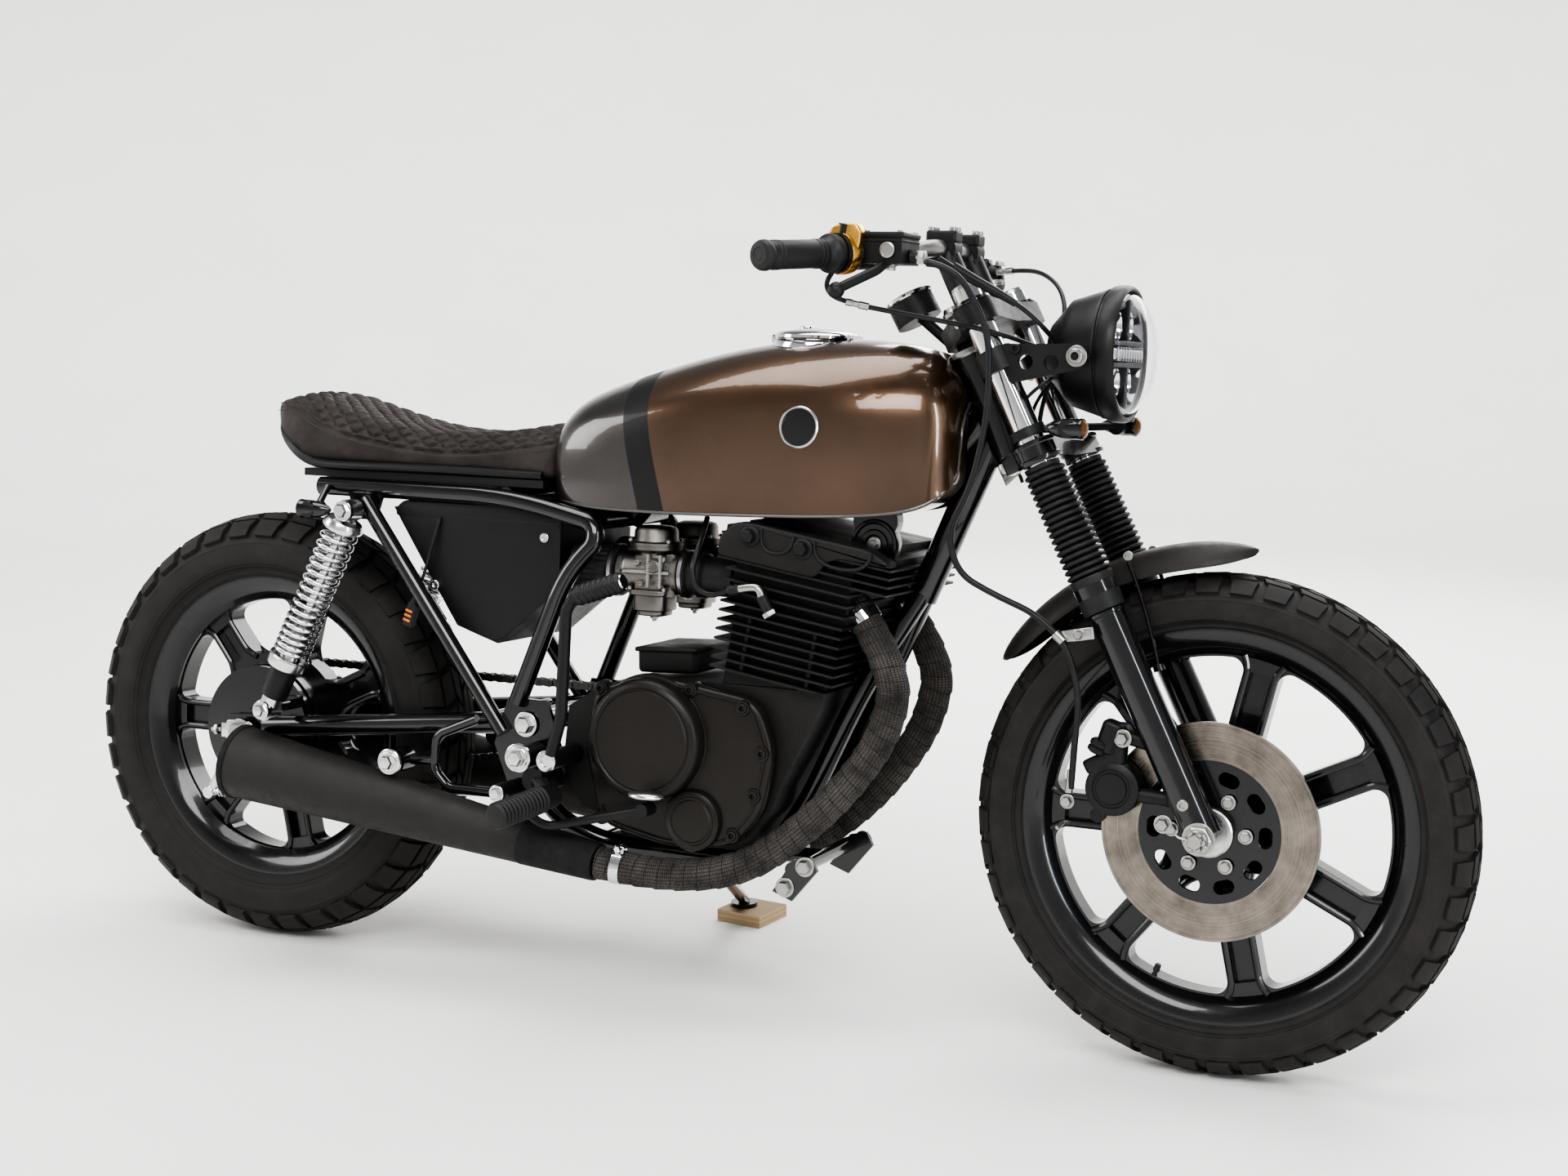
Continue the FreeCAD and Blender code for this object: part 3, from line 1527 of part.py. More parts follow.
muffler_rear = Vector(S.muffler_rear_ahead, 0, S.muffler_rear_height)
muffler_front = Vector(S.muffler_front_ahead, 0, S.muffler_front_height)
muffler_run = muffler_front - muffler_rear
head_foot = S.block_height + S.seat_gap
barrel_fins = cut(fuse(*fins(S.fin_depth, S.fin_width, S.fin_count, 0.0, S.block_height, 0)),
                  *fin_rooms())
barrel = fuse(engine_block(S.block_depth, S.block_width, S.block_height + 20, 0, -20), barrel_fins)
port_top = head_foot + S.head_height / 2
head_fins = cut(
    fuse(
        *fins(S.fin_depth, S.fin_width, S.port_fin_count, head_foot, port_top, 0),
        *fins(S.head_fin_depth, S.fin_width - 16, S.head_fin_count, port_top, head_foot + S.head_height, 14),
    ),
    *fin_rooms(),
)
cylinder_head = fuse(
    engine_block(S.block_depth + 20, S.block_width, S.head_height, 0, head_foot), head_fins
)
cover_foot = head_foot + S.head_height + S.seat_gap
cam_cover = fuse(
    engine_block(S.head_fin_depth - 10, S.block_width - 6, S.cover_height * 0.45, 10, cover_foot),
    engine_block(S.head_fin_depth - 60, S.block_width - 30, S.cover_height, 10, cover_foot),
)
node("cylinders", fuse_apart(cut(barrel, round_base()), cylinder_head, cam_cover))


def carburettor(side):
    """A carburettor: throat, dome, float bowl and the boot that joins it to the head."""
    y = side * S.carb_side
    throat = bar_between(S.throat_radius, Vector(S.carb_ahead - 46, y, S.carb_height),
                         Vector(S.carb_ahead + 45, y, S.carb_height + 4))
    dome = cylinder(S.dome_radius, S.dome_height, Vector(S.carb_ahead, y, S.carb_height), Z_AXIS)
    bowl = block((S.bowl_length, S.bowl_width, S.bowl_depth - 5),
                 Vector(S.carb_ahead - S.bowl_length / 2, y - S.bowl_width / 2, S.carb_height - S.bowl_depth))
    boot = bar_between(S.boot_radius, Vector(S.carb_ahead + 40, y, S.carb_height + 2),
                       Vector(S.deck_ahead - 78, y, S.carb_height + 8))
    return fuse(throat, dome, bowl, boot)


def air_filter(side):
    """The round filter behind a carburettor."""
    y = side * S.carb_side
    return bar_between(S.filter_radius, Vector(S.carb_ahead - 46 - S.filter_length, y, S.carb_height),
                       Vector(S.carb_ahead - 46 - S.seat_gap, y, S.carb_height))


throat_link = across(9.0, -S.carb_side, S.carb_side, S.carb_ahead, S.carb_height)
node("carburettors", fuse_apart(fuse(*both_sides(carburettor), throat_link), *both_sides(air_filter)))

# Exhaust

hang = Vector(S.hanger_ahead, 0, S.hanger_height)


def muffler(side):
    """A long cone that widens to the rear, open there, with its hanger tab."""
    offset = Vector(0, side * S.muffler_side, 0)
    cone = doc.addObject("Part::Cone", "MufflerCone")
    bind(cone, "Radius1", S.muffler_radius)
    bind(cone, "Radius2", S.muffler_neck_radius)
    cone.Height = muffler_run.Length
    cone.Placement = Placement(muffler_rear + offset, turn_to(muffler_run))
    start = muffler_rear + offset - Vector(muffler_run).normalize()
    recess = cylinder(S.muffler_radius - S.muffler_wall * 2, S.muffler_recess, start, muffler_run)
    mouth = muffler_front + offset + Vector(muffler_run).normalize()
    neck = cylinder(S.header_radius + S.header_clearance, S.muffler_neck_depth, mouth, -muffler_run)
    tab = side_plate(
        [
            (hang.x - 12, hang.z - 40),
            (hang.x + 12, hang.z - 40),
            (hang.x + 12, hang.z + 10),
            (hang.x - 12, hang.z + 10),
        ],
        side * S.muffler_side - 2,
        4,
    )
    bolt_hole = across(S.hanger_bolt_radius + S.seat_gap, side * S.muffler_side - 10,
                       side * S.muffler_side + 10, hang.x, hang.z)
    return cut(fuse(cone, tab), recess, bolt_hole, neck)


def header(side):
    """The wrapped pipe from the head's port round under the engine into the muffler's neck."""
    return bent_tube(S.header_radius, header_points(side))


def hanger(side):
    """The bent rod loop behind the pivot plate with the bolt that carries the muffler."""
    y = side * (S.plate_side + S.plate_thickness / 2 + S.hanger_rod_radius + S.seat_gap)
    loop = bent_tube(
        S.hanger_rod_radius,
        [
            Vector(S.pivot_ahead - 73, y, pivot_height + 1),
            Vector(S.hanger_ahead + 54, y, pivot_height - 26),
            Vector(S.hanger_ahead + 50, y, S.hanger_height - 10),
            Vector(S.hanger_ahead + 74, y, S.hanger_height - 33),
            Vector(S.pivot_ahead - 18, y, S.hanger_height - 32),
        ],
        22,
    )
    arm = bar_between(S.hanger_rod_radius, Vector(hang.x, y, hang.z), Vector(hang.x + 52, y, hang.z + 2))
    boss = across(S.hanger_boss_radius, y - side * 8, side * (S.muffler_side - 2 - S.seat_gap), hang.x,
                  hang.z)
    bolt = across(S.hanger_bolt_radius, y, side * (S.muffler_side + 10), hang.x, hang.z)
    return fuse(loop, arm, boss, bolt)


node("mufflers", fuse_apart(*both_sides(muffler)))
node("headers", fuse_apart(*both_sides(header)))
node("hangers", fuse_apart(*both_sides(hanger)))

# Fuel tank and seat: both are lofted through upright sections set along the machine

TANK_STATIONS = [
    # share of the length, bottom below and top above the backbone's middle, and half width
    (0.000, -30.0, 48.0, 72.0),
    (0.030, -37.0, 89.0, 92.0),
    (0.105, -42.0, 114.0, 108.0),
    (0.210, -44.0, 135.0, 118.0),
    (0.385, -43.0, 164.0, 126.0),
    (0.560, -40.0, 182.0, 128.0),
    (0.705, -37.0, 187.0, 127.0),
    (0.830, -32.0, 184.0, 119.0),
    (0.915, -25.0, 174.0, 104.0),
    (0.970, -8.0, 156.0, 84.0),
    (1.000, 22.0, 124.0, 56.0),
]
SEAT_STATIONS = [
    # distance ahead of the axle, bottom and top above the seat rails' middle, and half width
    (22.0, 97.0, 124.0, 58.0),
    (42.0, 73.0, 127.0, 88.0),
    (68.0, 47.0, 127.0, 104.0),
    (100.0, 25.0, 121.0, 110.0),
    (160.0, 24.0, 103.0, 112.0),
    (230.0, 25.0, 85.0, 112.0),
    (310.0, 26.0, 77.0, 110.0),
    (390.0, 25.0, 81.0, 105.0),
    (450.0, 24.0, 90.0, 100.0),
    (496.0, 24.0, 103.0, 94.0),
]


def section(ahead, low, high, half, belly=0.45, edge=0.94, roundness=0.62):
    """An upright section: a flat foot and one smooth curve over the top."""
    rise = high - low
    belt = low + rise * belly
    upper = high - belt
    right = [
        Vector(ahead, -half * edge, low),
        Vector(ahead, -half, belt),
        Vector(ahead, -half * 0.93, belt + upper * 0.45),
        Vector(ahead, -half * roundness, belt + upper * 0.83),
        Vector(ahead, 0, high),
    ]
    points = right + [Vector(p.x, -p.y, p.z) for p in reversed(right[:-1])]
    curve = Part.BSplineCurve()
    curve.interpolate(points)
    foot = Part.LineSegment(points[-1], points[0])
    return Part.Wire([curve.toShape(), foot.toShape()])


def tank_shape(grow=0.0):
    """The tank's loft, or the same form grown all round."""
    wires = []
    for share, low, high, half in TANK_STATIONS:
        ahead = S.tank_rear - grow + share * (S.tank_length + 2 * grow)
        half_width = half / 128.0 * S.tank_half_width
        foot = float(backbone_height) + low - grow
        top = float(backbone_height) + high + grow
        wires.append(section(float(ahead), foot, top, float(half_width) + grow))
    return Part.makeLoft(wires, True, False)


def shape_feature(name, shape):
    """A document object that holds a shape."""
    feature = doc.addObject("Part::Feature", name)
    feature.Shape = shape
    return feature


tunnel_gap = S.backbone_radius + S.tunnel_clearance
tunnel = fuse(
    bent_tube(
        tunnel_gap,
        [backbone_route[0] + Vector(40, 0, 20), *backbone_route[1:3],
         Vector(S.tank_rear - 40, 0, backbone_height)],
    ),
    side_plate(
        [
            (S.tank_rear - 40, backbone_height - 100),
            (backbone_bend_ahead + 110, backbone_height - 100),
            (backbone_bend_ahead + 110, backbone_height + 122),
            (backbone_bend_ahead + 8, backbone_height + 45),
            (backbone_bend_ahead - 95, backbone_height),
            (S.tank_rear - 40, backbone_height),
        ],
        -tunnel_gap + 1,
        tunnel_gap * 2 - 2,
    ),
    cylinder(S.head_radius + S.tunnel_clearance, head_high - head_low + 160, on_head(head_low - 80),
             fork_direction),
)
horn_height = backbone_height - S.horn_drop
horn_pocket = across(S.horn_radius + S.horn_clearance, -88, -10, S.horn_ahead, horn_height)
cap_height = backbone_height + S.cap_above_backbone
cap_recess = cylinder(S.cap_radius + S.cap_flange + S.seat_gap, 60.0,
                      Vector(S.cap_ahead, 0, cap_height), Z_AXIS)
node("fuel_tank", cut(shape_feature("TankLoft", tank_shape()), tunnel, horn_pocket, cap_recess))


def fuel_cap():
    """The flip cap in its round recess: a seat ring, a lid and the hinge and latch beside it."""
    base = Vector(S.cap_ahead, 0, cap_height + S.seat_gap)
    ring = cylinder(S.cap_radius + S.cap_flange, S.cap_seat, base, Z_AXIS)
    lid = cylinder(S.cap_radius - 5, S.cap_rise, base, Z_AXIS)
    hinge = block((16.0, 26.0, S.cap_seat + 8), base + Vector(S.cap_radius - 12, -13, 0))
    latch = block((14.0, 20.0, S.cap_seat + 6), base + Vector(-S.cap_radius - 2, -10, 0))
    return fuse(ring, lid, hinge, latch)


node("fuel_cap", fuel_cap())


pan_foot = S.rail_height + S.rail_radius + S.seat_gap
pan_top = pan_foot + S.pan_thickness


def seat_pad():
    """The saddle: a loft that rises at the rear and meets the tank at the front."""
    wires = [
        section(ahead, float(S.rail_height) + low, float(S.rail_height) + high,
                half / 112.0 * float(S.seat_half_width), 0.4, 0.97, 0.72)
        for ahead, low, high, half in SEAT_STATIONS
    ]
    gap = S.seat_gap
    pan_room = block(
        (S.pan_front_ahead - S.pan_rear_ahead + 2 * gap, 2 * (S.pan_half_width + gap), 40.0),
        Vector(S.pan_rear_ahead - gap, -S.pan_half_width - gap, pan_top - 40),
    )
    return cut(
        shape_feature("SeatLoft", Part.makeLoft(wires, True, False)),
        shape_feature("TankRear", tank_shape(1.0)),
        pan_room,
    )


node("seat_pad", seat_pad())
node(
    "seat_pan",
    block((S.pan_front_ahead - S.pan_rear_ahead, 2 * S.pan_half_width, S.pan_thickness - S.seat_gap),
          Vector(S.pan_rear_ahead, -S.pan_half_width, pan_foot)),
)
tab_side = S.box_half_width - S.tab_radius - 0.5
tab_to_rail = S.rail_side - tab_side - S.tab_radius
tab_top = S.rail_height - math.sqrt(S.rail_radius * S.rail_radius - tab_to_rail * tab_to_rail) - S.seat_gap
box_top = S.rail_height - 23
box_shell = side_plate(
    [(246, box_top), (350, box_top - 156), (414, box_top - 176), (508, box_top - 96), (508, box_top - 6)],
    -S.box_half_width,
    S.box_half_width * 2,
)
box_tabs = [
    cylinder(S.tab_radius, tab_top - box_top + 12, Vector(ahead, side * tab_side, box_top - 12),
             Z_AXIS)
    for ahead in (290, 380)
    for side in (RIGHT, LEFT)
]
node("side_box", fuse(box_shell, *box_tabs))

# Controls, lamps and small pieces of the chassis

horn_bracket = bar_between(5.0, Vector(S.horn_ahead, -60, horn_height + 11),
                           Vector(S.horn_ahead, -19.5, horn_height + 36.5))
node("horn", fuse(across(S.horn_radius, -72, -52, S.horn_ahead, horn_height), horn_bracket))


def from_pivot(ahead, side, up):
    """A point given from the swing arm's pivot."""
    return Vector(S.pivot_ahead + ahead, side, pivot_height + up)


def foot_controls(side):
    """The rider's peg on its folding mount and the pedal or lever beside it."""
    y = side * (S.plate_side + S.plate_thickness / 2 + S.seat_gap)
    mount = from_pivot(S.peg_ahead, 0, -S.peg_drop)
    hub = across(S.peg_radius, y + side * 2, side * 170, mount.x, mount.z)
    arm = bar_between(11.0, mount + Vector(-8, side * 152, 2), mount + Vector(35, side * 186, -14))
    peg = bar_between(S.peg_radius, mount + Vector(36, side * 178, -14), mount + Vector(12, side * 282, -28))
    boss = from_pivot(-3, 0, -S.pedal_drop)
    pedal_boss = across(12.0, y + side * (8 + S.seat_gap), side * (S.pedal_side + 7), boss.x, boss.z)
    shoe = from_pivot(S.shoe_ahead, 0, 1 - S.pedal_drop)
    pedal = bent_tube(
        S.pedal_radius,
        [
            boss + Vector(5, side * S.pedal_side, -2),
            boss + Vector(70, side * S.pedal_side, -38),
            shoe + Vector(-2, side * S.pedal_side, -1),
        ],
        40,
    )
    pad_bar = across(S.shoe_radius, side * (S.pedal_side - 11), side * (S.pedal_side + 15), shoe.x, shoe.z)
    corners = [
        (S.pivot_ahead - 16, pivot_height - 88),
        (S.pivot_ahead + 12, pivot_height - 102),
        (S.pivot_ahead + 58, pivot_height - 76),
        (S.pivot_ahead + 54, pivot_height - 50),
        (S.pivot_ahead + 22, pivot_height - 52),
    ]
    carrier = side_plate(corners, y if side == LEFT else y - 8, 8)
    return [fuse(hub, carrier, arm, peg), fuse(pedal_boss, pedal, pad_bar)]


def kick_lever():
    """The kick starter: a boss beside the gearbox, an upright arm and a folding pad."""
    boss = from_pivot(S.kick_ahead, 0, -S.kick_drop)
    shaft = across(13.0, -S.case_right - S.seat_gap, -S.kick_side, boss.x, boss.z)
    arm = bent_tube(
        S.kick_radius,
        [
            boss + Vector(5, -S.kick_side, 8),
            boss + Vector(20, -S.kick_side - 2, 58),
            boss + Vector(24, -S.kick_side - 2, 198),
            boss + Vector(38, -S.kick_side - 4, 218),
        ],
        20,
    )
    foot_pad = bar_between(12.0, boss + Vector(36, -S.kick_side - 4, 216),
                           boss + Vector(106, -S.kick_side - 8, 240))
    return fuse(shaft, arm, foot_pad)


node("foot_controls", fuse_apart(*foot_controls(RIGHT), *foot_controls(LEFT), kick_lever()))


node(
    "rear_indicators",
    fuse_apart(*[
        fuse(
            bar_between(S.indicator_stalk_radius,
                        Vector(150, side * (S.rail_side + S.rail_radius + 2.8), S.rail_height),
                        Vector(152, side * 142, S.rail_height - 25)),
            bar_between(S.indicator_radius, Vector(152, side * 136, S.rail_height - 29),
                        Vector(152, side * 168, S.rail_height - 29)),
        )
        for side in (RIGHT, LEFT)
    ]),
)

# Steering: handlebar and what it carries

bar_middle = along_fork(S.bar_along, -S.bar_behind)
bar_points = []
for side in (RIGHT, LEFT):
    bar_points.append([
        bar_middle + Vector(-S.bar_back, side * S.bar_half_width, -S.bar_drop),
        bar_middle + Vector(-S.knee_back, side * S.knee_side, -S.knee_drop),
        bar_middle + Vector(0, side * S.bar_straight, 0),
    ])
bar_route = bar_points[0] + list(reversed(bar_points[1]))
node("handlebar", bent_tube(S.bar_radius, bar_route, 90, S.bar_radius - S.bar_wall))


def along_bar(side, distance):
    """A point on the grip's straight part, from the bar's end, and its direction inwards."""
    end, inner = bar_points[0 if side == RIGHT else 1][:2]
    inward = (inner - end).normalize()
    return end + inward * float(distance), inward


def grip(side):
    """A rubber grip with its flange, on the end of the bar."""
    start, inward = along_bar(side, 0)
    sleeve = cylinder(S.grip_radius, S.grip_length - S.grip_flange, start, inward)
    flange = cylinder(S.grip_radius + S.grip_flange, S.grip_flange,
                      start + inward * float(S.grip_length - S.grip_flange), inward)
    bore = cylinder(S.bar_radius + S.seat_gap, S.grip_length + 2, start - inward, inward)
    return cut(fuse(sleeve, flange), bore)


node("grips", fuse_apart(*both_sides(grip)))


def perch(side):
    """A lever's perch on the bar with its reservoir, pivot and ball-ended lever."""
    start, inward = along_bar(side, S.perch_in)
    ring = cylinder(S.bar_radius + 8, S.perch_width, start, inward)
    bore = cylinder(S.bar_radius + S.seat_gap, 110.0, start - inward * 20, inward)
    ahead = Vector(30, 0, -4)
    boss = bar_between(10.0, start + inward * 12, start + inward * 12 + ahead * 1.4)
    lever_start = start + inward * 12 + ahead * 1.4
    outward = -inward
    lever = bent_tube(
        S.lever_radius,
        [
            lever_start,
            lever_start + outward * 30 + Vector(4, 0, -14),
            lever_start + outward * 78 + Vector(-8, 0, -34),
        ],
        30,
    )
    ball = doc.addObject("Part::Sphere", "Ball")
    bind(ball, "Radius", S.lever_ball_radius)
    ball.Placement = Placement(lever_start + outward * 80 + Vector(-9, 0, -36), Rotation())
    pieces = [ring, boss, lever, ball]
    if side == RIGHT:
        pieces.append(block((50.0, 58.0, 32.0), start + inward * 8 + Vector(13, -14, -13)))
    return cut(fuse(*pieces), bore)


def throttle_housing():
    """The clamp beside the right grip that the throttle cable runs into."""
    start, inward = along_bar(RIGHT, S.grip_length + 1)
    ring = cylinder(S.throttle_radius, S.throttle_width, start, inward)
    ear = bar_between(10.0, start + inward * 11, start + inward * 11 + Vector(6, 0, 34))
    bore = cylinder(S.bar_radius + S.seat_gap, 60.0, start - inward * 10, inward)
    return cut(fuse(ring, ear), bore)


node("bar_controls", fuse_apart(*both_sides(perch), throttle_housing()))


def riser(side):
    """The clamp post that holds the bar above the upper clamp."""
    foot = along_fork(S.upper_clamp_low + S.clamp_thickness + S.seat_gap, -S.bar_behind, side * S.riser_side)
    head = along_fork(S.bar_along, -S.bar_behind, side * S.riser_side)
    post = bar_between(S.riser_radius, foot, head)
    ring = across(S.bar_radius + 9, side * S.riser_side - 13, side * S.riser_side + 13, head.x, head.z)
    bore = across(S.bar_radius + S.seat_gap, side * S.riser_side - 30, side * S.riser_side + 30, head.x,
                  head.z)
    return cut(fuse(post, ring), bore)


gauge_foot = Vector(S.gauge_ahead, 0, S.gauge_height)
gauge = cylinder(S.gauge_radius, S.gauge_depth, gauge_foot, Vector(-0.5, 0, 0.86))
gauge_bracket = bar_between(7.0, gauge_foot + Vector(0, 0, 6),
                            along_fork(S.upper_clamp_low + S.clamp_thickness / 2, -S.fork_offset - 20))
clamp_with_gauge = fuse(clamp(S.upper_clamp_low, True), gauge_bracket, gauge)
node("upper_clamp", fuse_apart(clamp_with_gauge, *both_sides(riser)))

# Headlight on its brackets

lamp_centre = Vector(S.headlight_ahead, 0, S.headlight_height)
LAMP_TURN = Rotation(Y_AXIS, 90)


def headlight_shell():
    """The bucket and its rim, turned about the lamp's axis, which points forward."""
    body = new_body("Bucket", lamp_centre, LAMP_TURN)
    radius = S.headlight_radius
    depth = S.headlight_depth
    wall = S.headlight_wall
    corners = [
        (0.0, -depth),
        (radius * 0.45, -depth * 0.94),
        (radius * 0.8, -depth * 0.68),
        (radius - 5, -depth * 0.3),
        (radius - 3, -S.headlight_rim),
        (radius, -S.headlight_rim),
        (radius, 0.0),
        (S.lens_radius, 0.0),
        (S.lens_radius, -S.headlight_rim + 3),
        (radius - 5 - wall, -depth * 0.3),
        (radius * 0.8 - wall, -depth * 0.65),
        (0.0, -depth + wall),
    ]
    revolve(body, outline(body, "XZ_Plane", corners))
    return body


def headlight_lens():
    """The domed lens that stands proud of the rim."""
    body = new_body("Lens", lamp_centre, LAMP_TURN)
    edge = S.lens_radius - S.seat_gap
    corners = [
        (0.0, -S.headlight_rim + 6),
        (edge, -S.headlight_rim + 6),
        (edge, 4.0),
        (edge * 0.82, S.lens_bulge * 0.62),
        (edge * 0.5, S.lens_bulge * 0.9),
        (0.0, S.lens_bulge),
    ]
    revolve(body, outline(body, "XZ_Plane", corners))
    return body


node("headlight_shell", headlight_shell())
node("headlight_lens", headlight_lens())
lamp_bolt = Vector(S.lamp_bolt_ahead, 0, S.lamp_bolt_height)


def headlight_bracket(side):
    """A ring round the fork tube and a plate forward to the lamp's pivot bolt."""
    ring_at = along_fork(S.bracket_along - 14, 0, side * S.fork_side)
    ring = cylinder(S.fork_tube_radius + 6, 28.0, ring_at, fork_direction)
    bore = cylinder(S.fork_tube_radius + S.seat_gap, 140.0,
                    along_fork(S.bracket_along - 70, 0, side * S.fork_side), fork_direction)
    y = side * S.bracket_side - S.bracket_thickness / 2
    middle = along_fork(S.bracket_along, 0)
    plate = side_plate(
        [
            (middle.x - 12, middle.z - 20),
            (middle.x + 30, middle.z - 24),
            (lamp_bolt.x + 6, lamp_bolt.z - 15),
            (lamp_bolt.x + 15, lamp_bolt.z),
            (lamp_bolt.x + 6, lamp_bolt.z + 15),
            (middle.x + 14, middle.z + 22),
            (middle.x - 12, middle.z + 14),
        ],
        y,
        S.bracket_thickness,
    )
    holes = [
        across(S.bracket_hole_radius, side * S.bracket_side - 6, side * S.bracket_side + 6, middle.x + run,
               middle.z + 1)
        for run in (42.0, 74.0)
    ]
    bolt = across(S.lamp_bolt_radius, side * (S.headlight_radius - 6), side * (S.bracket_side + 8),
                  lamp_bolt.x, lamp_bolt.z)
    return cut(fuse(ring, cut(plate, *holes), bolt), bore)


def front_indicator(side):
    """A clamp round the fork tube with a bullet lamp on a short stalk."""
    at = along_fork(S.indicator_along, 0, side * S.fork_side)
    ring = cylinder(S.fork_tube_radius + 5, 12.0, at, fork_direction)
    bore = cylinder(S.fork_tube_radius + S.seat_gap, 40.0, at - fork_direction * 10, fork_direction)
    stalk = bar_between(S.indicator_stalk_radius, at + Vector(18, 0, 12), at + Vector(56, side * 14, 14))
    lamp = bar_between(S.indicator_radius, at + Vector(54, side * 8, 14), at + Vector(58, side * 40, 14))
    return cut(fuse(ring, stalk, lamp), bore)


lamp_room = cylinder(S.headlight_radius - 5 + S.seat_gap, 140.0, lamp_centre - Vector(110, 0, 0), X_AXIS)
node(
    "headlight_brackets",
    fuse_apart(cut(fuse_apart(*both_sides(headlight_bracket)), lamp_room), *both_sides(front_indicator)),
)


def fender():
    """A short pointed guard over the front wheel on its stay between the fork legs."""
    outer = S.front_tyre_radius + S.fender_clearance + S.fender_thickness
    inner = S.front_tyre_radius + S.fender_clearance
    shell = new_body("Fender", front_axle, Rotation(X_AXIS, -90))
    half = S.fender_half_width
    revolve(
        shell,
        outline(shell, "XZ_Plane", [
            (inner - 12, -half), (inner, -half + 14), (inner, half - 14), (inner - 12, half),
            (inner - 12 + S.fender_thickness, half), (outer, half - 14), (outer, -half + 14),
            (inner - 12 + S.fender_thickness, -half),
        ]),
    )
    span = S.front_tyre_radius * 1.5
    keep = side_plate(
        [
            (front_axle.x, front_axle.z + 100),
            (front_axle.x + math.cos(math.radians(S.fender_front)) * span,
             front_axle.z + math.sin(math.radians(S.fender_front)) * span),
            (front_axle.x - 200, front_axle.z + span),
            (front_axle.x - 430, front_axle.z + 300),
            (front_axle.x + math.cos(math.radians(S.fender_rear)) * span,
             front_axle.z + math.sin(math.radians(S.fender_rear)) * span),
        ],
        -S.fender_half_width - 5,
        2 * S.fender_half_width + 10,
    )
    common = doc.addObject("Part::Common", "FenderArc")
    common.Base = shell
    common.Tool = keep
    return common


stay_at = along_fork(S.fender_stay_along, 0)
stay_reach = S.fork_side - S.gaiter_radius - S.seat_gap
fender_stay = across(S.fender_stay_radius, -stay_reach, stay_reach, stay_at.x, stay_at.z)
node("front_fender", fuse(fender(), fender_stay))


def caliper():
    """The brake caliper behind the right leg, with a slot that the disc turns in."""
    angle = math.radians(S.caliper_angle)
    middle = front_axle + Vector(math.cos(angle), 0, math.sin(angle)) * float(S.disc_radius - S.caliper_inset)
    outer = -S.disc_side - 37
    body = across(S.caliper_radius, outer, -S.disc_side + 25, middle.x - 2, middle.z - 3)
    top = Vector(middle.x + 2, -S.fork_side + 4, middle.z + 62)
    shoulder = across(14.0, outer + 6, -S.disc_side - 12, top.x, top.z)
    link = bar_between(12.0, Vector(middle.x, top.y, middle.z + 10), top)
    lugs = []
    for height in (S.caliper_lug_low, S.caliper_lug_high):
        on_leg = along_fork(height, 0, -S.fork_side)
        start = top if height == S.caliper_lug_high else Vector(middle.x + 12, top.y, middle.z - 8)
        lugs.append(bar_between(9.0, start, Vector(on_leg.x, top.y, on_leg.z)))
    slot = across(S.disc_radius + S.running_gap, -S.disc_side - S.disc_thickness / 2 - S.running_gap,
                  -S.disc_side + S.disc_thickness / 2 + S.running_gap, front_axle.x, front_axle.z)
    leg_room = cylinder(S.slider_radius + S.seat_gap, 330.0, along_fork(0, 0, -S.fork_side), fork_direction)
    return cut(fuse(body, shoulder, link, *lugs), slot, leg_room)


node("brake_caliper", caliper())

HOSE_POINTS = [
    # behind the front axle, sideways, above the front axle: first the reservoir and last the caliper
    (360.4, 181.0, 674.5),
    (307.0, 166.0, 658.5),
    (273.0, 146.0, 590.5),
    (273.0, 140.0, 490.5),
    (291.0, 138.0, 405.5),
    (321.0, 134.0, 345.5),
    (307.0, 128.0, 296.5),
    (263.0, 124.0, 274.5),
    (209.0, 120.0, 253.5),
    (171.0, 118.0, 220.5),
    (153.0, 112.0, 160.5),
    (159.0, 104.0, 90.5),
    (163.0, 97.0, 42.5),
]


def brake_hose():
    """The hose from the reservoir down behind the right leg and over its clamp to the caliper."""
    return bent_tube(S.hose_radius, [front_axle + Vector(-back, -out, up) for back, out, up in HOSE_POINTS])


node("brake_hose", brake_hose())

# Side stand and the wooden pad under it


def side_stand():
    """The stand's leg, its pivot eye and the foot that rests on the pad."""
    pad_top = from_floor(S.stand_foot_ahead, S.stand_foot_side, S.block_thickness + S.seat_gap)
    up = Rotation(X_AXIS, float(S.lean)).multVec(Z_AXIS)
    foot = cylinder(S.stand_foot_radius, 6.0, pad_top, up)
    leg = bar_between(S.stand_radius, stand_eye, pad_top + up * 9)
    eye = cylinder(15.0, 14.0, stand_eye - stand_axis() * 7, stand_axis())
    bore = cylinder(S.stand_pin_radius + S.seat_gap, 60.0, stand_eye - stand_axis() * 30, stand_axis())
    return cut(fuse(foot, leg, eye), bore)


node("side_stand", side_stand())
pad_block = block((S.block_side, S.block_side, S.block_thickness), Vector())
pad_block.Placement = Placement(
    Vector(S.stand_foot_ahead + 14, S.stand_foot_side - 2, 0), Rotation(Z_AXIS, -8)
).multiply(Placement(Vector(-S.block_side / 2, -S.block_side / 2, 0), Rotation()))
pad_block.Label = "stand_block"
floor_shift = Placement(Vector(STANCE.Base.x, STANCE.Base.y, 0), Rotation())
pad_block.Placement = floor_shift.multiply(pad_block.Placement)
NODES.append(pad_block)


doc.recompute()
for thing in doc.Objects:
    if "Invalid" in thing.State or "Error" in thing.State:
        raise RuntimeError(f"{thing.Name} {thing.Label} failed: {thing.State}")

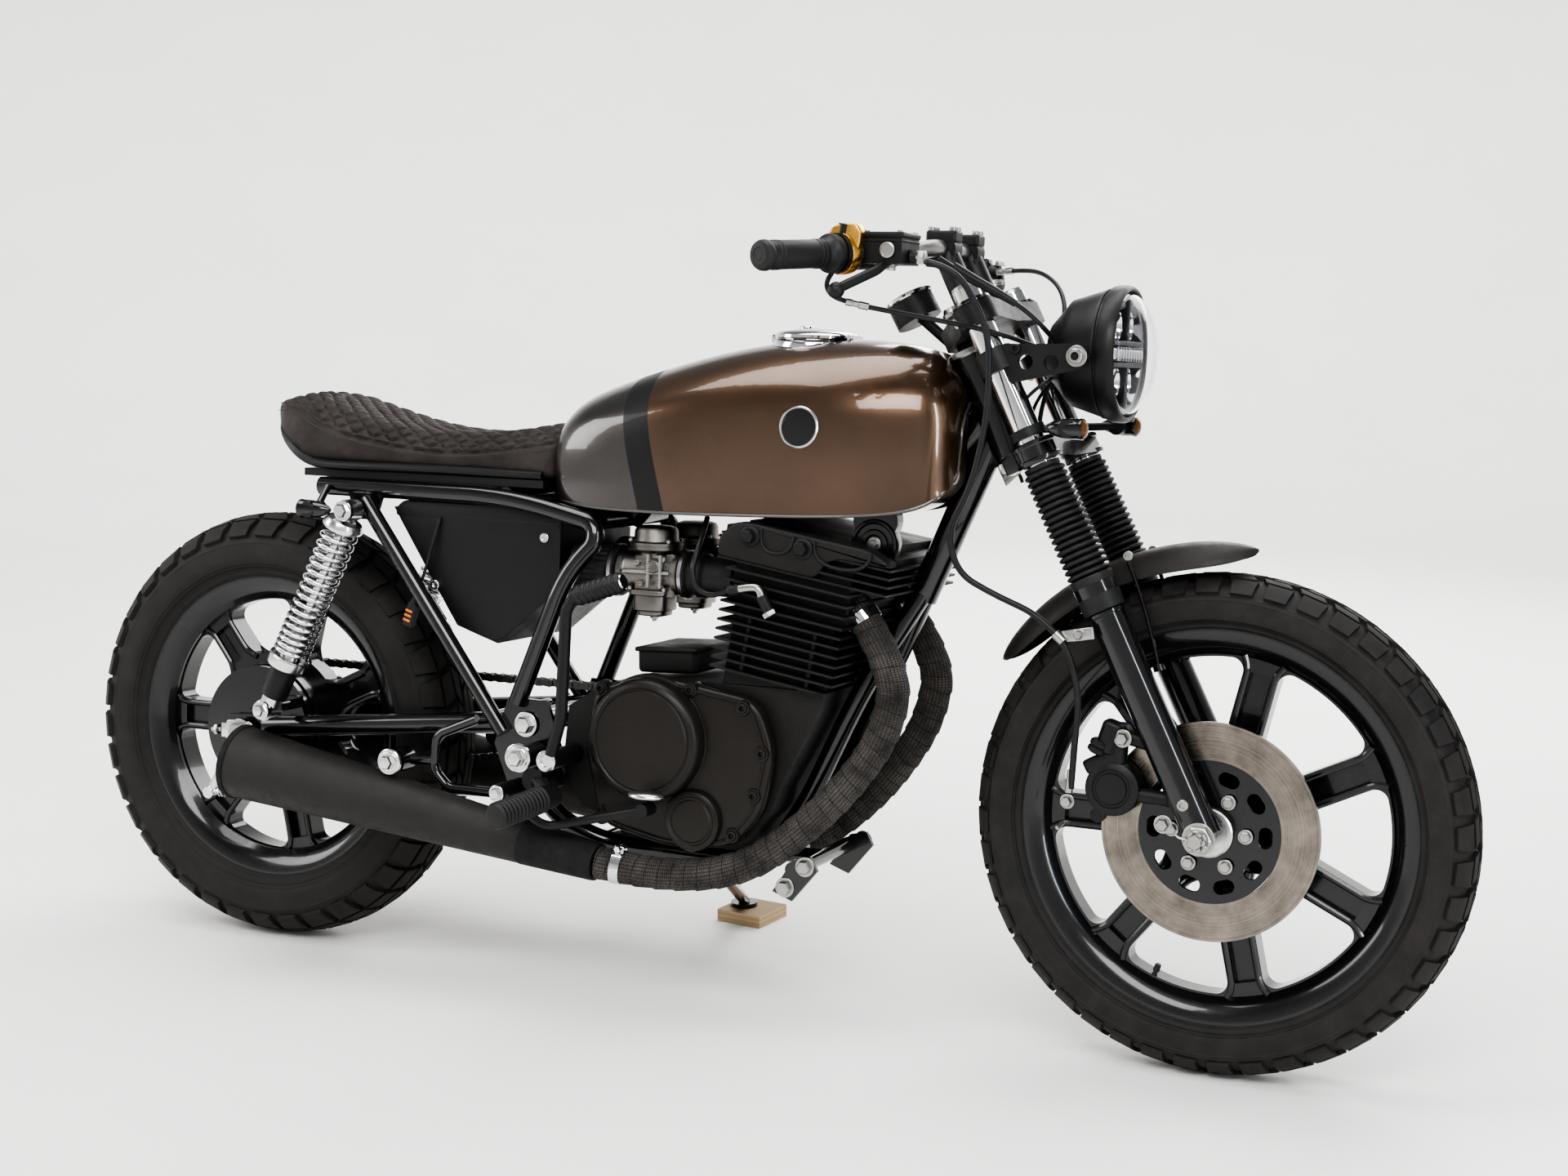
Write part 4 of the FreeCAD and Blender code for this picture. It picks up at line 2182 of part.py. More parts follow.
os.makedirs("parts", exist_ok=True)
for thing in NODES:
    shape = thing.Shape
    if shape.isNull() or not shape.isValid():
        raise RuntimeError(f"{thing.Label} has no valid shape")
    shape.exportStep(f"parts/{thing.Label}.step")
    print(thing.Label, round(shape.Volume / 1000), "cm3", len(shape.Solids), "solids", len(shape.Faces))
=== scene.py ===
"""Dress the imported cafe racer.

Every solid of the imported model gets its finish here, and the pieces that are too soft or too fine
for solids are made as surfaces: tyres with tread, the quilted saddle, coil springs, wrapped header
pipes, cables, bolts and trim. Shapes are worked out in millimetres on the upright machine, with X
forward from the rear axle, Y to the machine's left and Z up from the floor. One placement leans
them with the machine.
"""

import json
import logging
import math
from collections.abc import Iterable, Sequence
from dataclasses import dataclass, field
from enum import Enum
from functools import cache

import bmesh
import bpy
import numpy as np
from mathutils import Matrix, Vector


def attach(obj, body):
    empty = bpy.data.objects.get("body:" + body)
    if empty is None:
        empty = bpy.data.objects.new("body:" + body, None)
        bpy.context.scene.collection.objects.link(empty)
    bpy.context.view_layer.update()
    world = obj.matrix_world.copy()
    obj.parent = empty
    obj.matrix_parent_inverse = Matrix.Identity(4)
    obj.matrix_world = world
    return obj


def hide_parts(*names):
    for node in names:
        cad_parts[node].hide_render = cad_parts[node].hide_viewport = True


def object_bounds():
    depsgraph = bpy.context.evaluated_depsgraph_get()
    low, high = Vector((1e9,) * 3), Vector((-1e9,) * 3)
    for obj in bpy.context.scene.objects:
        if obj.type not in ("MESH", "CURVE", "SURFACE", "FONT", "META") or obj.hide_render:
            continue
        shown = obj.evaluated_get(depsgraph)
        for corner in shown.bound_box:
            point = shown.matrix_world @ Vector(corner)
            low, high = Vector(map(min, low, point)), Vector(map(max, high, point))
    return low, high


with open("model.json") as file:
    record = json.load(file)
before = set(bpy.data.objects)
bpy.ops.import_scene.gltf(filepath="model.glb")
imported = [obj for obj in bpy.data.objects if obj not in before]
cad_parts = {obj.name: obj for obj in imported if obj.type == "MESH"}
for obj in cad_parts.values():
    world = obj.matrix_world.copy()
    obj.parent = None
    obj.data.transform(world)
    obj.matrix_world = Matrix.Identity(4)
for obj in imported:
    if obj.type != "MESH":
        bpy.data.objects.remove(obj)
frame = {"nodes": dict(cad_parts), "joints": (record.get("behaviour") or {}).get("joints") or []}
CAD_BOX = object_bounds()

log = logging.getLogger("cafe_racer")

MM = 0.001
RIGHT = -1
LEFT = 1
SIDES = (RIGHT, LEFT)
REAR_AXLE_HEIGHT = 308.0
FRONT_AXLE = np.array((1385.0, 0.0, 309.5))
REAR_AXLE = np.array((0.0, 0.0, REAR_AXLE_HEIGHT))
RAKE = math.radians(27.0)
FORK_UP = np.array((-math.sin(RAKE), 0.0, math.cos(RAKE)))
FORK_AHEAD = np.array((math.cos(RAKE), 0.0, math.sin(RAKE)))
FORK_SIDE = 88.0
AHEAD = np.array((1.0, 0.0, 0.0))
ACROSS = np.array((0.0, 1.0, 0.0))
UP = np.array((0.0, 0.0, 1.0))
ORIGIN = np.zeros(3)
SQUARE = np.eye(3)
SHARP_DEGREES = 32.0


class Body(Enum):
    """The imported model's bodies that finished pieces ride on."""

    CHASSIS = "chassis"
    STEERING = "steering"
    FRONT_WHEEL = "front_wheel"
    REAR_WHEEL = "rear_wheel"


class Slot(Enum):
    """The record's material slots by name; the pieces here take their finishes from the finishes below
    instead.
    """

    ENGINE = "engine_black"
    ALLOY = "cast_alloy"
    WRAP = "pipe_wrap"
    MUFFLER = "muffler_black"
    TANK = "tank_paint"
    CHROME = "bright_chrome"
    LEATHER = "saddle_leather"
    SATIN = "satin_black"
    STEEL = "steel"
    DAMPER = "damper_silver"
    SLIDER = "slider_black"
    WHEEL = "wheel_black"
    RUBBER = "soft_rubber"
    TYRE = "tyre_rubber"
    GLASS = "lamp_glass"


# Places


def spin_joint(name: str) -> dict:
    """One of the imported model's joints by name."""
    return next(joint for joint in frame["joints"] if joint["name"] == name)


def placement() -> tuple[np.ndarray, np.ndarray]:
    """The lean of the whole machine, read from the rear wheel's joint.

    Returns:
        The matrix whose columns are the machine's ahead, left and up directions, and the place of
        its floor origin, in metres.
    """
    joint = spin_joint("rear_wheel_spin")
    left = np.array(joint["axis"], float)
    turned = np.stack((AHEAD, left, np.cross(AHEAD, left)), axis=1)
    return turned, np.array(joint["pos_m"], float) - turned @ REAR_AXLE * MM


LEAN, FLOOR_ORIGIN = placement()


def leaned(points: np.ndarray) -> np.ndarray:
    """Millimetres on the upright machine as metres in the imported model's frame."""
    return points @ LEAN.T * MM + FLOOR_ORIGIN


def along_fork(along: float, ahead: float = 0.0, side: float = 0.0) -> np.ndarray:
    """A point by its height up the fork, its distance ahead of the legs and its side."""
    return FRONT_AXLE + FORK_UP * along + FORK_AHEAD * ahead + ACROSS * side


def point(*values: float) -> np.ndarray:
    """A point or direction as an array."""
    return np.array(values, float)


def unit(vector: np.ndarray) -> np.ndarray:
    """Vectors at length one, along their last axis."""
    return vector / np.linalg.norm(vector, axis=-1, keepdims=True)


def axes_for(direction: np.ndarray, hint: np.ndarray = UP) -> tuple[np.ndarray, np.ndarray]:
    """Two directions square to one direction and to each other.

    Args:
        direction: The third direction.
        hint: What the second result lies nearest to.

    Returns:
        The directions, so that first x second points along direction.
    """
    direction = unit(direction)
    too_close = 0.95
    if abs(direction @ hint) > too_close:
        hint = AHEAD
    first = unit(np.cross(hint, direction))
    return first, np.cross(direction, first)


# Shapes: points and faces worked out as whole arrays


@dataclass
class Form:
    """A shape's points and its faces.

    Attributes:
        points: An array of (count, 3), in millimetres on the upright machine.
        faces: Arrays of (count, corners) of point numbers.
        maps: One array of (count, corners, 2) for each array of faces, or none.
    """

    points: np.ndarray
    faces: list[np.ndarray]
    maps: list[np.ndarray] = field(default_factory=list)

    def shifted(self, shift: np.ndarray) -> "Form":
        """The form moved without a turn."""
        return Form(self.points + shift, self.faces, self.maps)


def joined(forms: Iterable[Form]) -> Form:
    """Several forms as one, each with its own points.

    Args:
        forms: What is put together.

    Returns:
        The whole, with maps where every form has them.
    """
    forms = list(forms)
    starts = np.cumsum([0] + [len(form.points) for form in forms[:-1]])
    faces = [part + start for form, start in zip(forms, starts) for part in form.faces]
    maps = [part for form in forms for part in form.maps]
    if len(maps) != len(faces):
        maps = []
    return Form(np.concatenate([form.points for form in forms]), faces, maps)


def repeated(form: Form, turns: np.ndarray, shifts: np.ndarray) -> Form:
    """Copies of a form: copy k has each point p at turns[k] p + shifts[k].

    Args:
        form: What is copied.
        turns: A matrix for each copy, as (count, 3, 3).
        shifts: A shift for each copy.

    Returns:
        All the copies as one form.
    """
    count = len(shifts)
    size = len(form.points)
    points = np.einsum("kij,nj->kni", turns, form.points) + shifts[:, None, :]
    steps = np.arange(count) * size
    faces = [(part[None] + steps[:, None, None]).reshape(-1, part.shape[1]) for part in form.faces]
    maps = [np.tile(part, (count, 1, 1)) for part in form.maps]
    return Form(points.reshape(-1, 3), faces, maps)


def scattered(form: Form, spots: Sequence[np.ndarray]) -> Form:
    """Unturned copies of a form at several points."""
    return repeated(form, np.tile(SQUARE, (len(spots), 1, 1)), np.array(spots, float))


def about(axis: np.ndarray, angles: np.ndarray) -> np.ndarray:
    """Turns about an axis by each angle, as matrices, by Rodrigues' formula.

    Args:
        axis: The axis, of any length.
        angles: The angles in radians.

    Returns:
        The matrices, as (count, 3, 3).
    """
    x, y, z = unit(axis)
    skew = np.array(((0, -z, y), (z, 0, -x), (-y, x, 0)))
    angles = np.atleast_1d(angles)[:, None, None]
    return SQUARE + np.sin(angles) * skew + (1 - np.cos(angles)) * (skew @ skew)


def pitched(angle: float) -> np.ndarray:
    """A turn about the machine's left direction by one angle in radians."""
    return about(ACROSS, np.array(angle))[0]


def ring_of(form: Form, centre: np.ndarray, axis: np.ndarray, count: int, start: float = 0.0) -> Form:
    """Copies of a form spread evenly round an axis, the first of them turned by the start angle."""
    turns = about(axis, start + np.arange(count) * 2 * math.pi / count)
    return repeated(form, turns, centre - np.einsum("kij,j->ki", turns, centre))


def grid(
    points: np.ndarray, round_u: bool = False, round_v: bool = False, ends: bool = False
) -> Form:
    """A surface through a grid of points.

    Args:
        points: An array of (u count, v count, 3).
        round_u: Whether the last row joins the first.
        round_v: Whether the last column joins the first.
        ends: Whether the first and last rows are closed with a flat face.

    Returns:
        The surface, with a map that spreads over the grid.
    """
    rows, columns = points.shape[:2]
    u, v = np.meshgrid(
        np.arange(rows if round_u else rows - 1),
        np.arange(columns if round_v else columns - 1),
        indexing="ij",
    )
    u, v = u.ravel(), v.ravel()
    corners = ((u, v), (u + 1, v), (u + 1, v + 1), (u, v + 1))
    quads = np.stack([(a % rows) * columns + b % columns for a, b in corners], axis=1)
    mapped = np.stack([np.stack((a / rows, b / columns), axis=1) for a, b in corners], axis=1)
    faces, maps = [quads], [mapped]
    if ends:
        first = np.arange(columns)[None, :]
        last = first[:, ::-1] + (rows - 1) * columns
        faces += [first[:, ::-1], last[:, ::-1]]
        maps += [np.zeros((1, columns, 2)), np.zeros((1, columns, 2))]
    return Form(points.reshape(-1, 3), faces, maps)


def circle(count: int) -> np.ndarray:
    """Cosines and sines of angles spread evenly round a circle, as (count, 2)."""
    angles = np.arange(count) * 2 * math.pi / count
    return np.stack((np.cos(angles), np.sin(angles)), axis=1)


def tube(
    path: np.ndarray, radius: float | np.ndarray, sides: int = 12, hint: np.ndarray = ACROSS,
    flat: float = 1.0,
) -> Form:
    """A round bar along a path, closed at both ends.

    The ring at each path point is the point + radius (cos a n + sin a b), where b is the part of
    the hint that is square to the path, and n is square to both.

    Args:
        path: The centre line, as (count, 3).
        radius: One radius, or one for each path point.
        sides: Points in each ring.
        hint: A direction that the path never runs along.
        flat: The ring's breadth along the hint, as a share of its radius.

    Returns:
        The bar.
    """
    path = np.asarray(path, float)
    run = unit(np.gradient(path, axis=0))
    second = unit(hint - run * (run @ hint)[:, None])
    first = np.cross(second, run)
    radii = np.broadcast_to(np.asarray(radius, float), (len(path),))[:, None, None]
    turns = circle(sides)
    rings = turns[:, 0][None, :, None] * first[:, None] + flat * turns[:, 1][None, :, None] * second[:, None]
    return grid(path[:, None] + radii * rings, round_v=True, ends=True)


def rod(start: np.ndarray, end: np.ndarray, radius: float, sides: int = 16) -> Form:
    """A straight round bar from one point to another.

    The chamfer at each end is 0.16 of the radius, or a quarter of the length where that is less.

    Args:
        start: One end's middle.
        end: The other end's middle.
        radius: The bar's radius.
        sides: Points in each ring.

    Returns:
        The bar.
    """
    run = np.asarray(end, float) - np.asarray(start, float)
    length = float(np.linalg.norm(run))
    edge = min(radius * 0.16, length * 0.25)
    return lathe(((radius - edge, 0), (radius, edge), (radius, length - edge), (radius - edge, length)),
                 np.asarray(start, float), run, sides)


def lathe(
    profile: Sequence[tuple[float, float]], centre: np.ndarray, axis: np.ndarray, sides: int = 32,
    hollow: bool = False,
) -> Form:
    """A profile of (radius, distance along) turned round an axis.

    Args:
        profile: Radii and distances, from one end to the other.
        centre: Where the axis starts.
        axis: The axis direction, of any length.
        sides: Points round the axis.
        hollow: Whether the profile is a closed loop, as of a ring.

    Returns:
        The turned shape, closed at its ends unless it is hollow.
    """
    first, second = axes_for(np.asarray(axis, float))
    shape = np.array(profile, float)
    turns = circle(sides)
    around = turns[:, 0][:, None] * first + turns[:, 1][:, None] * second
    points = (
        np.asarray(centre, float)
        + shape[:, 0][:, None, None] * around[None]
        + shape[:, 1][:, None, None] * unit(np.asarray(axis, float))
    )
    return grid(points, round_u=hollow, round_v=True, ends=not hollow)


def flow(points: Sequence[Sequence[float]], steps: int = 10) -> np.ndarray:
    """A smooth line inside a run of control points: a quadratic B-spline held at its ends.

    Each span runs from the middle of one leg to the middle of the next, with the corner between
    them as its control point.

    Args:
        points: Control points, each of two or three numbers.
        steps: Points in each span.

    Returns:
        The line's points.
    """
    corners = np.array(points, float)
    if len(corners) == 2:
        return corners[0] + (corners[1] - corners[0]) * np.linspace(0, 1, steps)[:, None]
    middles = (corners[:-1] + corners[1:]) / 2
    starts = np.concatenate((corners[:1], middles[1:-1]))
    ends = np.concatenate((middles[1:-1], corners[-1:]))
    t = np.linspace(0, 1, steps, endpoint=False)[None, :, None]
    spans = (
        (1 - t) ** 2 * starts[:, None] + 2 * t * (1 - t) * corners[1:-1][:, None] + t**2 * ends[:, None]
    )
    return np.concatenate((spans.reshape(-1, 3), corners[-1:]))


def even(path: np.ndarray, count: int) -> np.ndarray:
    """Points spread evenly along a path's length.

    Args:
        path: The line, as (count, 3).
        count: How many points there are.

    Returns:
        The points.
    """
    steps = np.linalg.norm(np.diff(path, axis=0), axis=1)
    reach = np.concatenate(((0.0,), np.cumsum(steps)))
    wanted = np.linspace(0, reach[-1], count)
    return np.stack([np.interp(wanted, reach, path[:, axis]) for axis in range(3)], axis=1)


def slab(
    outline: Sequence[tuple[float, float]], low: float, high: float, origin: np.ndarray,
    across: np.ndarray, upward: np.ndarray, edge: float = 0.0,
) -> Form:
    """A flat plate of an outline, pushed from one depth to another along across x upward.

    With an edge, the rim is rounded by that radius at both faces, in three steps: at each angle
    the ring moves in along its corners' bisectors by edge (1 - sin) and deeper by edge (1 - cos).

    Args:
        outline: The plate's corners, along across and upward.
        low: The depth of one face.
        high: The depth of the other.
        origin: Where the outline and the depths are measured from.
        across: The outline's first direction.
        upward: Its second direction.
        edge: The rounding of the rims.

    Returns:
        The plate.
    """
    shape = np.array(outline, float)
    onward = unit(np.roll(shape, -1, axis=0) - shape)
    back = unit(shape - np.roll(shape, 1, axis=0))
    area = float(np.sum(shape[:, 0] * np.roll(shape[:, 1], -1) - np.roll(shape[:, 0], -1) * shape[:, 1]))
    turn = 1.0 if area > 0 else -1.0
    normal = turn * (np.stack((-onward[:, 1], onward[:, 0]), 1) + np.stack((-back[:, 1], back[:, 0]), 1))
    inset = shape + edge * normal / np.maximum(0.3, (1 + np.sum(onward * back, axis=1)))[:, None]
    depth_way = np.cross(across, upward)
    bend = np.linspace(0, math.pi / 2, 4)
    near = [(shape + (inset - shape) * (1 - math.sin(a)), edge * (1 - math.cos(a))) for a in bend]
    layers = [(ring, low + rise) for ring, rise in near] + [(ring, high - rise) for ring, rise in near[::-1]]
    if edge == 0.0:
        layers = [(shape, low), (shape, high)]
    points = np.stack([
        origin + ring[:, :1] * across + ring[:, 1:] * upward + depth * depth_way for ring, depth in layers
    ])
    return grid(points, round_v=True, ends=True)


def rounded_box(size: Sequence[float], centre: np.ndarray, turn: np.ndarray, edge: float) -> Form:
    """A box with chamfered edges: its size along the columns of turn, and its centre.

    Args:
        size: Its three sizes.
        centre: Its middle.
        turn: Its directions, as columns.
        edge: The chamfer's breadth.

    Returns:
        The box.
    """
    x, y, z = (value / 2 for value in size)
    outline = ((-x + edge, -y), (x - edge, -y), (x, -y + edge), (x, y - edge),
               (x - edge, y), (-x + edge, y), (-x, y - edge), (-x, -y + edge))
    return slab(outline, -z, z, np.asarray(centre, float), turn[:, 0], turn[:, 1], edge)


def ball(centre: np.ndarray, radius: float, sides: int = 20) -> Form:
    """A sphere as a turned half circle.

    Args:
        centre: Its middle.
        radius: Its radius.
        sides: Points round it.

    Returns:
        The sphere.
    """
    angles = np.linspace(-math.pi / 2, math.pi / 2, sides // 2 + 1)[1:-1]
    profile = [(radius * math.cos(a), radius * math.sin(a)) for a in angles]
    return lathe(profile, centre, UP, sides)


def hex_bolt(at: np.ndarray, way: np.ndarray, size: float, height: float, washer: float = 0.0) -> Form:
    """A hexagon head with a domed top, on a washer where it has one.

    Args:
        at: The middle of the seat.
        way: The direction that the head stands out in.
        size: The head's radius at its corners.
        height: The head's height.
        washer: The washer's radius.

    Returns:
        The head with its washer.
    """
    at = np.asarray(at, float)
    way = unit(np.asarray(way, float))
    thick = 1.6 if washer else 0.0
    head = lathe(((size * 0.98, 0), (size, height * 0.1), (size, height * 0.72), (size * 0.84, height),
                  (size * 0.1, height * 1.04)), at + way * thick, way, 6)
    if not washer:
        return head
    return joined((head, lathe(((washer, 0), (washer, thick * 0.8), (washer - 0.5, thick)), at, way, 28)))


def socket_bolt(at: np.ndarray, way: np.ndarray, radius: float, height: float) -> Form:
    """A round cap screw with a hexagon socket.

    Args:
        at: The middle of the seat.
        way: The direction that the head stands out in.
        radius: The head's radius.
        height: The head's height.

    Returns:
        The head.
    """
    sunk = height * 0.45
    profile = ((radius * 0.97, 0), (radius, height * 0.1), (radius, height * 0.85), (radius * 0.88, height),
               (radius * 0.56, height), (radius * 0.5, sunk), (radius * 0.05, sunk))
    return lathe(profile, at, way, 24)


# Pieces


def new_object(name: str, form: Form, sharp: float = SHARP_DEGREES) -> bpy.types.Object:
    """A mesh object of a form, leaned with the machine, smooth up to an angle in degrees.

    Args:
        name: The object's name.
        form: Its shape.
        sharp: The angle in degrees above which an edge stays sharp.

    Returns:
        The object.
    """
    mesh = bpy.data.meshes.new(name)
    mesh.vertices.add(len(form.points))
    mesh.vertices.foreach_set("co", leaned(form.points).astype(np.float32).ravel())
    corners = np.concatenate([part.ravel() for part in form.faces])
    totals = np.concatenate([np.full(len(part), part.shape[1]) for part in form.faces])
    mesh.loops.add(len(corners))
    mesh.loops.foreach_set("vertex_index", corners.astype(np.int32))
    mesh.polygons.add(len(totals))
    mesh.polygons.foreach_set("loop_start", (np.cumsum(totals) - totals).astype(np.int32))
    mesh.polygons.foreach_set("loop_total", totals.astype(np.int32))
    mesh.update(calc_edges=True)
    mesh.validate()
    if form.maps and len(mesh.loops) == len(corners):
        layer = mesh.uv_layers.new(name="UVMap")
        spots = np.concatenate([part.reshape(-1, 2) for part in form.maps])
        layer.data.foreach_set("uv", spots.astype(np.float32).ravel())
    shape = bmesh.new()
    shape.from_mesh(mesh)
    bmesh.ops.recalc_face_normals(shape, faces=shape.faces)
    shape.to_mesh(mesh)
    shape.free()
    mesh.polygons.foreach_set("use_smooth", np.ones(len(mesh.polygons), bool))
    mesh.set_sharp_from_angle(angle=math.radians(sharp))
    made = bpy.data.objects.new(name, mesh)
    bpy.context.scene.collection.objects.link(made)
    return made


def piece(
    name: str, form: Form, finish: "Finish", body: Body, replaces: str | None = None,
    sharp: float = SHARP_DEGREES,
) -> bpy.types.Object:
    """A finished piece that rides on a body.

    Args:
        name: The piece's own name.
        form: Its shape.
        finish: Its finish.
        body: The body that it rides on.
        replaces: The solid that it stands for, if any.
        sharp: The angle in degrees above which an edge stays sharp.

    Returns:
        The object.
    """
    made = new_object(name, form, sharp)
    made.data.materials.append(finish.material())
    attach(made, body.value)
    if replaces:
        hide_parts(replaces)
    log.info("%s: %d faces", name, len(made.data.polygons))
    return made


# Finishes


Socket = bpy.types.NodeSocket
Colour = tuple[float, float, float]


class Graph:
    """A material's nodes, built from the surface shader outwards."""

    def __init__(self, name: str) -> None:
        """Start a material with one surface shader.

        Args:
            name: The material's name.
        """
        self.material = bpy.data.materials.new(name)
        self.material.use_nodes = True
        self.tree = self.material.node_tree
        self.shader = self.tree.nodes["Principled BSDF"]

    def add(self, kind: str, **settings: object) -> bpy.types.Node:
        """Add a node and set its own properties.

        Args:
            kind: The node's kind, as the end of its type's name.
            **settings: The node's own properties.

        Returns:
            The node.
        """
        made = self.tree.nodes.new(f"ShaderNode{kind}")
        for name, value in settings.items():
            setattr(made, name, value)
        return made

    def put(self, socket: Socket, value: object) -> None:
        """Link a socket to another, or set its value.

        Args:
            socket: The socket that takes it.
            value: Another socket, a colour or a number.
        """
        if isinstance(value, bpy.types.NodeSocket):
            self.tree.links.new(value, socket)
        elif isinstance(value, tuple) and len(value) == 3 and socket.type == "RGBA":
            socket.default_value = (*value, 1.0)
        else:
            socket.default_value = value

    def surface(self, **values: object) -> None:
        """Set the shader's inputs: an underscore in a name stands for a space."""
        for name, value in values.items():
            self.put(self.shader.inputs[name.replace("_", " ")], value)

    def place(self, scale: Sequence[float] = (1, 1, 1), shift: Sequence[float] = (0, 0, 0),
              turn: Sequence[float] = (0, 0, 0), own_map: bool = False) -> Socket:
        """Object coordinates, or the piece's own map, shifted, turned and scaled.

        Args:
            scale: The scale along each axis.
            shift: The shift, after the turn.
            turn: The turn round each axis, in radians.
            own_map: Whether the piece's own map is used.

        Returns:
            The coordinates.
        """
        source = self.add("TexCoord").outputs["UV" if own_map else "Object"]
        mapping = self.add("Mapping", vector_type="POINT")
        for name, value in (("Location", shift), ("Rotation", turn), ("Scale", scale)):
            mapping.inputs[name].default_value = tuple(value)
        self.put(mapping.inputs["Vector"], source)
        return mapping.outputs["Vector"]

    def noise(self, where: Socket, scale: float, detail: float = 4.0, rough: float = 0.5) -> Socket:
        """Soft random spots at a scale per metre.

        Args:
            where: The coordinates that it is read at.
            scale: Its scale per metre.
            detail: How many finer layers it has.
            rough: How strong the finer layers are.

        Returns:
            A value from 0 to 1.
        """
        made = self.add("TexNoise")
        self.put(made.inputs["Vector"], where)
        for name, value in (("Scale", scale), ("Detail", detail), ("Roughness", rough)):
            made.inputs[name].default_value = value
        return made.outputs["Fac"]

    def cells(self, where: Socket, scale: float, feature: str = "F1") -> Socket:
        """Distances inside random cells at a scale per metre.

        Args:
            where: The coordinates that it is read at.
            scale: Its scale per metre.
            feature: Which distance is taken.

        Returns:
            The distance.
        """
        made = self.add("TexVoronoi", feature=feature)
        self.put(made.inputs["Vector"], where)
        made.inputs["Scale"].default_value = scale
        return made.outputs["Distance"]

    def sums(self, kind: str, *values: object) -> Socket:
        """One arithmetic step on two or three values.

        Args:
            kind: What is done.
            *values: What it is done to.

        Returns:
            The result.
        """
        made = self.add("Math", operation=kind)
        for socket, value in zip(made.inputs, values):
            self.put(socket, value)
        return made.outputs["Value"]

    def fit(self, value: Socket, low: float, high: float, new_low: float, new_high: float) -> Socket:
        """A value's range moved to another, held at its ends.

        Args:
            value: What is moved.
            low: The lower end of its range.
            high: The upper end.
            new_low: What the lower end becomes.
            new_high: What the upper end becomes.

        Returns:
            The moved value.
        """
        made = self.add("MapRange", clamp=True)
        for socket, number in zip(made.inputs, (value, low, high, new_low, new_high)):
            self.put(socket, number)
        return made.outputs["Result"]

    def blend(self, share: object, first: object, second: object) -> Socket:
        """Two colours mixed by a share of the second.

        Args:
            share: The share of the second colour.
            first: A colour or socket.
            second: A colour or socket.

        Returns:
            The mixed colour.
        """
        made = self.add("Mix", data_type="RGBA")
        self.put(made.inputs[0], share)
        self.put(made.inputs[6], first)
        self.put(made.inputs[7], second)
        return made.outputs[2]

    def relief(self, height: Socket, depth: float, strength: float = 1.0) -> Socket:
        """A bumped normal: the depth is in metres.

        Args:
            height: The surface's height from 0 to 1.
            depth: What a height of 1 stands for.
            strength: How much of it shows.

        Returns:
            The normal.
        """
        made = self.add("Bump")
        made.inputs["Strength"].default_value = strength
        made.inputs["Distance"].default_value = depth
        self.put(made.inputs["Height"], height)
        return made.outputs["Normal"]

    def axes(self, where: Socket) -> tuple[Socket, Socket, Socket]:
        """A vector's three parts.

        Args:
            where: The vector.

        Returns:
            Its parts along x, y and z.
        """
        made = self.add("SeparateXYZ")
        self.put(made.inputs[0], where)
        return tuple(made.outputs)


def shade(colour: Colour, share: float) -> Colour:
    """A colour made darker below 1 or lighter above it."""
    return tuple(min(1.0, part * share) for part in colour)


@dataclass(frozen=True)
class Finish:
    """A finish that makes its material the first time that it is asked for.

    Attributes:
        name: The material's name.
        colour: The base colour, linear.
        roughness: The surface's mean roughness.
    """

    name: str
    colour: Colour
    roughness: float

    @cache
    def material(self) -> bpy.types.Material:
        """The material of this finish.

        Returns:
            The material, which is made once.
        """
        graph = Graph(self.name)
        self.dress(graph)
        return graph.material

    def dress(self, graph: Graph) -> None:
        """Build the material's nodes."""
        raise NotImplementedError


@dataclass(frozen=True)
class Paint(Finish):
    """Paint or powder coat: a little colour drift, dust in the gloss and a fine skin.

    Attributes:
        coat: The clear coat's weight.
        skin: The depth of its orange peel, in metres.
        grain: The scale of that skin per metre.
        metallic: How metallic the paint is.
        shine: The strength of its mirror reflection: 0.5 is plain gloss.
    """

    coat: float = 0.0
    skin: float = 0.00005
    grain: float = 900.0
    metallic: float = 0.0
    shine: float = 0.35

    def dress(self, graph: Graph) -> None:
        """Colour drift by soft noise, smudged roughness and a fine bump.

        Args:
            graph: The material's nodes.
        """
        where = graph.place()
        drift = graph.noise(where, 14.0, 6.0, 0.6)
        smudge = graph.noise(where, 55.0, 8.0, 0.7)
        graph.surface(
            Base_Color=graph.blend(drift, shade(self.colour, 0.82), shade(self.colour, 1.2)),
            Roughness=graph.fit(smudge, 0.3, 0.75, self.roughness * 0.82, self.roughness * 1.28),
            Metallic=self.metallic, Coat_Weight=self.coat, Coat_Roughness=0.06, Specular_IOR_Level=self.shine,
            Normal=graph.relief(graph.noise(where, self.grain, 3.0), self.skin),
        )


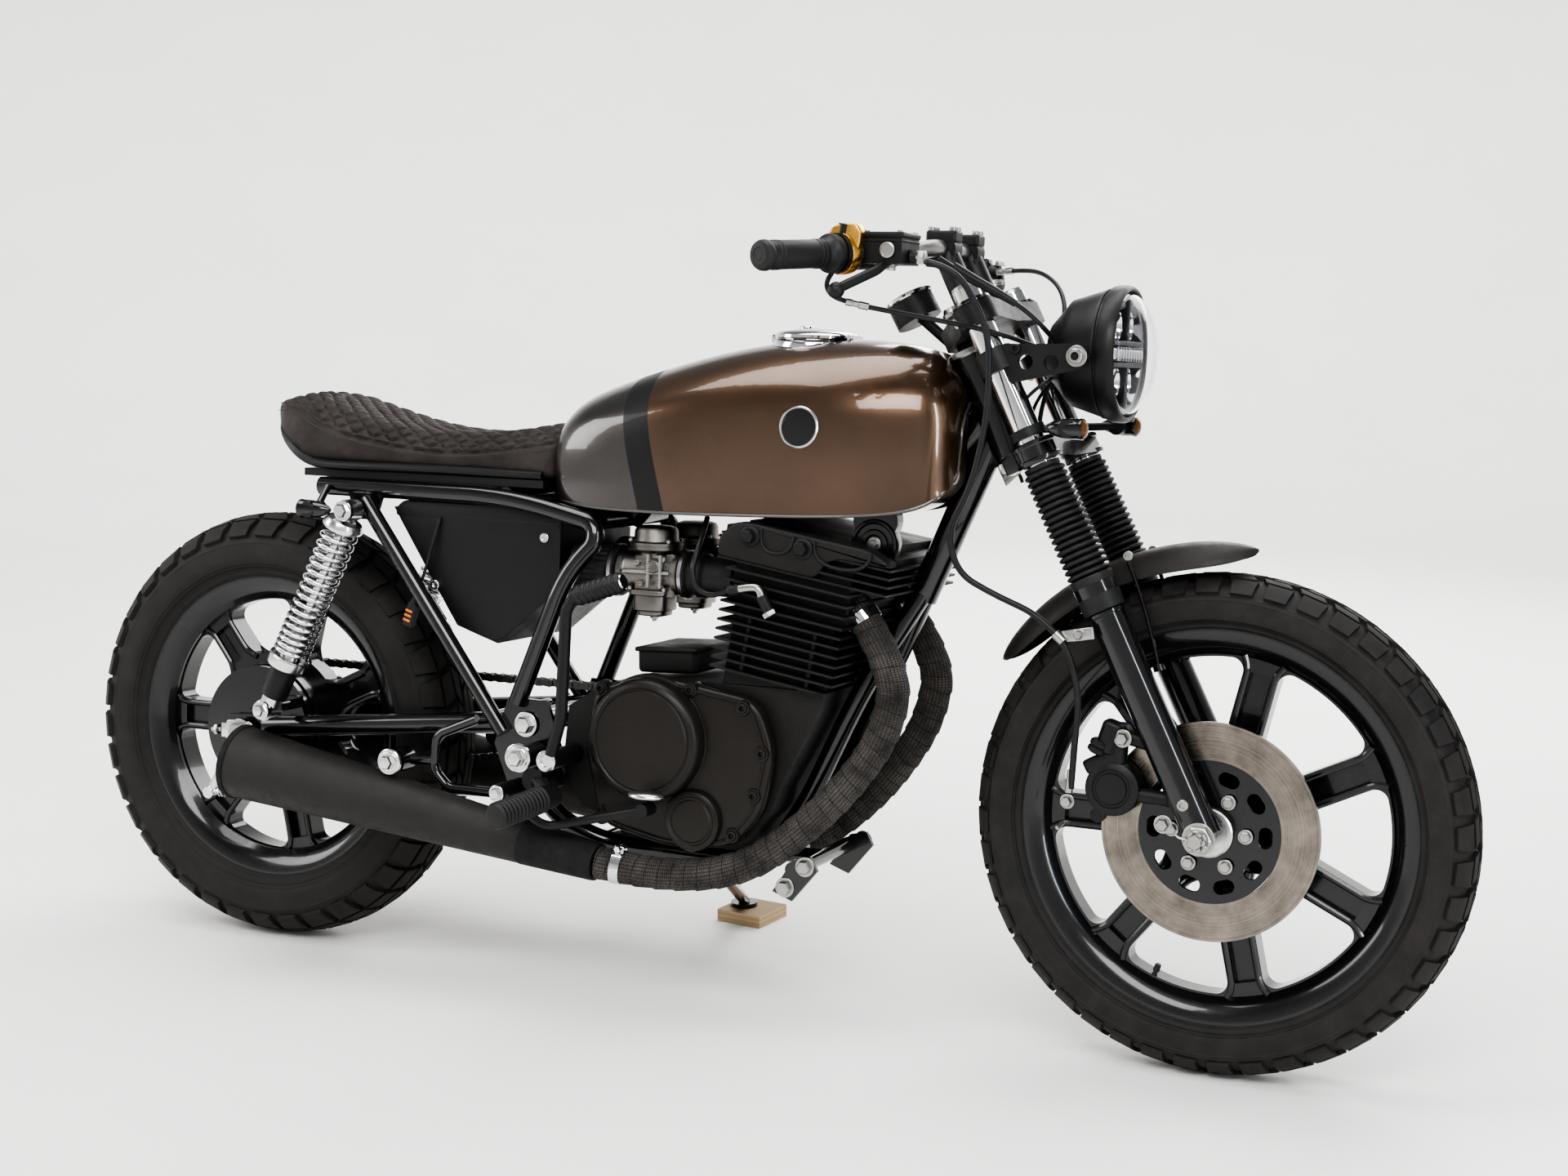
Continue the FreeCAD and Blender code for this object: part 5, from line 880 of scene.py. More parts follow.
@dataclass(frozen=True)
class Cast(Finish):
    """Cast metal, bare or painted: a sandy skin with rubbed, lighter high spots.

    Attributes:
        metallic: 1 for bare metal, 0 for a painted casting.
        skin: The depth of the sandy skin, in metres.
        worn: The colour of the rubbed spots.
    """

    metallic: float = 1.0
    skin: float = 0.0003
    worn: Colour = (0.5, 0.5, 0.5)

    def dress(self, graph: Graph) -> None:
        """Two noises make the sand, and a large one the stains and worn spots.

        Args:
            graph: The material's nodes.
        """
        where = graph.place()
        stain = graph.noise(where, 22.0, 8.0, 0.65)
        sand = graph.noise(where, 1400.0, 2.0)
        lumps = graph.noise(where, 240.0, 4.0)
        rubbed = graph.fit(graph.noise(where, 60.0, 9.0, 0.72), 0.6, 0.82, 0.0, 0.55)
        base = graph.blend(stain, shade(self.colour, 0.7), shade(self.colour, 1.15))
        graph.surface(
            Base_Color=graph.blend(rubbed, base, self.worn), Metallic=self.metallic, Specular_IOR_Level=0.3,
            Roughness=graph.fit(stain, 0.3, 0.7, self.roughness * 1.2, self.roughness * 0.8),
            Normal=graph.relief(graph.sums("ADD", sand, lumps), self.skin, 0.7),
        )


@dataclass(frozen=True)
class Metal(Finish):
    """Bare or plated metal with light smudges and hair scratches.

    Attributes:
        scratch: How deep the scratches show, in metres.
        stretch: The scratches' scale per metre along each axis.
    """

    scratch: float = 0.00001
    stretch: tuple[float, float, float] = (900.0, 900.0, 900.0)

    def dress(self, graph: Graph) -> None:
        """Stretched noise makes the scratches, and a large one the smudges.

        Args:
            graph: The material's nodes.
        """
        where = graph.place()
        smudge = graph.noise(where, 30.0, 6.0, 0.6)
        hair = graph.noise(graph.place(self.stretch), 1.0, 3.0, 0.6)
        graph.surface(
            Base_Color=graph.blend(smudge, shade(self.colour, 0.86), shade(self.colour, 1.06)),
            Metallic=1.0, Normal=graph.relief(hair, self.scratch),
            Roughness=graph.fit(smudge, 0.25, 0.75, self.roughness * 0.7, self.roughness * 1.4),
        )


@dataclass(frozen=True)
class Turned(Finish):
    """Metal turned round a wheel's axle, with rings of fine marks.

    Attributes:
        centre: The axle's middle on the upright machine, in millimetres.
        rings: The marks' scale per metre of radius.
        depth: The marks' depth, in metres.
    """

    centre: tuple[float, float, float] = (0.0, 0.0, 0.0)
    rings: float = 900.0
    depth: float = 0.00002

    def dress(self, graph: Graph) -> None:
        """The distance from the axle feeds a noise in one direction.

        Args:
            graph: The material's nodes.
        """
        x, y, z = leaned(np.array(self.centre))
        turn = -math.atan2(LEAN[2, 1], LEAN[1, 1])
        cosine, sine = math.cos(turn), math.sin(turn)
        shift = (-x, -(y * cosine - z * sine), -(y * sine + z * cosine))
        along, _, up = graph.axes(graph.place(shift=shift, turn=(turn, 0, 0)))
        squares = [graph.sums("MULTIPLY", part, part) for part in (along, up)]
        radius = graph.sums("SQRT", graph.sums("ADD", *squares))
        line = graph.add("CombineXYZ")
        graph.put(line.inputs[0], graph.sums("MULTIPLY", radius, self.rings))
        marks = graph.noise(line.outputs[0], 1.0, 4.0, 0.7)
        smudge = graph.noise(graph.place(), 26.0, 6.0, 0.6)
        graph.surface(
            Base_Color=graph.blend(graph.fit(graph.sums("ADD", marks, smudge), 0.75, 1.25, 0.0, 1.0),
                                   shade(self.colour, 0.5), shade(self.colour, 1.3)),
            Metallic=1.0, Normal=graph.relief(marks, self.depth),
            Roughness=graph.fit(marks, 0.3, 0.7, self.roughness * 0.75, self.roughness * 1.35),
        )


@dataclass(frozen=True)
class TankPaint(Finish):
    """The tank's paint: metallic bronze in front, a satin stripe, and grey metallic behind.

    Attributes:
        rear: The colour behind the stripe.
        stripe: The stripe's colour.
        low_edge: The stripe's front edge at its foot: ahead and height, in millimetres.
        high_edge: The same edge higher up.
        width: The stripe's width, in millimetres.
    """

    rear: Colour = (0.1, 0.1, 0.1)
    stripe: Colour = (0.01, 0.01, 0.01)
    low_edge: tuple[float, float] = (671.0, 656.0)
    high_edge: tuple[float, float] = (634.0, 830.0)
    width: float = 39.0

    def dress(self, graph: Graph) -> None:
        """A line across Object coordinates parts the three colours, with flakes in the metallic ones.

        Args:
            graph: The material's nodes.
        """
        where = graph.place()
        along, _, up = graph.axes(where)
        low = leaned(point(self.low_edge[0], 0, self.low_edge[1]))
        high = leaned(point(self.high_edge[0], 0, self.high_edge[1]))
        slope = (high[0] - low[0]) / (high[2] - low[2])
        ahead = graph.sums("SUBTRACT", along, graph.sums(
            "MULTIPLY_ADD", up, slope, low[0] - slope * low[2]))
        soft, back = 0.0004, -self.width * MM
        is_front = graph.fit(ahead, -soft, soft, 0.0, 1.0)
        is_rear = graph.fit(ahead, back - soft, back + soft, 1.0, 0.0)
        flakes = graph.cells(where, 2600.0)
        cloud = graph.noise(where, 9.0, 4.0)
        lit = graph.fit(graph.sums("ADD", flakes, cloud), 0.6, 1.2, 0.78, 1.25)
        painted = graph.blend(is_front, graph.blend(is_rear, self.stripe, self.rear), self.colour)
        tinted = graph.add("Mix", data_type="RGBA", blend_type="MULTIPLY")
        graph.put(tinted.inputs[0], 1.0)
        graph.put(tinted.inputs[6], painted)
        grey = graph.add("CombineColor")
        for socket in grey.inputs:
            graph.put(socket, lit)
        graph.put(tinted.inputs[7], grey.outputs[0])
        metal = graph.sums("MAXIMUM", is_front, is_rear)
        graph.surface(
            Base_Color=tinted.outputs[2], Metallic=graph.sums("MULTIPLY", metal, 0.82),
            Roughness=graph.fit(metal, 0.0, 1.0, 0.42, self.roughness),
            Coat_Weight=graph.fit(metal, 0.0, 1.0, 0.15, 0.85), Coat_Roughness=0.06, Specular_IOR_Level=0.35,
            Normal=graph.relief(graph.noise(where, 420.0, 2.0), 0.00002),
        )


@dataclass(frozen=True)
class Leather(Finish):
    """Worn saddle leather: pebbled grain, creases and paler rubbed patches.

    Attributes:
        rubbed: The colour where it is worn.
    """

    rubbed: Colour = (0.1, 0.09, 0.08)

    def dress(self, graph: Graph) -> None:
        """Cells make the pebbles, ridged noise the creases, and soft noise the wear.

        Args:
            graph: The material's nodes.
        """
        where = graph.place()
        wander = graph.noise(where, 260.0, 2.0)
        pebbles = graph.cells(where, 620.0, "DISTANCE_TO_EDGE")
        grain = graph.fit(pebbles, 0.0, 0.22, 0.0, 1.0)
        crease = graph.fit(graph.noise(where, 120.0, 8.0, 0.65), 0.42, 0.52, 0.0, 1.0)
        worn = graph.fit(graph.noise(where, 16.0, 9.0, 0.7), 0.42, 0.72, 0.0, 1.0)
        base = graph.blend(wander, shade(self.colour, 0.75), shade(self.colour, 1.3))
        height = graph.sums("MULTIPLY_ADD", crease, 0.5, grain)
        graph.surface(
            Base_Color=graph.blend(graph.sums("MULTIPLY", worn, 0.6), base, self.rubbed),
            Roughness=graph.fit(worn, 0.0, 1.0, self.roughness * 1.1, self.roughness * 0.8),
            Specular_IOR_Level=0.26,
            Normal=graph.relief(height, 0.00022, 0.8),
        )


@dataclass(frozen=True)
class Rubber(Finish):
    """Moulded rubber with a matt bloom and fine mould grain.

    Attributes:
        bloom: The colour of the dusty bloom.
    """

    bloom: Colour = (0.06, 0.06, 0.06)

    def dress(self, graph: Graph) -> None:
        """Soft noise spreads the bloom, and a fine one makes the grain.

        Args:
            graph: The material's nodes.
        """
        where = graph.place()
        dust = graph.noise(where, 34.0, 9.0, 0.72)
        graph.surface(
            Base_Color=graph.blend(graph.fit(dust, 0.4, 0.75, 0.0, 0.8), self.colour, self.bloom),
            Roughness=graph.fit(dust, 0.3, 0.7, self.roughness * 0.85, min(1.0, self.roughness * 1.15)),
            Specular_IOR_Level=0.35,
            Normal=graph.relief(graph.noise(where, 1800.0, 3.0), 0.00006, 0.6),
        )


@dataclass(frozen=True)
class Woven(Finish):
    """Glass-fibre wrap: a plain weave on the piece's own map, stained by heat.

    Attributes:
        threads: Threads along and round, over the whole map.
        stain_and_shade: The colour of the heat stains; made darker, it also paints the shade between threads
            and in the gaps between turns.
        turns: How many turns of wrap the whole map has.
    """

    threads: tuple[float, float] = (200.0, 40.0)
    stain_and_shade: Colour = (0.03, 0.025, 0.02)
    turns: float = 30.0

    def dress(self, graph: Graph) -> None:
        """Two crossed sets of bands make the weave, taken by turns as over and under.

        Each thread's height is |sin(pi x)|, and the one on top is where both sines agree in sign. The low
        places between threads are painted darker, as painted shade. A dark line of painted shade follows the
        edge of each turn of wrap, where it tucks under the next: it is where turns times the share along
        plus the share round passes a whole number.

        Args:
            graph: The material's nodes.
        """
        whole_along, whole_around, _ = graph.axes(graph.place(own_map=True))
        passed = graph.sums("FRACT", graph.sums("MULTIPLY_ADD", whole_along, self.turns, whole_around))
        # Painted shade: a dark line in the gap at the edge of each turn of wrap.
        edge = graph.fit(passed, 0.0, 0.09, 0.0, 1.0)
        along, around, _ = graph.axes(graph.place((*self.threads, 1.0), own_map=True))
        waves = [graph.sums("SINE", graph.sums("MULTIPLY", part, math.pi)) for part in (along, around)]
        warp, weft = (graph.sums("ABSOLUTE", wave) for wave in waves)
        over = graph.sums("GREATER_THAN", graph.sums("MULTIPLY", *waves), 0.0)
        height = graph.sums("ADD", graph.sums("MULTIPLY", warp, over),
                            graph.sums("MULTIPLY", weft, graph.sums("SUBTRACT", 1.0, over)))
        where = graph.place()
        stain = graph.fit(graph.noise(where, 24.0, 8.0, 0.68), 0.34, 0.66, 0.0, 1.0)
        fuzz = graph.noise(where, 380.0, 5.0, 0.7)
        base = graph.blend(stain, shade(self.stain_and_shade, 1.3), shade(self.colour, 1.9))
        # Painted shade: the low places between threads go dark, as shade in the weave's hollows.
        woven = graph.blend(graph.fit(height, 0.25, 0.95, 0.0, 1.0), shade(self.stain_and_shade, 0.6), base)
        rough = graph.sums("MULTIPLY", graph.sums("MULTIPLY_ADD", fuzz, 2.2, height), edge)
        graph.surface(
            # Painted shade: the gaps between turns darken the weave here.
            Base_Color=graph.blend(edge, shade(self.stain_and_shade, 0.3), woven),
            Roughness=self.roughness, Sheen_Weight=0.08, Sheen_Roughness=0.6, Specular_IOR_Level=0.25,
            Normal=graph.relief(rough, 0.0018),
        )


@dataclass(frozen=True)
class Glass(Finish):
    """Clear or tinted moulded glass.

    Attributes:
        through: How much light goes through.
        fluted: The depth of a fine moulded relief, in metres.
        bend: The index of refraction.
    """

    through: float = 1.0
    fluted: float = 0.00002
    bend: float = 1.4

    def dress(self, graph: Graph) -> None:
        """A gently uneven surface that lets light through.

        Args:
            graph: The material's nodes.
        """
        where = graph.place()
        graph.surface(
            Base_Color=self.colour, Roughness=self.roughness, Transmission_Weight=self.through, IOR=self.bend,
            Normal=graph.relief(graph.noise(where, 60.0, 2.0), self.fluted),
        )


@dataclass(frozen=True)
class Lit(Finish):
    """A lamp's bright core.

    Attributes:
        strength: Its own light.
    """

    strength: float = 1.0

    def dress(self, graph: Graph) -> None:
        """A pale surface that glows a little, with small cells.

        Args:
            graph: The material's nodes.
        """
        where = graph.place()
        cells = graph.cells(where, 420.0)
        graph.surface(
            Base_Color=graph.blend(cells, self.colour, shade(self.colour, 0.7)), Roughness=self.roughness,
            Emission_Color=(*self.colour, 1.0), Emission_Strength=self.strength,
        )


@dataclass(frozen=True)
class Ply(Finish):
    """Birch plywood: growth rings on the faces and dark glue lines on the edges.

    Attributes:
        layer: The thickness of one layer, in metres.
    """

    layer: float = 0.0036

    def dress(self, graph: Graph) -> None:
        """Height parts the layers, and stretched noise draws the grain in each.

        Args:
            graph: The material's nodes.
        """
        _, _, up = graph.axes(graph.place())
        layers = graph.sums("FRACT", graph.sums("DIVIDE", up, self.layer))
        pairs = graph.sums("FRACT", graph.sums("DIVIDE", up, self.layer * 2))
        turned = graph.sums("GREATER_THAN", pairs, 0.5)
        grain = graph.noise(graph.place((18.0, 320.0, 60.0)), 1.0, 7.0, 0.7)
        figure = graph.noise(graph.place((7.0, 44.0, 30.0)), 1.0, 3.0, 0.5)
        wood = graph.blend(graph.sums("MULTIPLY_ADD", grain, 0.6, figure), shade(self.colour, 0.62),
                           shade(self.colour, 1.12))
        dark = graph.blend(turned, wood, shade(self.colour, 0.55))
        glue = graph.fit(layers, 0.0, 0.09, 1.0, 0.0)
        graph.surface(
            Base_Color=graph.blend(graph.sums("MULTIPLY", glue, 0.7), graph.blend(0.35, wood, dark),
                                   shade(self.colour, 0.25)),
            Roughness=self.roughness, Normal=graph.relief(grain, 0.0002, 0.5),
        )


BRONZE = TankPaint("bronze_tank_paint", (0.084, 0.050, 0.031), 0.28, rear=(0.056, 0.050, 0.047),
                   stripe=(0.0035, 0.0035, 0.0037))
GLOSS_BLACK = Paint("gloss_black_paint", (0.006, 0.006, 0.0068), 0.2, coat=0.75, skin=0.000005, grain=300.0)
SATIN_BLACK = Paint("satin_black_coat", (0.0095, 0.0093, 0.0095), 0.44, skin=0.00005)
ENGINE_BLACK = Cast("engine_black_coat", (0.014, 0.013, 0.0125), 0.52, metallic=0.0, skin=0.0002,
                    worn=(0.035, 0.031, 0.028))
COVER_BROWN = Cast("engine_cover_coat", (0.0175, 0.0146, 0.0126), 0.33, metallic=0.0, skin=0.00012,
                   worn=(0.032, 0.025, 0.02))
MATT_BLACK = Paint("matt_black_heat_paint", (0.021, 0.0188, 0.0175), 0.56, skin=0.00009, grain=1500.0)
SOOT_BLACK = Paint("sooty_collar_paint", (0.01, 0.01, 0.01), 0.72, skin=0.00009, grain=1500.0)
WHEEL_BLACK = Paint("wheel_black_paint", (0.006, 0.006, 0.0068), 0.24, coat=0.55, skin=0.00002, grain=420.0)
CAST_ALLOY = Cast("sandy_cast_alloy", (0.42, 0.41, 0.395), 0.42, worn=(0.7, 0.69, 0.67))
AGED_ALLOY = Cast("aged_alloy", (0.2, 0.19, 0.175), 0.36, worn=(0.45, 0.43, 0.4))
CHROME = Metal("chrome_plate", (0.72, 0.72, 0.73), 0.075, 0.000004)
POLISHED = Metal("polished_alloy", (0.68, 0.68, 0.68), 0.2, 0.00001, (300.0, 300.0, 1600.0))
ZINC = Metal("zinc_plate", (0.4, 0.395, 0.38), 0.3, 0.00002)
DARK_STEEL = Metal("oiled_steel", (0.16, 0.155, 0.15), 0.38, 0.00003)
BARE_STEEL = Metal("bare_steel", (0.4, 0.39, 0.38), 0.32, 0.00002, (1800.0, 160.0, 1800.0))
BRASS = Metal("brass_anodised", (0.62, 0.36, 0.1), 0.27, 0.00001)
DISC_STEEL = Turned("disc_steel", (0.235, 0.208, 0.182), 0.25, centre=tuple(FRONT_AXLE), rings=420.0,
                    depth=0.00012)
HUB_ALLOY = Turned("turned_hub_alloy", (0.6, 0.6, 0.59), 0.24, centre=tuple(FRONT_AXLE), rings=900.0)
SADDLE = Leather("grained_leather", (0.021, 0.0165, 0.0145), 0.46, rubbed=(0.05, 0.042, 0.038))
THREAD = Paint("waxed_thread", (0.035, 0.03, 0.026), 0.6, skin=0.0001, grain=2500.0)
TYRE = Rubber("worn_tyre_rubber", (0.0125, 0.0115, 0.011), 0.68, bloom=(0.034, 0.029, 0.026))
RUBBER = Rubber("moulded_rubber", (0.010, 0.010, 0.0105), 0.5, bloom=(0.026, 0.025, 0.024))
HOSE = Rubber("cable_sheath", (0.009, 0.009, 0.0095), 0.4, bloom=(0.02, 0.02, 0.02))
WRAP = Woven("header_wrap", (0.082, 0.073, 0.065), 0.9, threads=(230.0, 28.0), stain_and_shade=(0.017, 0.0142, 0.0125),
             turns=37.0)
LENS_GLASS = Glass("clear_lamp_glass", (0.97, 0.98, 1.0), 0.0, bend=1.18)
LAMP_MIRROR = Metal("lamp_mirror", (0.2, 0.2, 0.21), 0.1, 0.000004)
AMBER_GLASS = Glass("amber_lens", (0.15, 0.06, 0.016), 0.1, 0.35, 0.0003)
ORANGE = Paint("orange_mark", (0.6, 0.16, 0.025), 0.5)
SMOKED_GLASS = Glass("smoked_lens", (0.04, 0.04, 0.045), 0.12, 0.3, 0.0002)
LAMP_CORE = Lit("lamp_core", (0.9, 0.93, 1.0), 0.2, 0.25)
SEAM_GREY = Paint("worn_seam_paint", (0.09, 0.085, 0.08), 0.35, coat=0.4, metallic=0.5)
FENDER_COAT = Paint("fender_coat", (0.0185, 0.0155, 0.0135), 0.52, skin=0.00004)
PLYWOOD = Ply("birch_plywood", (0.56, 0.4, 0.24), 0.62)

NODE_FINISHES: dict[str, Finish] = {
    "frame_backbone": GLOSS_BLACK, "frame_cradle": GLOSS_BLACK, "seat_frame": GLOSS_BLACK,
    "hangers": GLOSS_BLACK, "swing_arm": GLOSS_BLACK, "side_stand": GLOSS_BLACK,
    "lower_clamp": GLOSS_BLACK, "upper_clamp": SATIN_BLACK, "headlight_brackets": SATIN_BLACK,
    "crankcase": ENGINE_BLACK, "engine_covers": COVER_BROWN, "cylinders": ENGINE_BLACK,
    "carburettors": CAST_ALLOY, "headers": WRAP, "mufflers": MATT_BLACK, "fuel_tank": BRONZE,
    "fuel_cap": CHROME, "seat_pad": SADDLE, "seat_pan": SATIN_BLACK, "side_box": SATIN_BLACK,
    "rear_indicators": GLOSS_BLACK, "rear_axle": GLOSS_BLACK, "shock_absorbers": POLISHED,
    "shock_springs": CHROME, "foot_controls": SATIN_BLACK, "drive_chain": DARK_STEEL, "horn": GLOSS_BLACK,
    "stand_block": PLYWOOD, "fork_tubes": CHROME, "fork_sliders": GLOSS_BLACK, "fork_gaiters": RUBBER,
    "front_axle": ZINC, "front_fender": GLOSS_BLACK, "handlebar": BARE_STEEL, "grips": RUBBER,
    "bar_controls": SATIN_BLACK, "headlight_shell": SATIN_BLACK, "headlight_lens": LENS_GLASS,
    "brake_caliper": SATIN_BLACK, "brake_hose": HOSE, "front_rim": WHEEL_BLACK, "front_tyre": TYRE,
    "brake_disc": DISC_STEEL, "rear_rim": WHEEL_BLACK, "rear_tyre": TYRE, "rear_sprocket": DARK_STEEL,
}


def dress_solids() -> None:
    """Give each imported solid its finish, and shade its curved faces smooth.

    The loose triangles are merged by a modifier, and faces that meet at a sharp angle part again,
    so that no solid's own mesh changes.
    """
    same_point = 1e-6
    for name, solid in frame["nodes"].items():
        solid.data.materials.clear()
        solid.data.materials.append(NODE_FINISHES[name].material())
        solid.data.polygons.foreach_set("use_smooth", np.ones(len(solid.data.polygons), bool))
        solid.modifiers.new("merge", "WELD").merge_threshold = same_point
        edges = solid.modifiers.new("edges", "EDGE_SPLIT")
        edges.split_angle = math.radians(SHARP_DEGREES)
        log.info("%s: dressed as %s", name, NODE_FINISHES[name].name)


# Wheels


@dataclass
class Tyre:
    """A tyre with a smooth ribbed side wall and tread blocks that stand on its carcass.

    Attributes:
        name: The piece's name.
        node: The solid that it stands for.
        body: The body that it rides on.
        centre: The axle's middle.
        radius: The tread's radius at the crown.
        width: The widest breadth.
        crown: The radius of the tread's cross section.
        lip: The bead's radius.
        rim: The rim's breadth at the bead.
        depth: The tread's depth.
        shoulder_count: Blocks in each shoulder row.
        front: Whether the crown has a rib of interlocked blocks, or else rows of chevrons.
    """

    name: str
    node: str
    body: Body
    centre: np.ndarray
    radius: float
    width: float
    crown: float
    lip: float
    rim: float
    depth: float
    shoulder_count: int
    front: bool
    tread_points = 16
    wall_ribs = ((0.24, 0.012), (0.62, 0.012), (0.7, 0.012), (0.86, 0.02))
    rib_height = 0.55
    foot_share, foot_depth = 1.07, -1.5

    def section(self) -> np.ndarray:
        """The carcass from crown to bead on one side, as (radius, side) pairs.

        The tread is an arc of the crown radius. The side wall is a smooth line through its widest
        place, just under the middle of the wall, down to the bead beside the rim.

        Returns:
            The pairs, as (count, 2).
        """
        half = self.width / 2
        angles = np.linspace(0, math.asin(min(0.96, half * 0.86 / self.crown)), self.tread_points)
        base = self.radius - self.depth
        drop = self.crown * (1 - np.cos(angles))
        tread = np.stack((base - drop, self.crown * np.sin(angles), 0 * angles), 1)
        wide = self.lip + 0.45 * (base - self.lip)
        end = tread[-1]
        wall = flow((end, (end[0] - 8, end[1] + 5, 0), (wide + 14, half - 0.5, 0), (wide, half, 0),
                     (wide - 16, half - 1, 0), (self.lip + 9, self.rim / 2 + 4, 0),
                     (self.lip + 1, self.rim / 2 + 2, 0), (self.lip - 2, self.rim / 2 - 4, 0)), 5)
        return np.concatenate((tread, wall[1:]))[:, :2]

    def carcass(self) -> Form:
        """The section turned round the axle, with fine ribs raised on the wall.

        A rib stands where the share of the wall's length is within half a rib's breadth of its place.

        Returns:
            The closed ring of the carcass.
        """
        half = self.section()
        steps = np.linalg.norm(np.diff(half, axis=0), axis=1)
        reach = np.concatenate(((0,), np.cumsum(steps)))
        shoulder = reach[self.tread_points - 1]
        wanted = np.unique(np.concatenate((
            np.linspace(0, shoulder, 12), np.linspace(shoulder, reach[-1], 44))))
        dense = np.stack([np.interp(wanted, reach, half[:, k]) for k in range(2)], 1)
        run = unit(np.gradient(dense, axis=0))
        normal = np.stack((-run[:, 1], run[:, 0]), 1) * -1
        share = (wanted - shoulder) / (reach[-1] - shoulder)
        ribs = self.rib_height * np.any([np.abs(share - at) < near for at, near in self.wall_ribs], axis=0)
        dense = dense + normal * ribs[:, None]
        loop = np.concatenate((dense[::-1], dense[1:] * (1, -1)))
        inner = ((self.lip + 6, -self.rim / 2 + 8), (self.lip + 6, self.rim / 2 - 8))
        return lathe(np.concatenate((loop, inner)), self.centre, ACROSS, 160, hollow=True)

    def on_tread(self, side: np.ndarray, round_way: np.ndarray, lift: float) -> np.ndarray:
        """Points at a distance across the tread and round the tyre, lifted off the carcass.

        The distance across is an arc length on the section, and the distance round is an arc
        length at the crown.

        Args:
            side: Distances across, below 0 on the right.
            round_way: Distances round.
            lift: How far the points stand off the carcass.

        Returns:
            The points.
        """
        half = self.section()
        reach = np.concatenate(((0,), np.cumsum(np.linalg.norm(np.diff(half, axis=0), axis=1))))
        run = unit(np.gradient(half, axis=0))
        far = np.abs(side)
        radius, out, run_r, run_y = (
            np.interp(far, reach, values) for values in (half[:, 0], half[:, 1], run[:, 0], run[:, 1])
        )
        sign = np.sign(side) + (side == 0)
        angle = round_way / self.radius
        level = radius + lift * run_y
        return self.centre + np.stack(
            (level * np.cos(angle), (out - lift * run_r) * sign, level * np.sin(angle)), axis=-1)

    def block(self, corners: Sequence[tuple[float, float]]) -> Form:
        """A tread block over four corners, each given across and round, with slanted walls.

        The top's points are the corners' bilinear blend, and the foot is larger by its share.

        Args:
            corners: Distances across and round, in order.

        Returns:
            The block.
        """
        rows = 3
        c = np.array(corners, float)
        u, v = np.meshgrid(np.linspace(0, 1, rows), np.linspace(0, 1, 2), indexing="ij")
        flat = ((1 - u) * (1 - v))[..., None] * c[0] + (u * (1 - v))[..., None] * c[1] \
            + (u * v)[..., None] * c[2] + ((1 - u) * v)[..., None] * c[3]
        middle = c.mean(axis=0)
        foot = middle + (flat - middle) * self.foot_share
        top = self.on_tread(flat[..., 0], flat[..., 1], self.depth)
        low = self.on_tread(foot[..., 0], foot[..., 1], self.foot_depth)
        around = np.concatenate((np.arange(rows) * 2, np.arange(rows)[::-1] * 2 + 1))
        points = np.concatenate((top.reshape(-1, 3), low.reshape(-1, 3)))
        k = np.arange(rows - 1) * 2
        quads = np.stack((k, k + 1, k + 3, k + 2), 1)
        nexts = np.roll(around, -1)
        size = rows * 2
        walls = np.stack((around, nexts, nexts + size, around + size), 1)
        return Form(points, [quads, walls, (quads + size)[:, ::-1]])

    def around(self, blocks: Iterable[Form], count: int, shift: float = 0.0) -> Form:
        """Blocks spread evenly round the tyre, turned by a share of their spacing."""
        return ring_of(joined(blocks), self.centre, -ACROSS, count, shift * 2 * math.pi / count)

    def pattern(self) -> list[tuple[int, tuple]]:
        """The rows of blocks on one side.

        Returns:
            Pairs of the row's count round the tyre and its blocks. Each block has four corners,
            given as the distance across in millimetres and the share of the pitch round.
        """
        last = self.tread_points
        reach = np.linalg.norm(np.diff(self.section()[:last], axis=0), axis=1).sum()
        if self.front:
            outer, inner = reach + 5, reach - 18
            return [
                (self.shoulder_count, (
                    ((inner, -0.36), (outer, -0.32), (outer, 0.32), (inner, 0.36)),
                    ((inner - 13, -0.14), (inner - 3.5, -0.3), (inner - 3.5, 0.44), (inner - 13, 0.56)))),
                (self.shoulder_count // 2, (
                    ((3.2, -0.9), (inner - 16.5, -0.62), (inner - 16.5, -0.12), (3.2, -0.2)),
                    ((3.2, 0.06), (inner - 16.5, 0.12), (inner - 16.5, 0.84), (3.2, 0.72)))),
            ]
        outer, inner = reach + 9, reach - 19
        return [(self.shoulder_count, (
            ((inner, -0.4), (outer, -0.33), (outer, 0.33), (inner, 0.4)),
            ((inner - 20, -0.2), (inner - 4.5, -0.4), (inner - 4.5, 0.4), (inner - 20, 0.56)),
            ((2.6, -0.42), (inner - 24, -0.12), (inner - 24, 0.66), (2.6, 0.4))))]

    def tread(self) -> Form:
        """Every row of blocks, each the same on both sides but half a block apart.

        Returns:
            All the tyre's blocks.
        """
        pitch = 2 * math.pi * self.radius / self.shoulder_count
        rows = []
        for side in SIDES:
            shift = 0.0 if side > 0 else 0.5
            for count, blocks in self.pattern():
                forms = [self.block([(side * a, pitch * b) for a, b in corners]) for corners in blocks]
                rows.append(self.around(forms, count, shift))
        return joined(rows)

    def build(self) -> None:
        """Make the tyre."""
        piece(self.name, joined((self.carcass(), self.tread())), TYRE, self.body, self.node, 28)


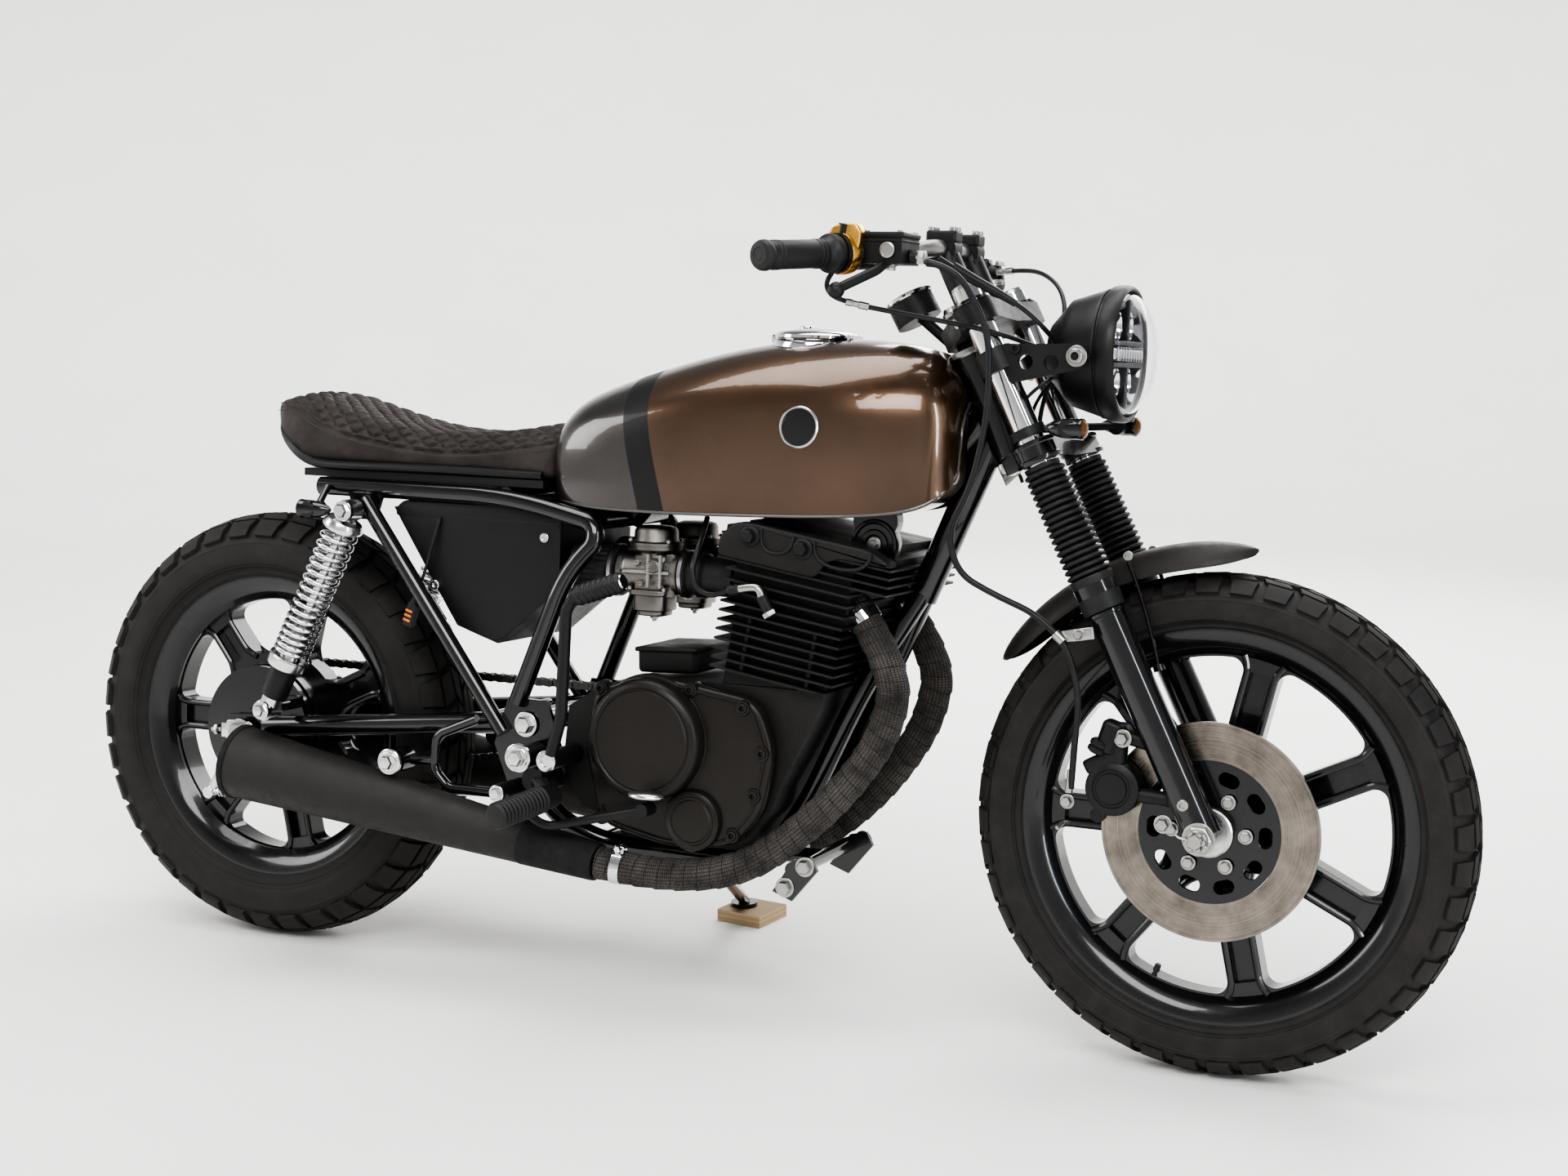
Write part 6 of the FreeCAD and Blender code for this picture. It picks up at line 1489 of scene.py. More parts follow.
@dataclass
class WheelTrim:
    """The rim's beads, the spokes' ridges and the valve of one cast wheel.

    Attributes:
        name: What the piece's names start with.
        body: The body that it rides on.
        centre: The axle's middle.
        lip: The rim's radius at the bead.
        rim: The rim's breadth.
        web: The radius where the spokes leave the hub.
        valve_angle: Where the valve stands, in degrees up from ahead.
    """

    name: str
    body: Body
    centre: np.ndarray
    lip: float
    rim: float
    web: float
    valve_angle: float
    spokes = 7
    barrel = 32.5

    def polar(self, radius: float, degrees: float, side: float) -> np.ndarray:
        """A point by its radius and angle round the axle, and its side."""
        turn = math.radians(degrees)
        return self.centre + point(radius * math.cos(turn), side, radius * math.sin(turn))

    def ridges(self) -> Form:
        """Two round ridges on each face of each spoke, which spread at the hub and at the rim.

        Each line is given as the distance from the axle and the distance from the spoke's middle.

        Returns:
            All the wheel's ridges.
        """
        floor = self.lip - self.barrel
        line = ((self.web - 6, 27), (self.web + 8, 18), (self.web + 26, 17.2), (floor - 34, 17.2),
                (floor - 10, 17.4), (floor + 1, 25.5))
        forms = [tube(flow([(far, face * 14.2, edge * off) for far, off in line], 6), 4.6, 10)
                 for face in SIDES for edge in SIDES]
        whole = joined(forms).shifted(self.centre)
        return ring_of(whole, self.centre, ACROSS, self.spokes, math.pi / self.spokes)

    def build(self) -> None:
        """Make the rim's beads, the ridges and the valve."""
        bead = ((-1, 0), (5.5, 0.5), (7, 3), (5.5, 5), (-1, 5.5))
        beads = [lathe([(self.lip + out, side * (self.rim / 2 - inward)) for out, inward in bead],
                       self.centre, ACROSS, 120, hollow=True) for side in SIDES]
        piece(f"{self.name}_rim_beads", joined(beads), WHEEL_BLACK, self.body)
        piece(f"{self.name}_spoke_ridges", self.ridges(), WHEEL_BLACK, self.body)
        foot = self.polar(self.lip - 14, self.valve_angle, RIGHT * 9)
        way = self.polar(self.lip - 60, self.valve_angle, RIGHT * 14) - foot
        profile = ((5, 0), (5, 6), (3.6, 9), (3.6, 22), (2.6, 23), (2.6, 26), (4.1, 26), (4.1, 34), (3, 36))
        stem = lathe(profile, foot, way, 16)
        piece(f"{self.name}_valve", stem, RUBBER, self.body)


# Saddle


@dataclass
class Saddle:
    """The quilted saddle: a padded hump with a stitched seam and a raised tail.

    Attributes:
        stations: Rows of distance ahead, underside, top and half breadth.
        seam: The seam's line on the side, ahead and up.
        quilt: The breadth of one quilted diamond.
        sunk: How deep the stitched lines lie.
        shrink: How far the hull is drawn in before the cloth fills it.
    """

    stations: tuple[tuple[float, float, float, float], ...] = (
        (22, 762, 789, 58), (42, 738, 792, 88), (68, 712, 792, 104), (100, 690, 786, 110),
        (160, 689, 768, 112), (230, 690, 750, 112), (310, 691, 742, 110), (390, 690, 746, 105),
        (450, 689, 755, 100), (496, 689, 768, 94),
    )
    seam: tuple[tuple[float, float], ...] = (
        (30, 770), (60, 773), (93, 768), (117, 752), (168, 737), (251, 724), (316, 719), (379, 722),
        (442, 731), (496, 741),
    )
    quilt: float = 30.0
    sunk: float = 3.4
    shrink: float = 4.0
    tail, nose = 22.0, 496.0
    middle_share = 0.42
    side_power, crown_power, foot_power = 0.46, 0.62, 0.3
    tumble = 0.05

    def at(self, ahead: np.ndarray, which: int) -> np.ndarray:
        """The underside, the top or the half breadth at a distance ahead.

        Args:
            ahead: The distances ahead.
            which: Which column of the stations is read.

        Returns:
            The heights or breadths.
        """
        rows = np.array(self.stations, float)
        path = flow([(row[0], row[which], 0) for row in rows], 8)
        return np.interp(ahead, path[:, 0], path[:, 1])

    def seam_height(self, ahead: np.ndarray) -> np.ndarray:
        """The seam's height at a distance ahead."""
        rows = np.array(self.seam, float)
        return np.interp(ahead, rows[:, 0], rows[:, 1])

    def hull(self) -> Form:
        """The saddle's skin, drawn in: at each distance ahead, a section with a crowned top.

        A section's point at the angle a lies across by half |cos a|^0.46 and up by |sin a|^0.62 of
        the top's height over the middle, with its foot flat on the pan. Each point then moves
        towards the middle line by the shrink.

        Returns:
            The skin.
        """
        ahead = np.concatenate((np.linspace(22, 70, 14), np.linspace(78, 488, 42), (492.0, 496.0)))
        low, high, half = (self.at(ahead, k) for k in (1, 2, 3))
        a = np.linspace(0, 2 * math.pi, 64, endpoint=False)
        c, s = np.cos(a), np.sin(a)
        across = np.sign(c) * np.abs(c) ** self.side_power
        rise = np.where(s >= 0, np.abs(s) ** self.crown_power, -np.abs(s) ** self.foot_power)
        middle = (low + (high - low) * self.middle_share)[:, None]
        above, under = high[:, None] - middle, middle - low[:, None]
        up = np.where(rise >= 0, middle + rise * above, middle + rise * under)
        ends = np.minimum(1.0, 0.82 + 0.18 * np.sqrt(np.clip((self.nose - ahead) / 12, 0, 1)))[:, None]
        wide = half[:, None] * across * ends * (1 - self.tumble * np.clip(rise, 0, 1))
        points = np.stack((np.broadcast_to(ahead[:, None], up.shape), wide, up), axis=2)
        middle_line = np.stack((ahead, 0 * ahead, low + (high - low) / 2), 1)[:, None]
        return grid(points - unit(points - middle_line) * self.shrink, round_v=True, ends=True)

    def swollen(self) -> tuple[np.ndarray, list[np.ndarray]]:
        """The skin filled by a cloth simulation, as points in millimetres and faces.

        The hull is remeshed and blown up under pressure for twenty frames, and each point's way is
        capped.

        Returns:
            The points, and one array of faces with four corners.
        """
        voxel, pressure, last_frame, cap = 0.0055, 4.0, 20, 6.0 * MM
        made = new_object("saddle_cushion", self.hull())
        remesh = made.modifiers.new("remesh", "REMESH")
        remesh.mode = "VOXEL"
        remesh.voxel_size = voxel
        self.settle(made)
        start = self.read(made)
        cloth = made.modifiers.new("cloth", "CLOTH")
        cloth.settings.use_pressure = True
        cloth.settings.uniform_pressure_force = pressure
        cloth.settings.effector_weights.gravity = 0.0
        cloth.point_cache.frame_start, cloth.point_cache.frame_end = 1, last_frame
        scene = bpy.context.scene
        for number in range(1, last_frame + 1):
            scene.frame_set(number)
        end = self.read(made, evaluated=True)
        scene.frame_set(1)
        made.modifiers.remove(cloth)
        way = end - start
        length = np.linalg.norm(way, axis=1, keepdims=True)
        start += way * np.minimum(1.0, cap / np.maximum(length, 1e-9))
        made.data.vertices.foreach_set("co", start.astype(np.float32).ravel())
        made.data.update()
        made.modifiers.new("even", "SUBSURF").levels = 1
        made.modifiers["even"].render_levels = 1
        self.settle(made)
        mesh = made.data
        points = (self.read(made) - FLOOR_ORIGIN) @ LEAN / MM
        corners = np.zeros(len(mesh.loops), np.int32)
        mesh.loops.foreach_get("vertex_index", corners)
        bpy.data.objects.remove(made)
        return points, [corners.reshape(-1, 4)]

    @staticmethod
    def settle(made: bpy.types.Object) -> None:
        """Put an object's modifiers into its mesh.

        Args:
            made: The object.
        """
        graph = bpy.context.evaluated_depsgraph_get()
        mesh = bpy.data.meshes.new_from_object(made.evaluated_get(graph))
        made.modifiers.clear()
        made.data = mesh

    @staticmethod
    def read(made: bpy.types.Object, evaluated: bool = False) -> np.ndarray:
        """An object's points, before or after its modifiers.

        Args:
            made: The object.
            evaluated: Whether its modifiers are counted.

        Returns:
            The points in metres.
        """
        if evaluated:
            made = made.evaluated_get(bpy.context.evaluated_depsgraph_get())
        mesh = made.data
        values = np.zeros(len(mesh.vertices) * 3, np.float32)
        mesh.vertices.foreach_get("co", values)
        return values.reshape(-1, 3).astype(float)

    def quilted(self, points: np.ndarray) -> np.ndarray:
        """Points pressed in along the quilt's diagonals and along the seam.

        The press at a point is the greatest of exp(-(d / w)^2) over the stitched lines, where d is
        the distance to the line. The quilt fades out at the panel's edge and the tail.

        Args:
            points: The points of the cushion.

        Returns:
            The pressed points.
        """
        x, y, z = points.T
        stitch_width, groove_width, puff_height, groove_depth = 2.6, 2.2, 1.3, 3.0
        samples = np.linspace(self.tail, self.nose, 100)
        slope = np.gradient(self.at(samples, 2), samples)
        along = np.interp(x, samples, np.cumsum(np.sqrt(1 + slope**2)) * (self.nose - self.tail) / 99)
        seam = self.seam_height(x)
        side = np.sign(y) * (np.abs(y) + np.clip(seam + 28 - z, 0, 26) * 0.9)
        first = np.abs(((along + side) / self.quilt) % 1 - 0.5) * self.quilt / math.sqrt(2)
        second = np.abs(((along - side) / self.quilt) % 1 - 0.5) * self.quilt / math.sqrt(2)
        line = np.minimum(first, second)
        inside = np.clip((z - seam - 1) / 5, 0, 1) * np.clip((x - 34) / 10, 0, 1)
        press = self.sunk * np.exp(-((line / stitch_width) ** 2)) * inside
        puff = puff_height * np.clip(line / 8, 0, 1) * inside
        side_wall = z > self.at(x, 1) + 14
        groove = groove_depth * np.exp(-(((z - seam) / groove_width) ** 2)) * side_wall
        middle = np.stack((x, 0 * y, self.at(x, 1) + 0.25 * (self.at(x, 2) - self.at(x, 1))), 1)
        way = points - middle
        way[:, 0] = 0
        way = way / np.maximum(1.0, np.linalg.norm(way, axis=1, keepdims=True))
        return points + way * (puff - press - groove)[:, None]

    def stitches(self) -> Form:
        """Two rows of stitches beside the seam on each side, which lie on the hull's section.

        Returns:
            All the stitches.
        """
        line = even(flow([(x, 0, z) for x, z in self.seam], 8), 118)
        run = unit(np.gradient(line, axis=0))
        forms = []
        for side in SIDES:
            for offset in (-5.0, 5.0):
                low, high, half = (self.at(line[:, 0], k) for k in (1, 2, 3))
                middle = low + (high - low) * self.middle_share
                share = np.clip((line[:, 2] + offset - middle) / (high - middle), 0, 0.98)
                cosine = np.sqrt(np.maximum(0.0, 1 - share ** (2 / self.crown_power)))
                out = half * cosine**self.side_power * (1 - self.tumble * share) - 0.6
                places = np.stack((line[:, 0], side * out, line[:, 2] + offset), 1)[4:-3]
                ways = run[4:-3]
                seconds = np.tile(ACROSS * side, (len(ways), 1))
                thirds = np.cross(ways, seconds)
                turns = np.stack((ways, seconds, thirds), axis=2)
                stitch = lathe(((0.2, -1.8), (0.65, -1.2), (0.8, 0), (0.65, 1.2), (0.2, 1.8)),
                               ORIGIN, AHEAD, 6)
                forms.append(repeated(stitch, turns, places))
        return joined(forms)

    def build(self) -> None:
        """Make the saddle, its seam stitches and its foot bead."""
        points, faces = self.swollen()
        form = Form(self.quilted(points), faces)
        pad = piece("quilted_saddle", form, SADDLE, Body.CHASSIS, "seat_pad", 60)
        piece("saddle_stitches", self.stitches(), THREAD, Body.CHASSIS)
        ahead = np.linspace(23, 470, 60)
        edge = np.stack((ahead + 3, self.at(ahead, 3) * 0.9, self.at(ahead, 1) + 5), 1)
        tail = [(24.5, y, 767) for y in (30, 0, -30)]
        line = flow(np.concatenate((edge[::-4], tail, (edge * (1, -1, 1))[3::4])), 4)
        band = tube(line, 8.4, 12, hint=UP + ACROSS * 0.01, flat=0.8)
        piece("saddle_edge_band", band, SATIN_BLACK, Body.CHASSIS)


# Suspension


@dataclass
class CoilSpring:
    """A shock absorber's coil spring, wound closer towards its foot.

    Attributes:
        low: The shock's lower eye.
        high: The shock's upper eye.
        side: The shock's distance from the machine's middle.
        start: Where the spring starts, up from the lower eye.
        end: Where it ends.
        radius: The coil's mean radius.
        wire: The wire's radius.
        turns: The number of turns.
    """

    low: tuple[float, float] = (78.0, 353.0)
    high: tuple[float, float] = (209.0, 637.0)
    side: float = 150.0
    start: float = 86.0
    end: float = 284.0
    radius: float = 22.6
    wire: float = 3.4
    turns: float = 16.5

    def line(self, side: int) -> tuple[np.ndarray, np.ndarray]:
        """The lower eye and the direction of the shock on one side."""
        foot = point(self.low[0], self.side * side, self.low[1])
        return foot, unit(point(self.high[0], self.side * side, self.high[1]) - foot)

    def coil(self, side: int) -> Form:
        """The wire: at the share t of its turns it has climbed 0.25 t + 0.75 t^1.25 of the way.

        So its foot is wound closer, and its radius is a little less at both ends.

        Args:
            side: RIGHT or LEFT.

        Returns:
            The wound wire.
        """
        foot, way = self.line(side)
        first, second = axes_for(way, ACROSS)
        t = np.linspace(0, 1, int(self.turns * 26))
        angle = t * self.turns * 2 * math.pi
        ends = np.minimum(1, np.minimum(t, 1 - t) * self.turns / 1.2)
        rise = self.end - self.start - 2 * self.wire
        climb = self.start + self.wire + rise * (0.25 * t + 0.75 * t**1.25)
        radius = self.radius - 0.4 * (1 - ends)
        path = foot + way * climb[:, None] + radius[:, None] * (
            np.cos(angle)[:, None] * first + np.sin(angle)[:, None] * second)
        return tube(path, self.wire, 10, hint=way)

    def build(self) -> None:
        """Make both springs, their collars and their eye bolts."""
        piece("coil_springs", joined(self.coil(side) for side in SIDES), CHROME, Body.CHASSIS,
              "shock_springs", 60)
        collars, feet, bolts = [], [], []
        for side in SIDES:
            foot, way = self.line(side)
            outer = ACROSS * side
            collars += [lathe(profile, foot, way, 40) for profile in (
                ((14, 70), (27, 70), (28, 72), (28, 84), (26, 86), (14, 86)),
                ((12, 284), (27, 284), (28, 286), (28, 290), (24, 297), (12, 300)))]
            feet.append(lathe(((12, 20), (17.5, 22), (19, 26), (19, 66), (17, 69), (12, 69)), foot, way, 32))
            top = point(self.high[0], 0, self.high[1]) + outer * (self.side + 16)
            low = foot + outer * 17
            bolts += [hex_bolt(top, outer, 10, 8, 14), hex_bolt(low, outer, 9, 7, 13)]
        piece("spring_collars", joined(collars), POLISHED, Body.CHASSIS)
        piece("damper_feet", joined(feet), SATIN_BLACK, Body.CHASSIS)
        piece("shock_bolts", joined(bolts), CHROME, Body.CHASSIS)


# Exhaust


@dataclass
class Headers:
    """The two header pipes in their wrap, with the bands that hold it.

    Attributes:
        bends: The pipe's line on the right side, from the head to the muffler.
        radius: The wrapped pipe's radius.
        turn: The breadth of one turn of wrap.
        lift: How far a turn's edge stands over the next.
    """

    bends: tuple[tuple[float, float, float], ...] = (
        (915, 72, 560), (985, 78, 478), (974, 80, 395), (928, 90, 322), (866, 106, 256), (795, 118, 203),
        (690, 138, 186), (603, 150, 198),
    )
    radius: float = 20.2
    turn: float = 27.0
    lift: float = 1.7
    rising, falling = 0.93, 0.07
    wave_height, wave_length = 0.25, 31
    ring_spacing, sides = 2.4, 44

    def line(self, side: int) -> np.ndarray:
        """The pipe's smooth line on one side."""
        return flow([(x, y * side, z) for x, y, z in self.bends], 30)

    def wrap(self, side: int) -> Form:
        """A tube whose radius grows along each turn of wrap, so that its edge stands over the next.

        The growth is a saw tooth of the distance along plus the share round the pipe. It climbs
        through the rising share of each turn and drops in the falling one.

        Args:
            side: RIGHT or LEFT.

        Returns:
            The wrapped pipe.
        """
        line = self.line(side)
        length = np.linalg.norm(np.diff(line, axis=0), axis=1).sum()
        path = even(line, int(length / self.ring_spacing))
        run = unit(np.gradient(path, axis=0))
        hint = unit(ACROSS * side - run * (run @ (ACROSS * side))[:, None])
        first = np.cross(hint, run)
        around = np.arange(self.sides) / self.sides
        far = np.linspace(0, length, len(path))
        saw = (far[:, None] / self.turn + around[None]) % 1.0
        lift = self.lift * np.minimum(saw / self.rising, (1 - saw) / self.falling)
        dents = np.sin(around * 12 * math.pi)[None] * np.sin(far / self.wave_length)[:, None]
        radius = self.radius + lift + self.wave_height * dents
        angle = around * 2 * math.pi
        points = path[:, None] + radius[..., None] * (
            np.cos(angle)[None, :, None] * first[:, None] + np.sin(angle)[None, :, None] * hint[:, None])
        return grid(points, round_v=True, ends=True)

    def band(self, at: float, side: int) -> Form:
        """A steel clamp round the pipe at a share of its line, with its lug and screw.

        Args:
            at: The share of the pipe's line.
            side: RIGHT or LEFT.

        Returns:
            The clamp.
        """
        count = 400
        line = even(self.line(side), count)
        k = int(at * (count - 1))
        spot, way = line[k], unit(line[k + 1] - line[k - 1])
        ring = lathe(((self.radius + 0.8, -7), (self.radius + 2.4, -6.6), (self.radius + 2.4, 6.6),
                      (self.radius + 0.8, 7)), spot, way, 48)
        down = unit(np.cross(way, ACROSS * side))
        seat, out = spot + down * (self.radius + 5), ACROSS * side
        lug = rounded_box((13, 12, 7), seat, np.stack((way, ACROSS, down), 1), 1)
        screw = rod(seat - out * 9, seat + out * 9, 2.6)
        return joined((ring, lug, screw, hex_bolt(seat + out * 8, out, 5, 4)))

    def build(self) -> None:
        """Make both wrapped pipes and their bands."""
        piece("wrapped_headers", joined(self.wrap(side) for side in SIDES), WRAP, Body.CHASSIS,
              "headers", 60)
        bands = joined(self.band(at, side) for side in SIDES for at in (0.05, 0.955))
        piece("wrap_bands", bands, CHROME, Body.CHASSIS)


# Engine


def rounded_outline(corners: Sequence[tuple[float, float]], reach: float, steps: int = 5) -> np.ndarray:
    """An outline whose corners are quadratic curves between points at a reach from each corner.

    Args:
        corners: The corners in order.
        reach: How far from each corner its curve starts.
        steps: Points in each curve.

    Returns:
        The outline's points.
    """
    shape = np.array(corners, float)
    back = np.roll(shape, 1, axis=0) - shape
    onward = np.roll(shape, -1, axis=0) - shape
    limit = np.minimum(np.linalg.norm(back, axis=1), np.linalg.norm(onward, axis=1)) * 0.48
    far = np.minimum(reach, limit)[:, None]
    first, last = shape + unit(back) * far, shape + unit(onward) * far
    t = np.linspace(0, 1, steps)[None, :, None]
    curves = (1 - t) ** 2 * first[:, None] + 2 * t * (1 - t) * shape[:, None] + t**2 * last[:, None]
    return curves.reshape(-1, 2)


def side_slab(corners: Sequence[tuple[float, float]], side: int, inner: float, outer: float,
              edge: float = 0.0, reach: float = 0.0) -> Form:
    """A plate that faces the machine's side: its outline is given ahead and up, with rounded corners.

    Args:
        corners: The outline's corners.
        side: Which side it faces.
        inner: The near face's distance from the machine's middle.
        outer: The far face's distance.
        edge: The rounding of its rims.
        reach: The rounding of its corners.

    Returns:
        The plate.
    """
    outline = rounded_outline(corners, reach) if reach else np.array(corners, float)
    low, high = sorted((side * inner, side * outer))
    return slab(outline, -high, -low, ORIGIN, AHEAD, UP, edge)


CYLINDER_TILT = math.radians(9.0)
DECK = np.array((829.0, 0.0, 443.3))


def tilted(along: float, up: float, side: float = 0.0) -> np.ndarray:
    """A point in the tilted cylinders' own directions, from the middle of the deck."""
    return DECK + pitched(CYLINDER_TILT) @ point(along, side, up)


@dataclass
class Engine:
    """Covers, the cam cover's sides, dampers, spark leads, breather box, horn and all their bolts.

    Attributes:
        plate: The right cover's outline, ahead and up.
        plate_bolts: The places of its screws.
        cam_side: The outline of the cam cover's side, in the tilted cylinders' directions.
        clutch: The middle of the clutch cover's foot.
        generator: The middle of the generator cover's foot.
        lead: The right spark lead's line.
    """

    plate: tuple[tuple[float, float], ...] = (
        (572, 346), (584, 424), (660, 450), (818, 428), (844, 363), (828, 282), (786, 234), (698, 226),
        (598, 246),
    )
    plate_bolts: tuple[tuple[float, float], ...] = (
        (596, 425), (660, 436), (725, 434), (800, 417), (828, 361), (818, 306), (790, 252), (600, 256),
    )
    cam_side: tuple[tuple[float, float], ...] = (
        (-105, 150), (-105, 176), (-88, 197), (-60, 201), (98, 201), (126, 191), (130, 184), (62, 181),
        (44, 171), (34, 150),
    )
    clutch: tuple[float, float, float] = (668, -128, 366)
    generator: tuple[float, float, float] = (780, 108.3, 366)
    lead: tuple[tuple[float, float, float], ...] = (
        (716, 84, 652), (727, 128, 618), (721, 139, 588), (732, 141, 563), (756, 141, 556), (776, 140, 566),
    )
    fin_pitch = 12.25
    mounts = ((875, 214), (848, 184))
    cam_bolts = (-62, 12)

    def covers(self) -> Form:
        """The clutch and generator covers, with rounded rims and raised rings.

        Returns:
            The castings, with the bolts' bosses.
        """
        clutch = lathe(((84, 0), (84, 6), (82.5, 9.5), (80, 10.5), (79.6, 24), (77.6, 30), (73.5, 34),
                        (68.5, 35.6), (66.8, 34.2), (65.4, 34.2), (63.8, 35.8), (40, 36.6), (0.3, 37)),
                       self.clutch, -ACROSS, 96)
        cap = lathe(((40, 0), (40, 5), (38.4, 8.6), (35.4, 10.4), (32.6, 10.8), (31, 9.2), (28, 9.2),
                     (26.4, 10.8), (0.3, 12)), point(735, -138, 266), -ACROSS, 64)
        bosses = [lathe(((10.5, 0), (10.5, 17), (9.2, 19.4), (7, 20), (6.6, 14), (0.3, 14)),
                        point(x, -121, z), -ACROSS, 24) for x, z in self.plate_bolts]
        generator = lathe(((76, 0), (76, 20), (74.4, 26), (70, 29), (65, 29.7), (63.4, 31), (62, 35),
                           (58.5, 37.6), (54, 38), (30, 38.6), (0.3, 39)), self.generator, ACROSS, 96)
        left = side_slab(((522, 305), (760, 269), (760, 425), (556, 411)), LEFT, 108.3, 116, 3, 22)
        right = side_slab(self.plate, RIGHT, 115.3, 138, 7, 24)
        inner = rounded_outline([(x * 0.93 + 49, z * 0.93 + 24) for x, z in self.plate], 20)
        rib = tube(np.array([(x, -139, z) for x, z in inner]), 1.6, 6)
        return joined((right, clutch, cap, *bosses, generator, left, rib))

    def cam_cover(self) -> Form:
        """The cam cover's cast sides over the head's upper fins, with ribs and domed bolt bosses.

        Returns:
            The castings of both sides.
        """
        outline = np.array([tilted(a, u)[[0, 2]] for a, u in rounded_outline(self.cam_side, 8)])
        forms = []
        for side in SIDES:
            forms.append(side_slab(outline, side, 94, 124.4, 4))
            for along in self.cam_bolts:
                seat = tilted(along, 184, side * 123)
                forms.append(lathe(((14, 0), (13.4, 3), (11, 4.6), (0.3, 5)), seat, ACROSS * side, 28))
            for start, end in ((-48, -2), (26, 104)):
                arch = flow([tilted(start, 197, side * 124.6), tilted(start, 168, side * 124.6),
                             tilted(end, 172, side * 124.6), tilted(end, 197, side * 124.6)], 6)
                forms.append(tube(arch, 2.4, 8))
        return joined(forms)

    def small_bolts(self) -> Form:
        """Dark cap screws in the covers' bosses and hexagon heads on the cam cover.

        Returns:
            All the screws and heads.
        """
        screws = [socket_bolt(point(x, -137, z), -ACROSS, 6.4, 6) for x, z in self.plate_bolts]
        heads = [hex_bolt(tilted(along, 184, side * 127.5), ACROSS * side, 9, 7, 11)
                 for side in SIDES for along in self.cam_bolts]
        ahead, _, up = self.generator
        left = [socket_bolt(point(ahead + 70 * math.cos(a), 137.4, up + 70 * math.sin(a)), ACROSS, 5.5, 6)
                for a in np.radians((20, 100, 160, 220, 300))]
        return joined((*screws, *heads, *left))

    def dampers(self) -> Form:
        """Rubber blocks pressed between the barrel's fins near their edge.

        Returns:
            The blocks of both sides.
        """
        block = rounded_box((5.5, 8, 9.2), ORIGIN, pitched(CYLINDER_TILT), 0.8)
        return scattered(block, [tilted(along, self.fin_pitch * k + 4.6, side * 118.5) for side in SIDES
                                 for along in (-44, 48) for k in range(1, 7)])

    def leads(self) -> tuple[Form, Form, Form]:
        """Spark leads from under the tank, their boots with metal elbows, and the plugs.

        Returns:
            The cords, the rubber boots and the metal parts.
        """
        cords, caps, metal = [], [], []
        for side in SIDES:
            line = flow([(x, y * side, z) for x, y, z in self.lead], 8)
            cords.append(tube(line, 3.6, 10, hint=UP + AHEAD * 0.4))
            boot = point(774, 140 * side, 565)
            elbow = point(811, 138 * side, 573)
            way = elbow - boot
            caps.append(tube(np.linspace(boot, boot + way * 0.42, 6), np.array((5, 7, 7, 6.2, 7, 7)), 16))
            bend = [boot + way * 0.4, elbow - (6, 0, 1), elbow + (8, 0, -2), elbow + (10, 0, -14)]
            metal.append(tube(flow(bend, 6), 5.4, 16))
            seat = point(831, 134 * side, 540)
            caps.append(rod(elbow + (9, 0, -11), seat, 7.5, 20))
            metal.append(lathe(((9, -3), (9.5, -2), (9.5, 3), (8, 4), (0.3, 4)), seat, seat - elbow, 6))
        return joined(cords), joined(caps), joined(metal)

    def horn(self) -> Form:
        """The horn's pressed face with its rings."""
        return lathe(((30.6, -16), (31.4, -14), (31.4, 1), (30, 3), (27, 3.4), (25, 1), (19, 0.8), (17.4, 3),
                      (12, 3.4), (10, 1.2), (0.3, 1.6)), point(945, -72, 631), -ACROSS, 48)

    def build(self) -> None:
        """Make the engine's covers and small pieces."""
        body, slope = Body.CHASSIS, pitched(-0.05)
        piece("engine_cover_castings", self.covers(), COVER_BROWN, body, "engine_covers")
        piece("cam_cover_castings", self.cam_cover(), ENGINE_BLACK, body)
        piece("engine_small_bolts", self.small_bolts(), SATIN_BLACK, body)
        piece("fin_dampers", self.dampers(), RUBBER, body)
        cords, caps, metal = self.leads()
        piece("spark_leads", cords, HOSE, body)
        piece("spark_caps", caps, RUBBER, body)
        piece("spark_elbows", metal, ZINC, body)
        piece("horn_face", self.horn(), GLOSS_BLACK, body)
        breather = rounded_box((86, 120, 34), point(664, -28, 462), slope, 5)
        lid = rounded_box((92, 126, 6), point(664, -28, 476), slope, 2)
        piece("breather_box", joined((breather, lid)), ENGINE_BLACK, body)
        bolts = [hex_bolt(point(x, side * 98.2, z), ACROSS * side, 9.5, 7, 13)
                 for side in SIDES for x, z in self.mounts]
        bolts.append(hex_bolt(point(945, -73.4, 631), -ACROSS, 6, 4, 9))
        piece("engine_mount_bolts", joined(bolts), ZINC, body)


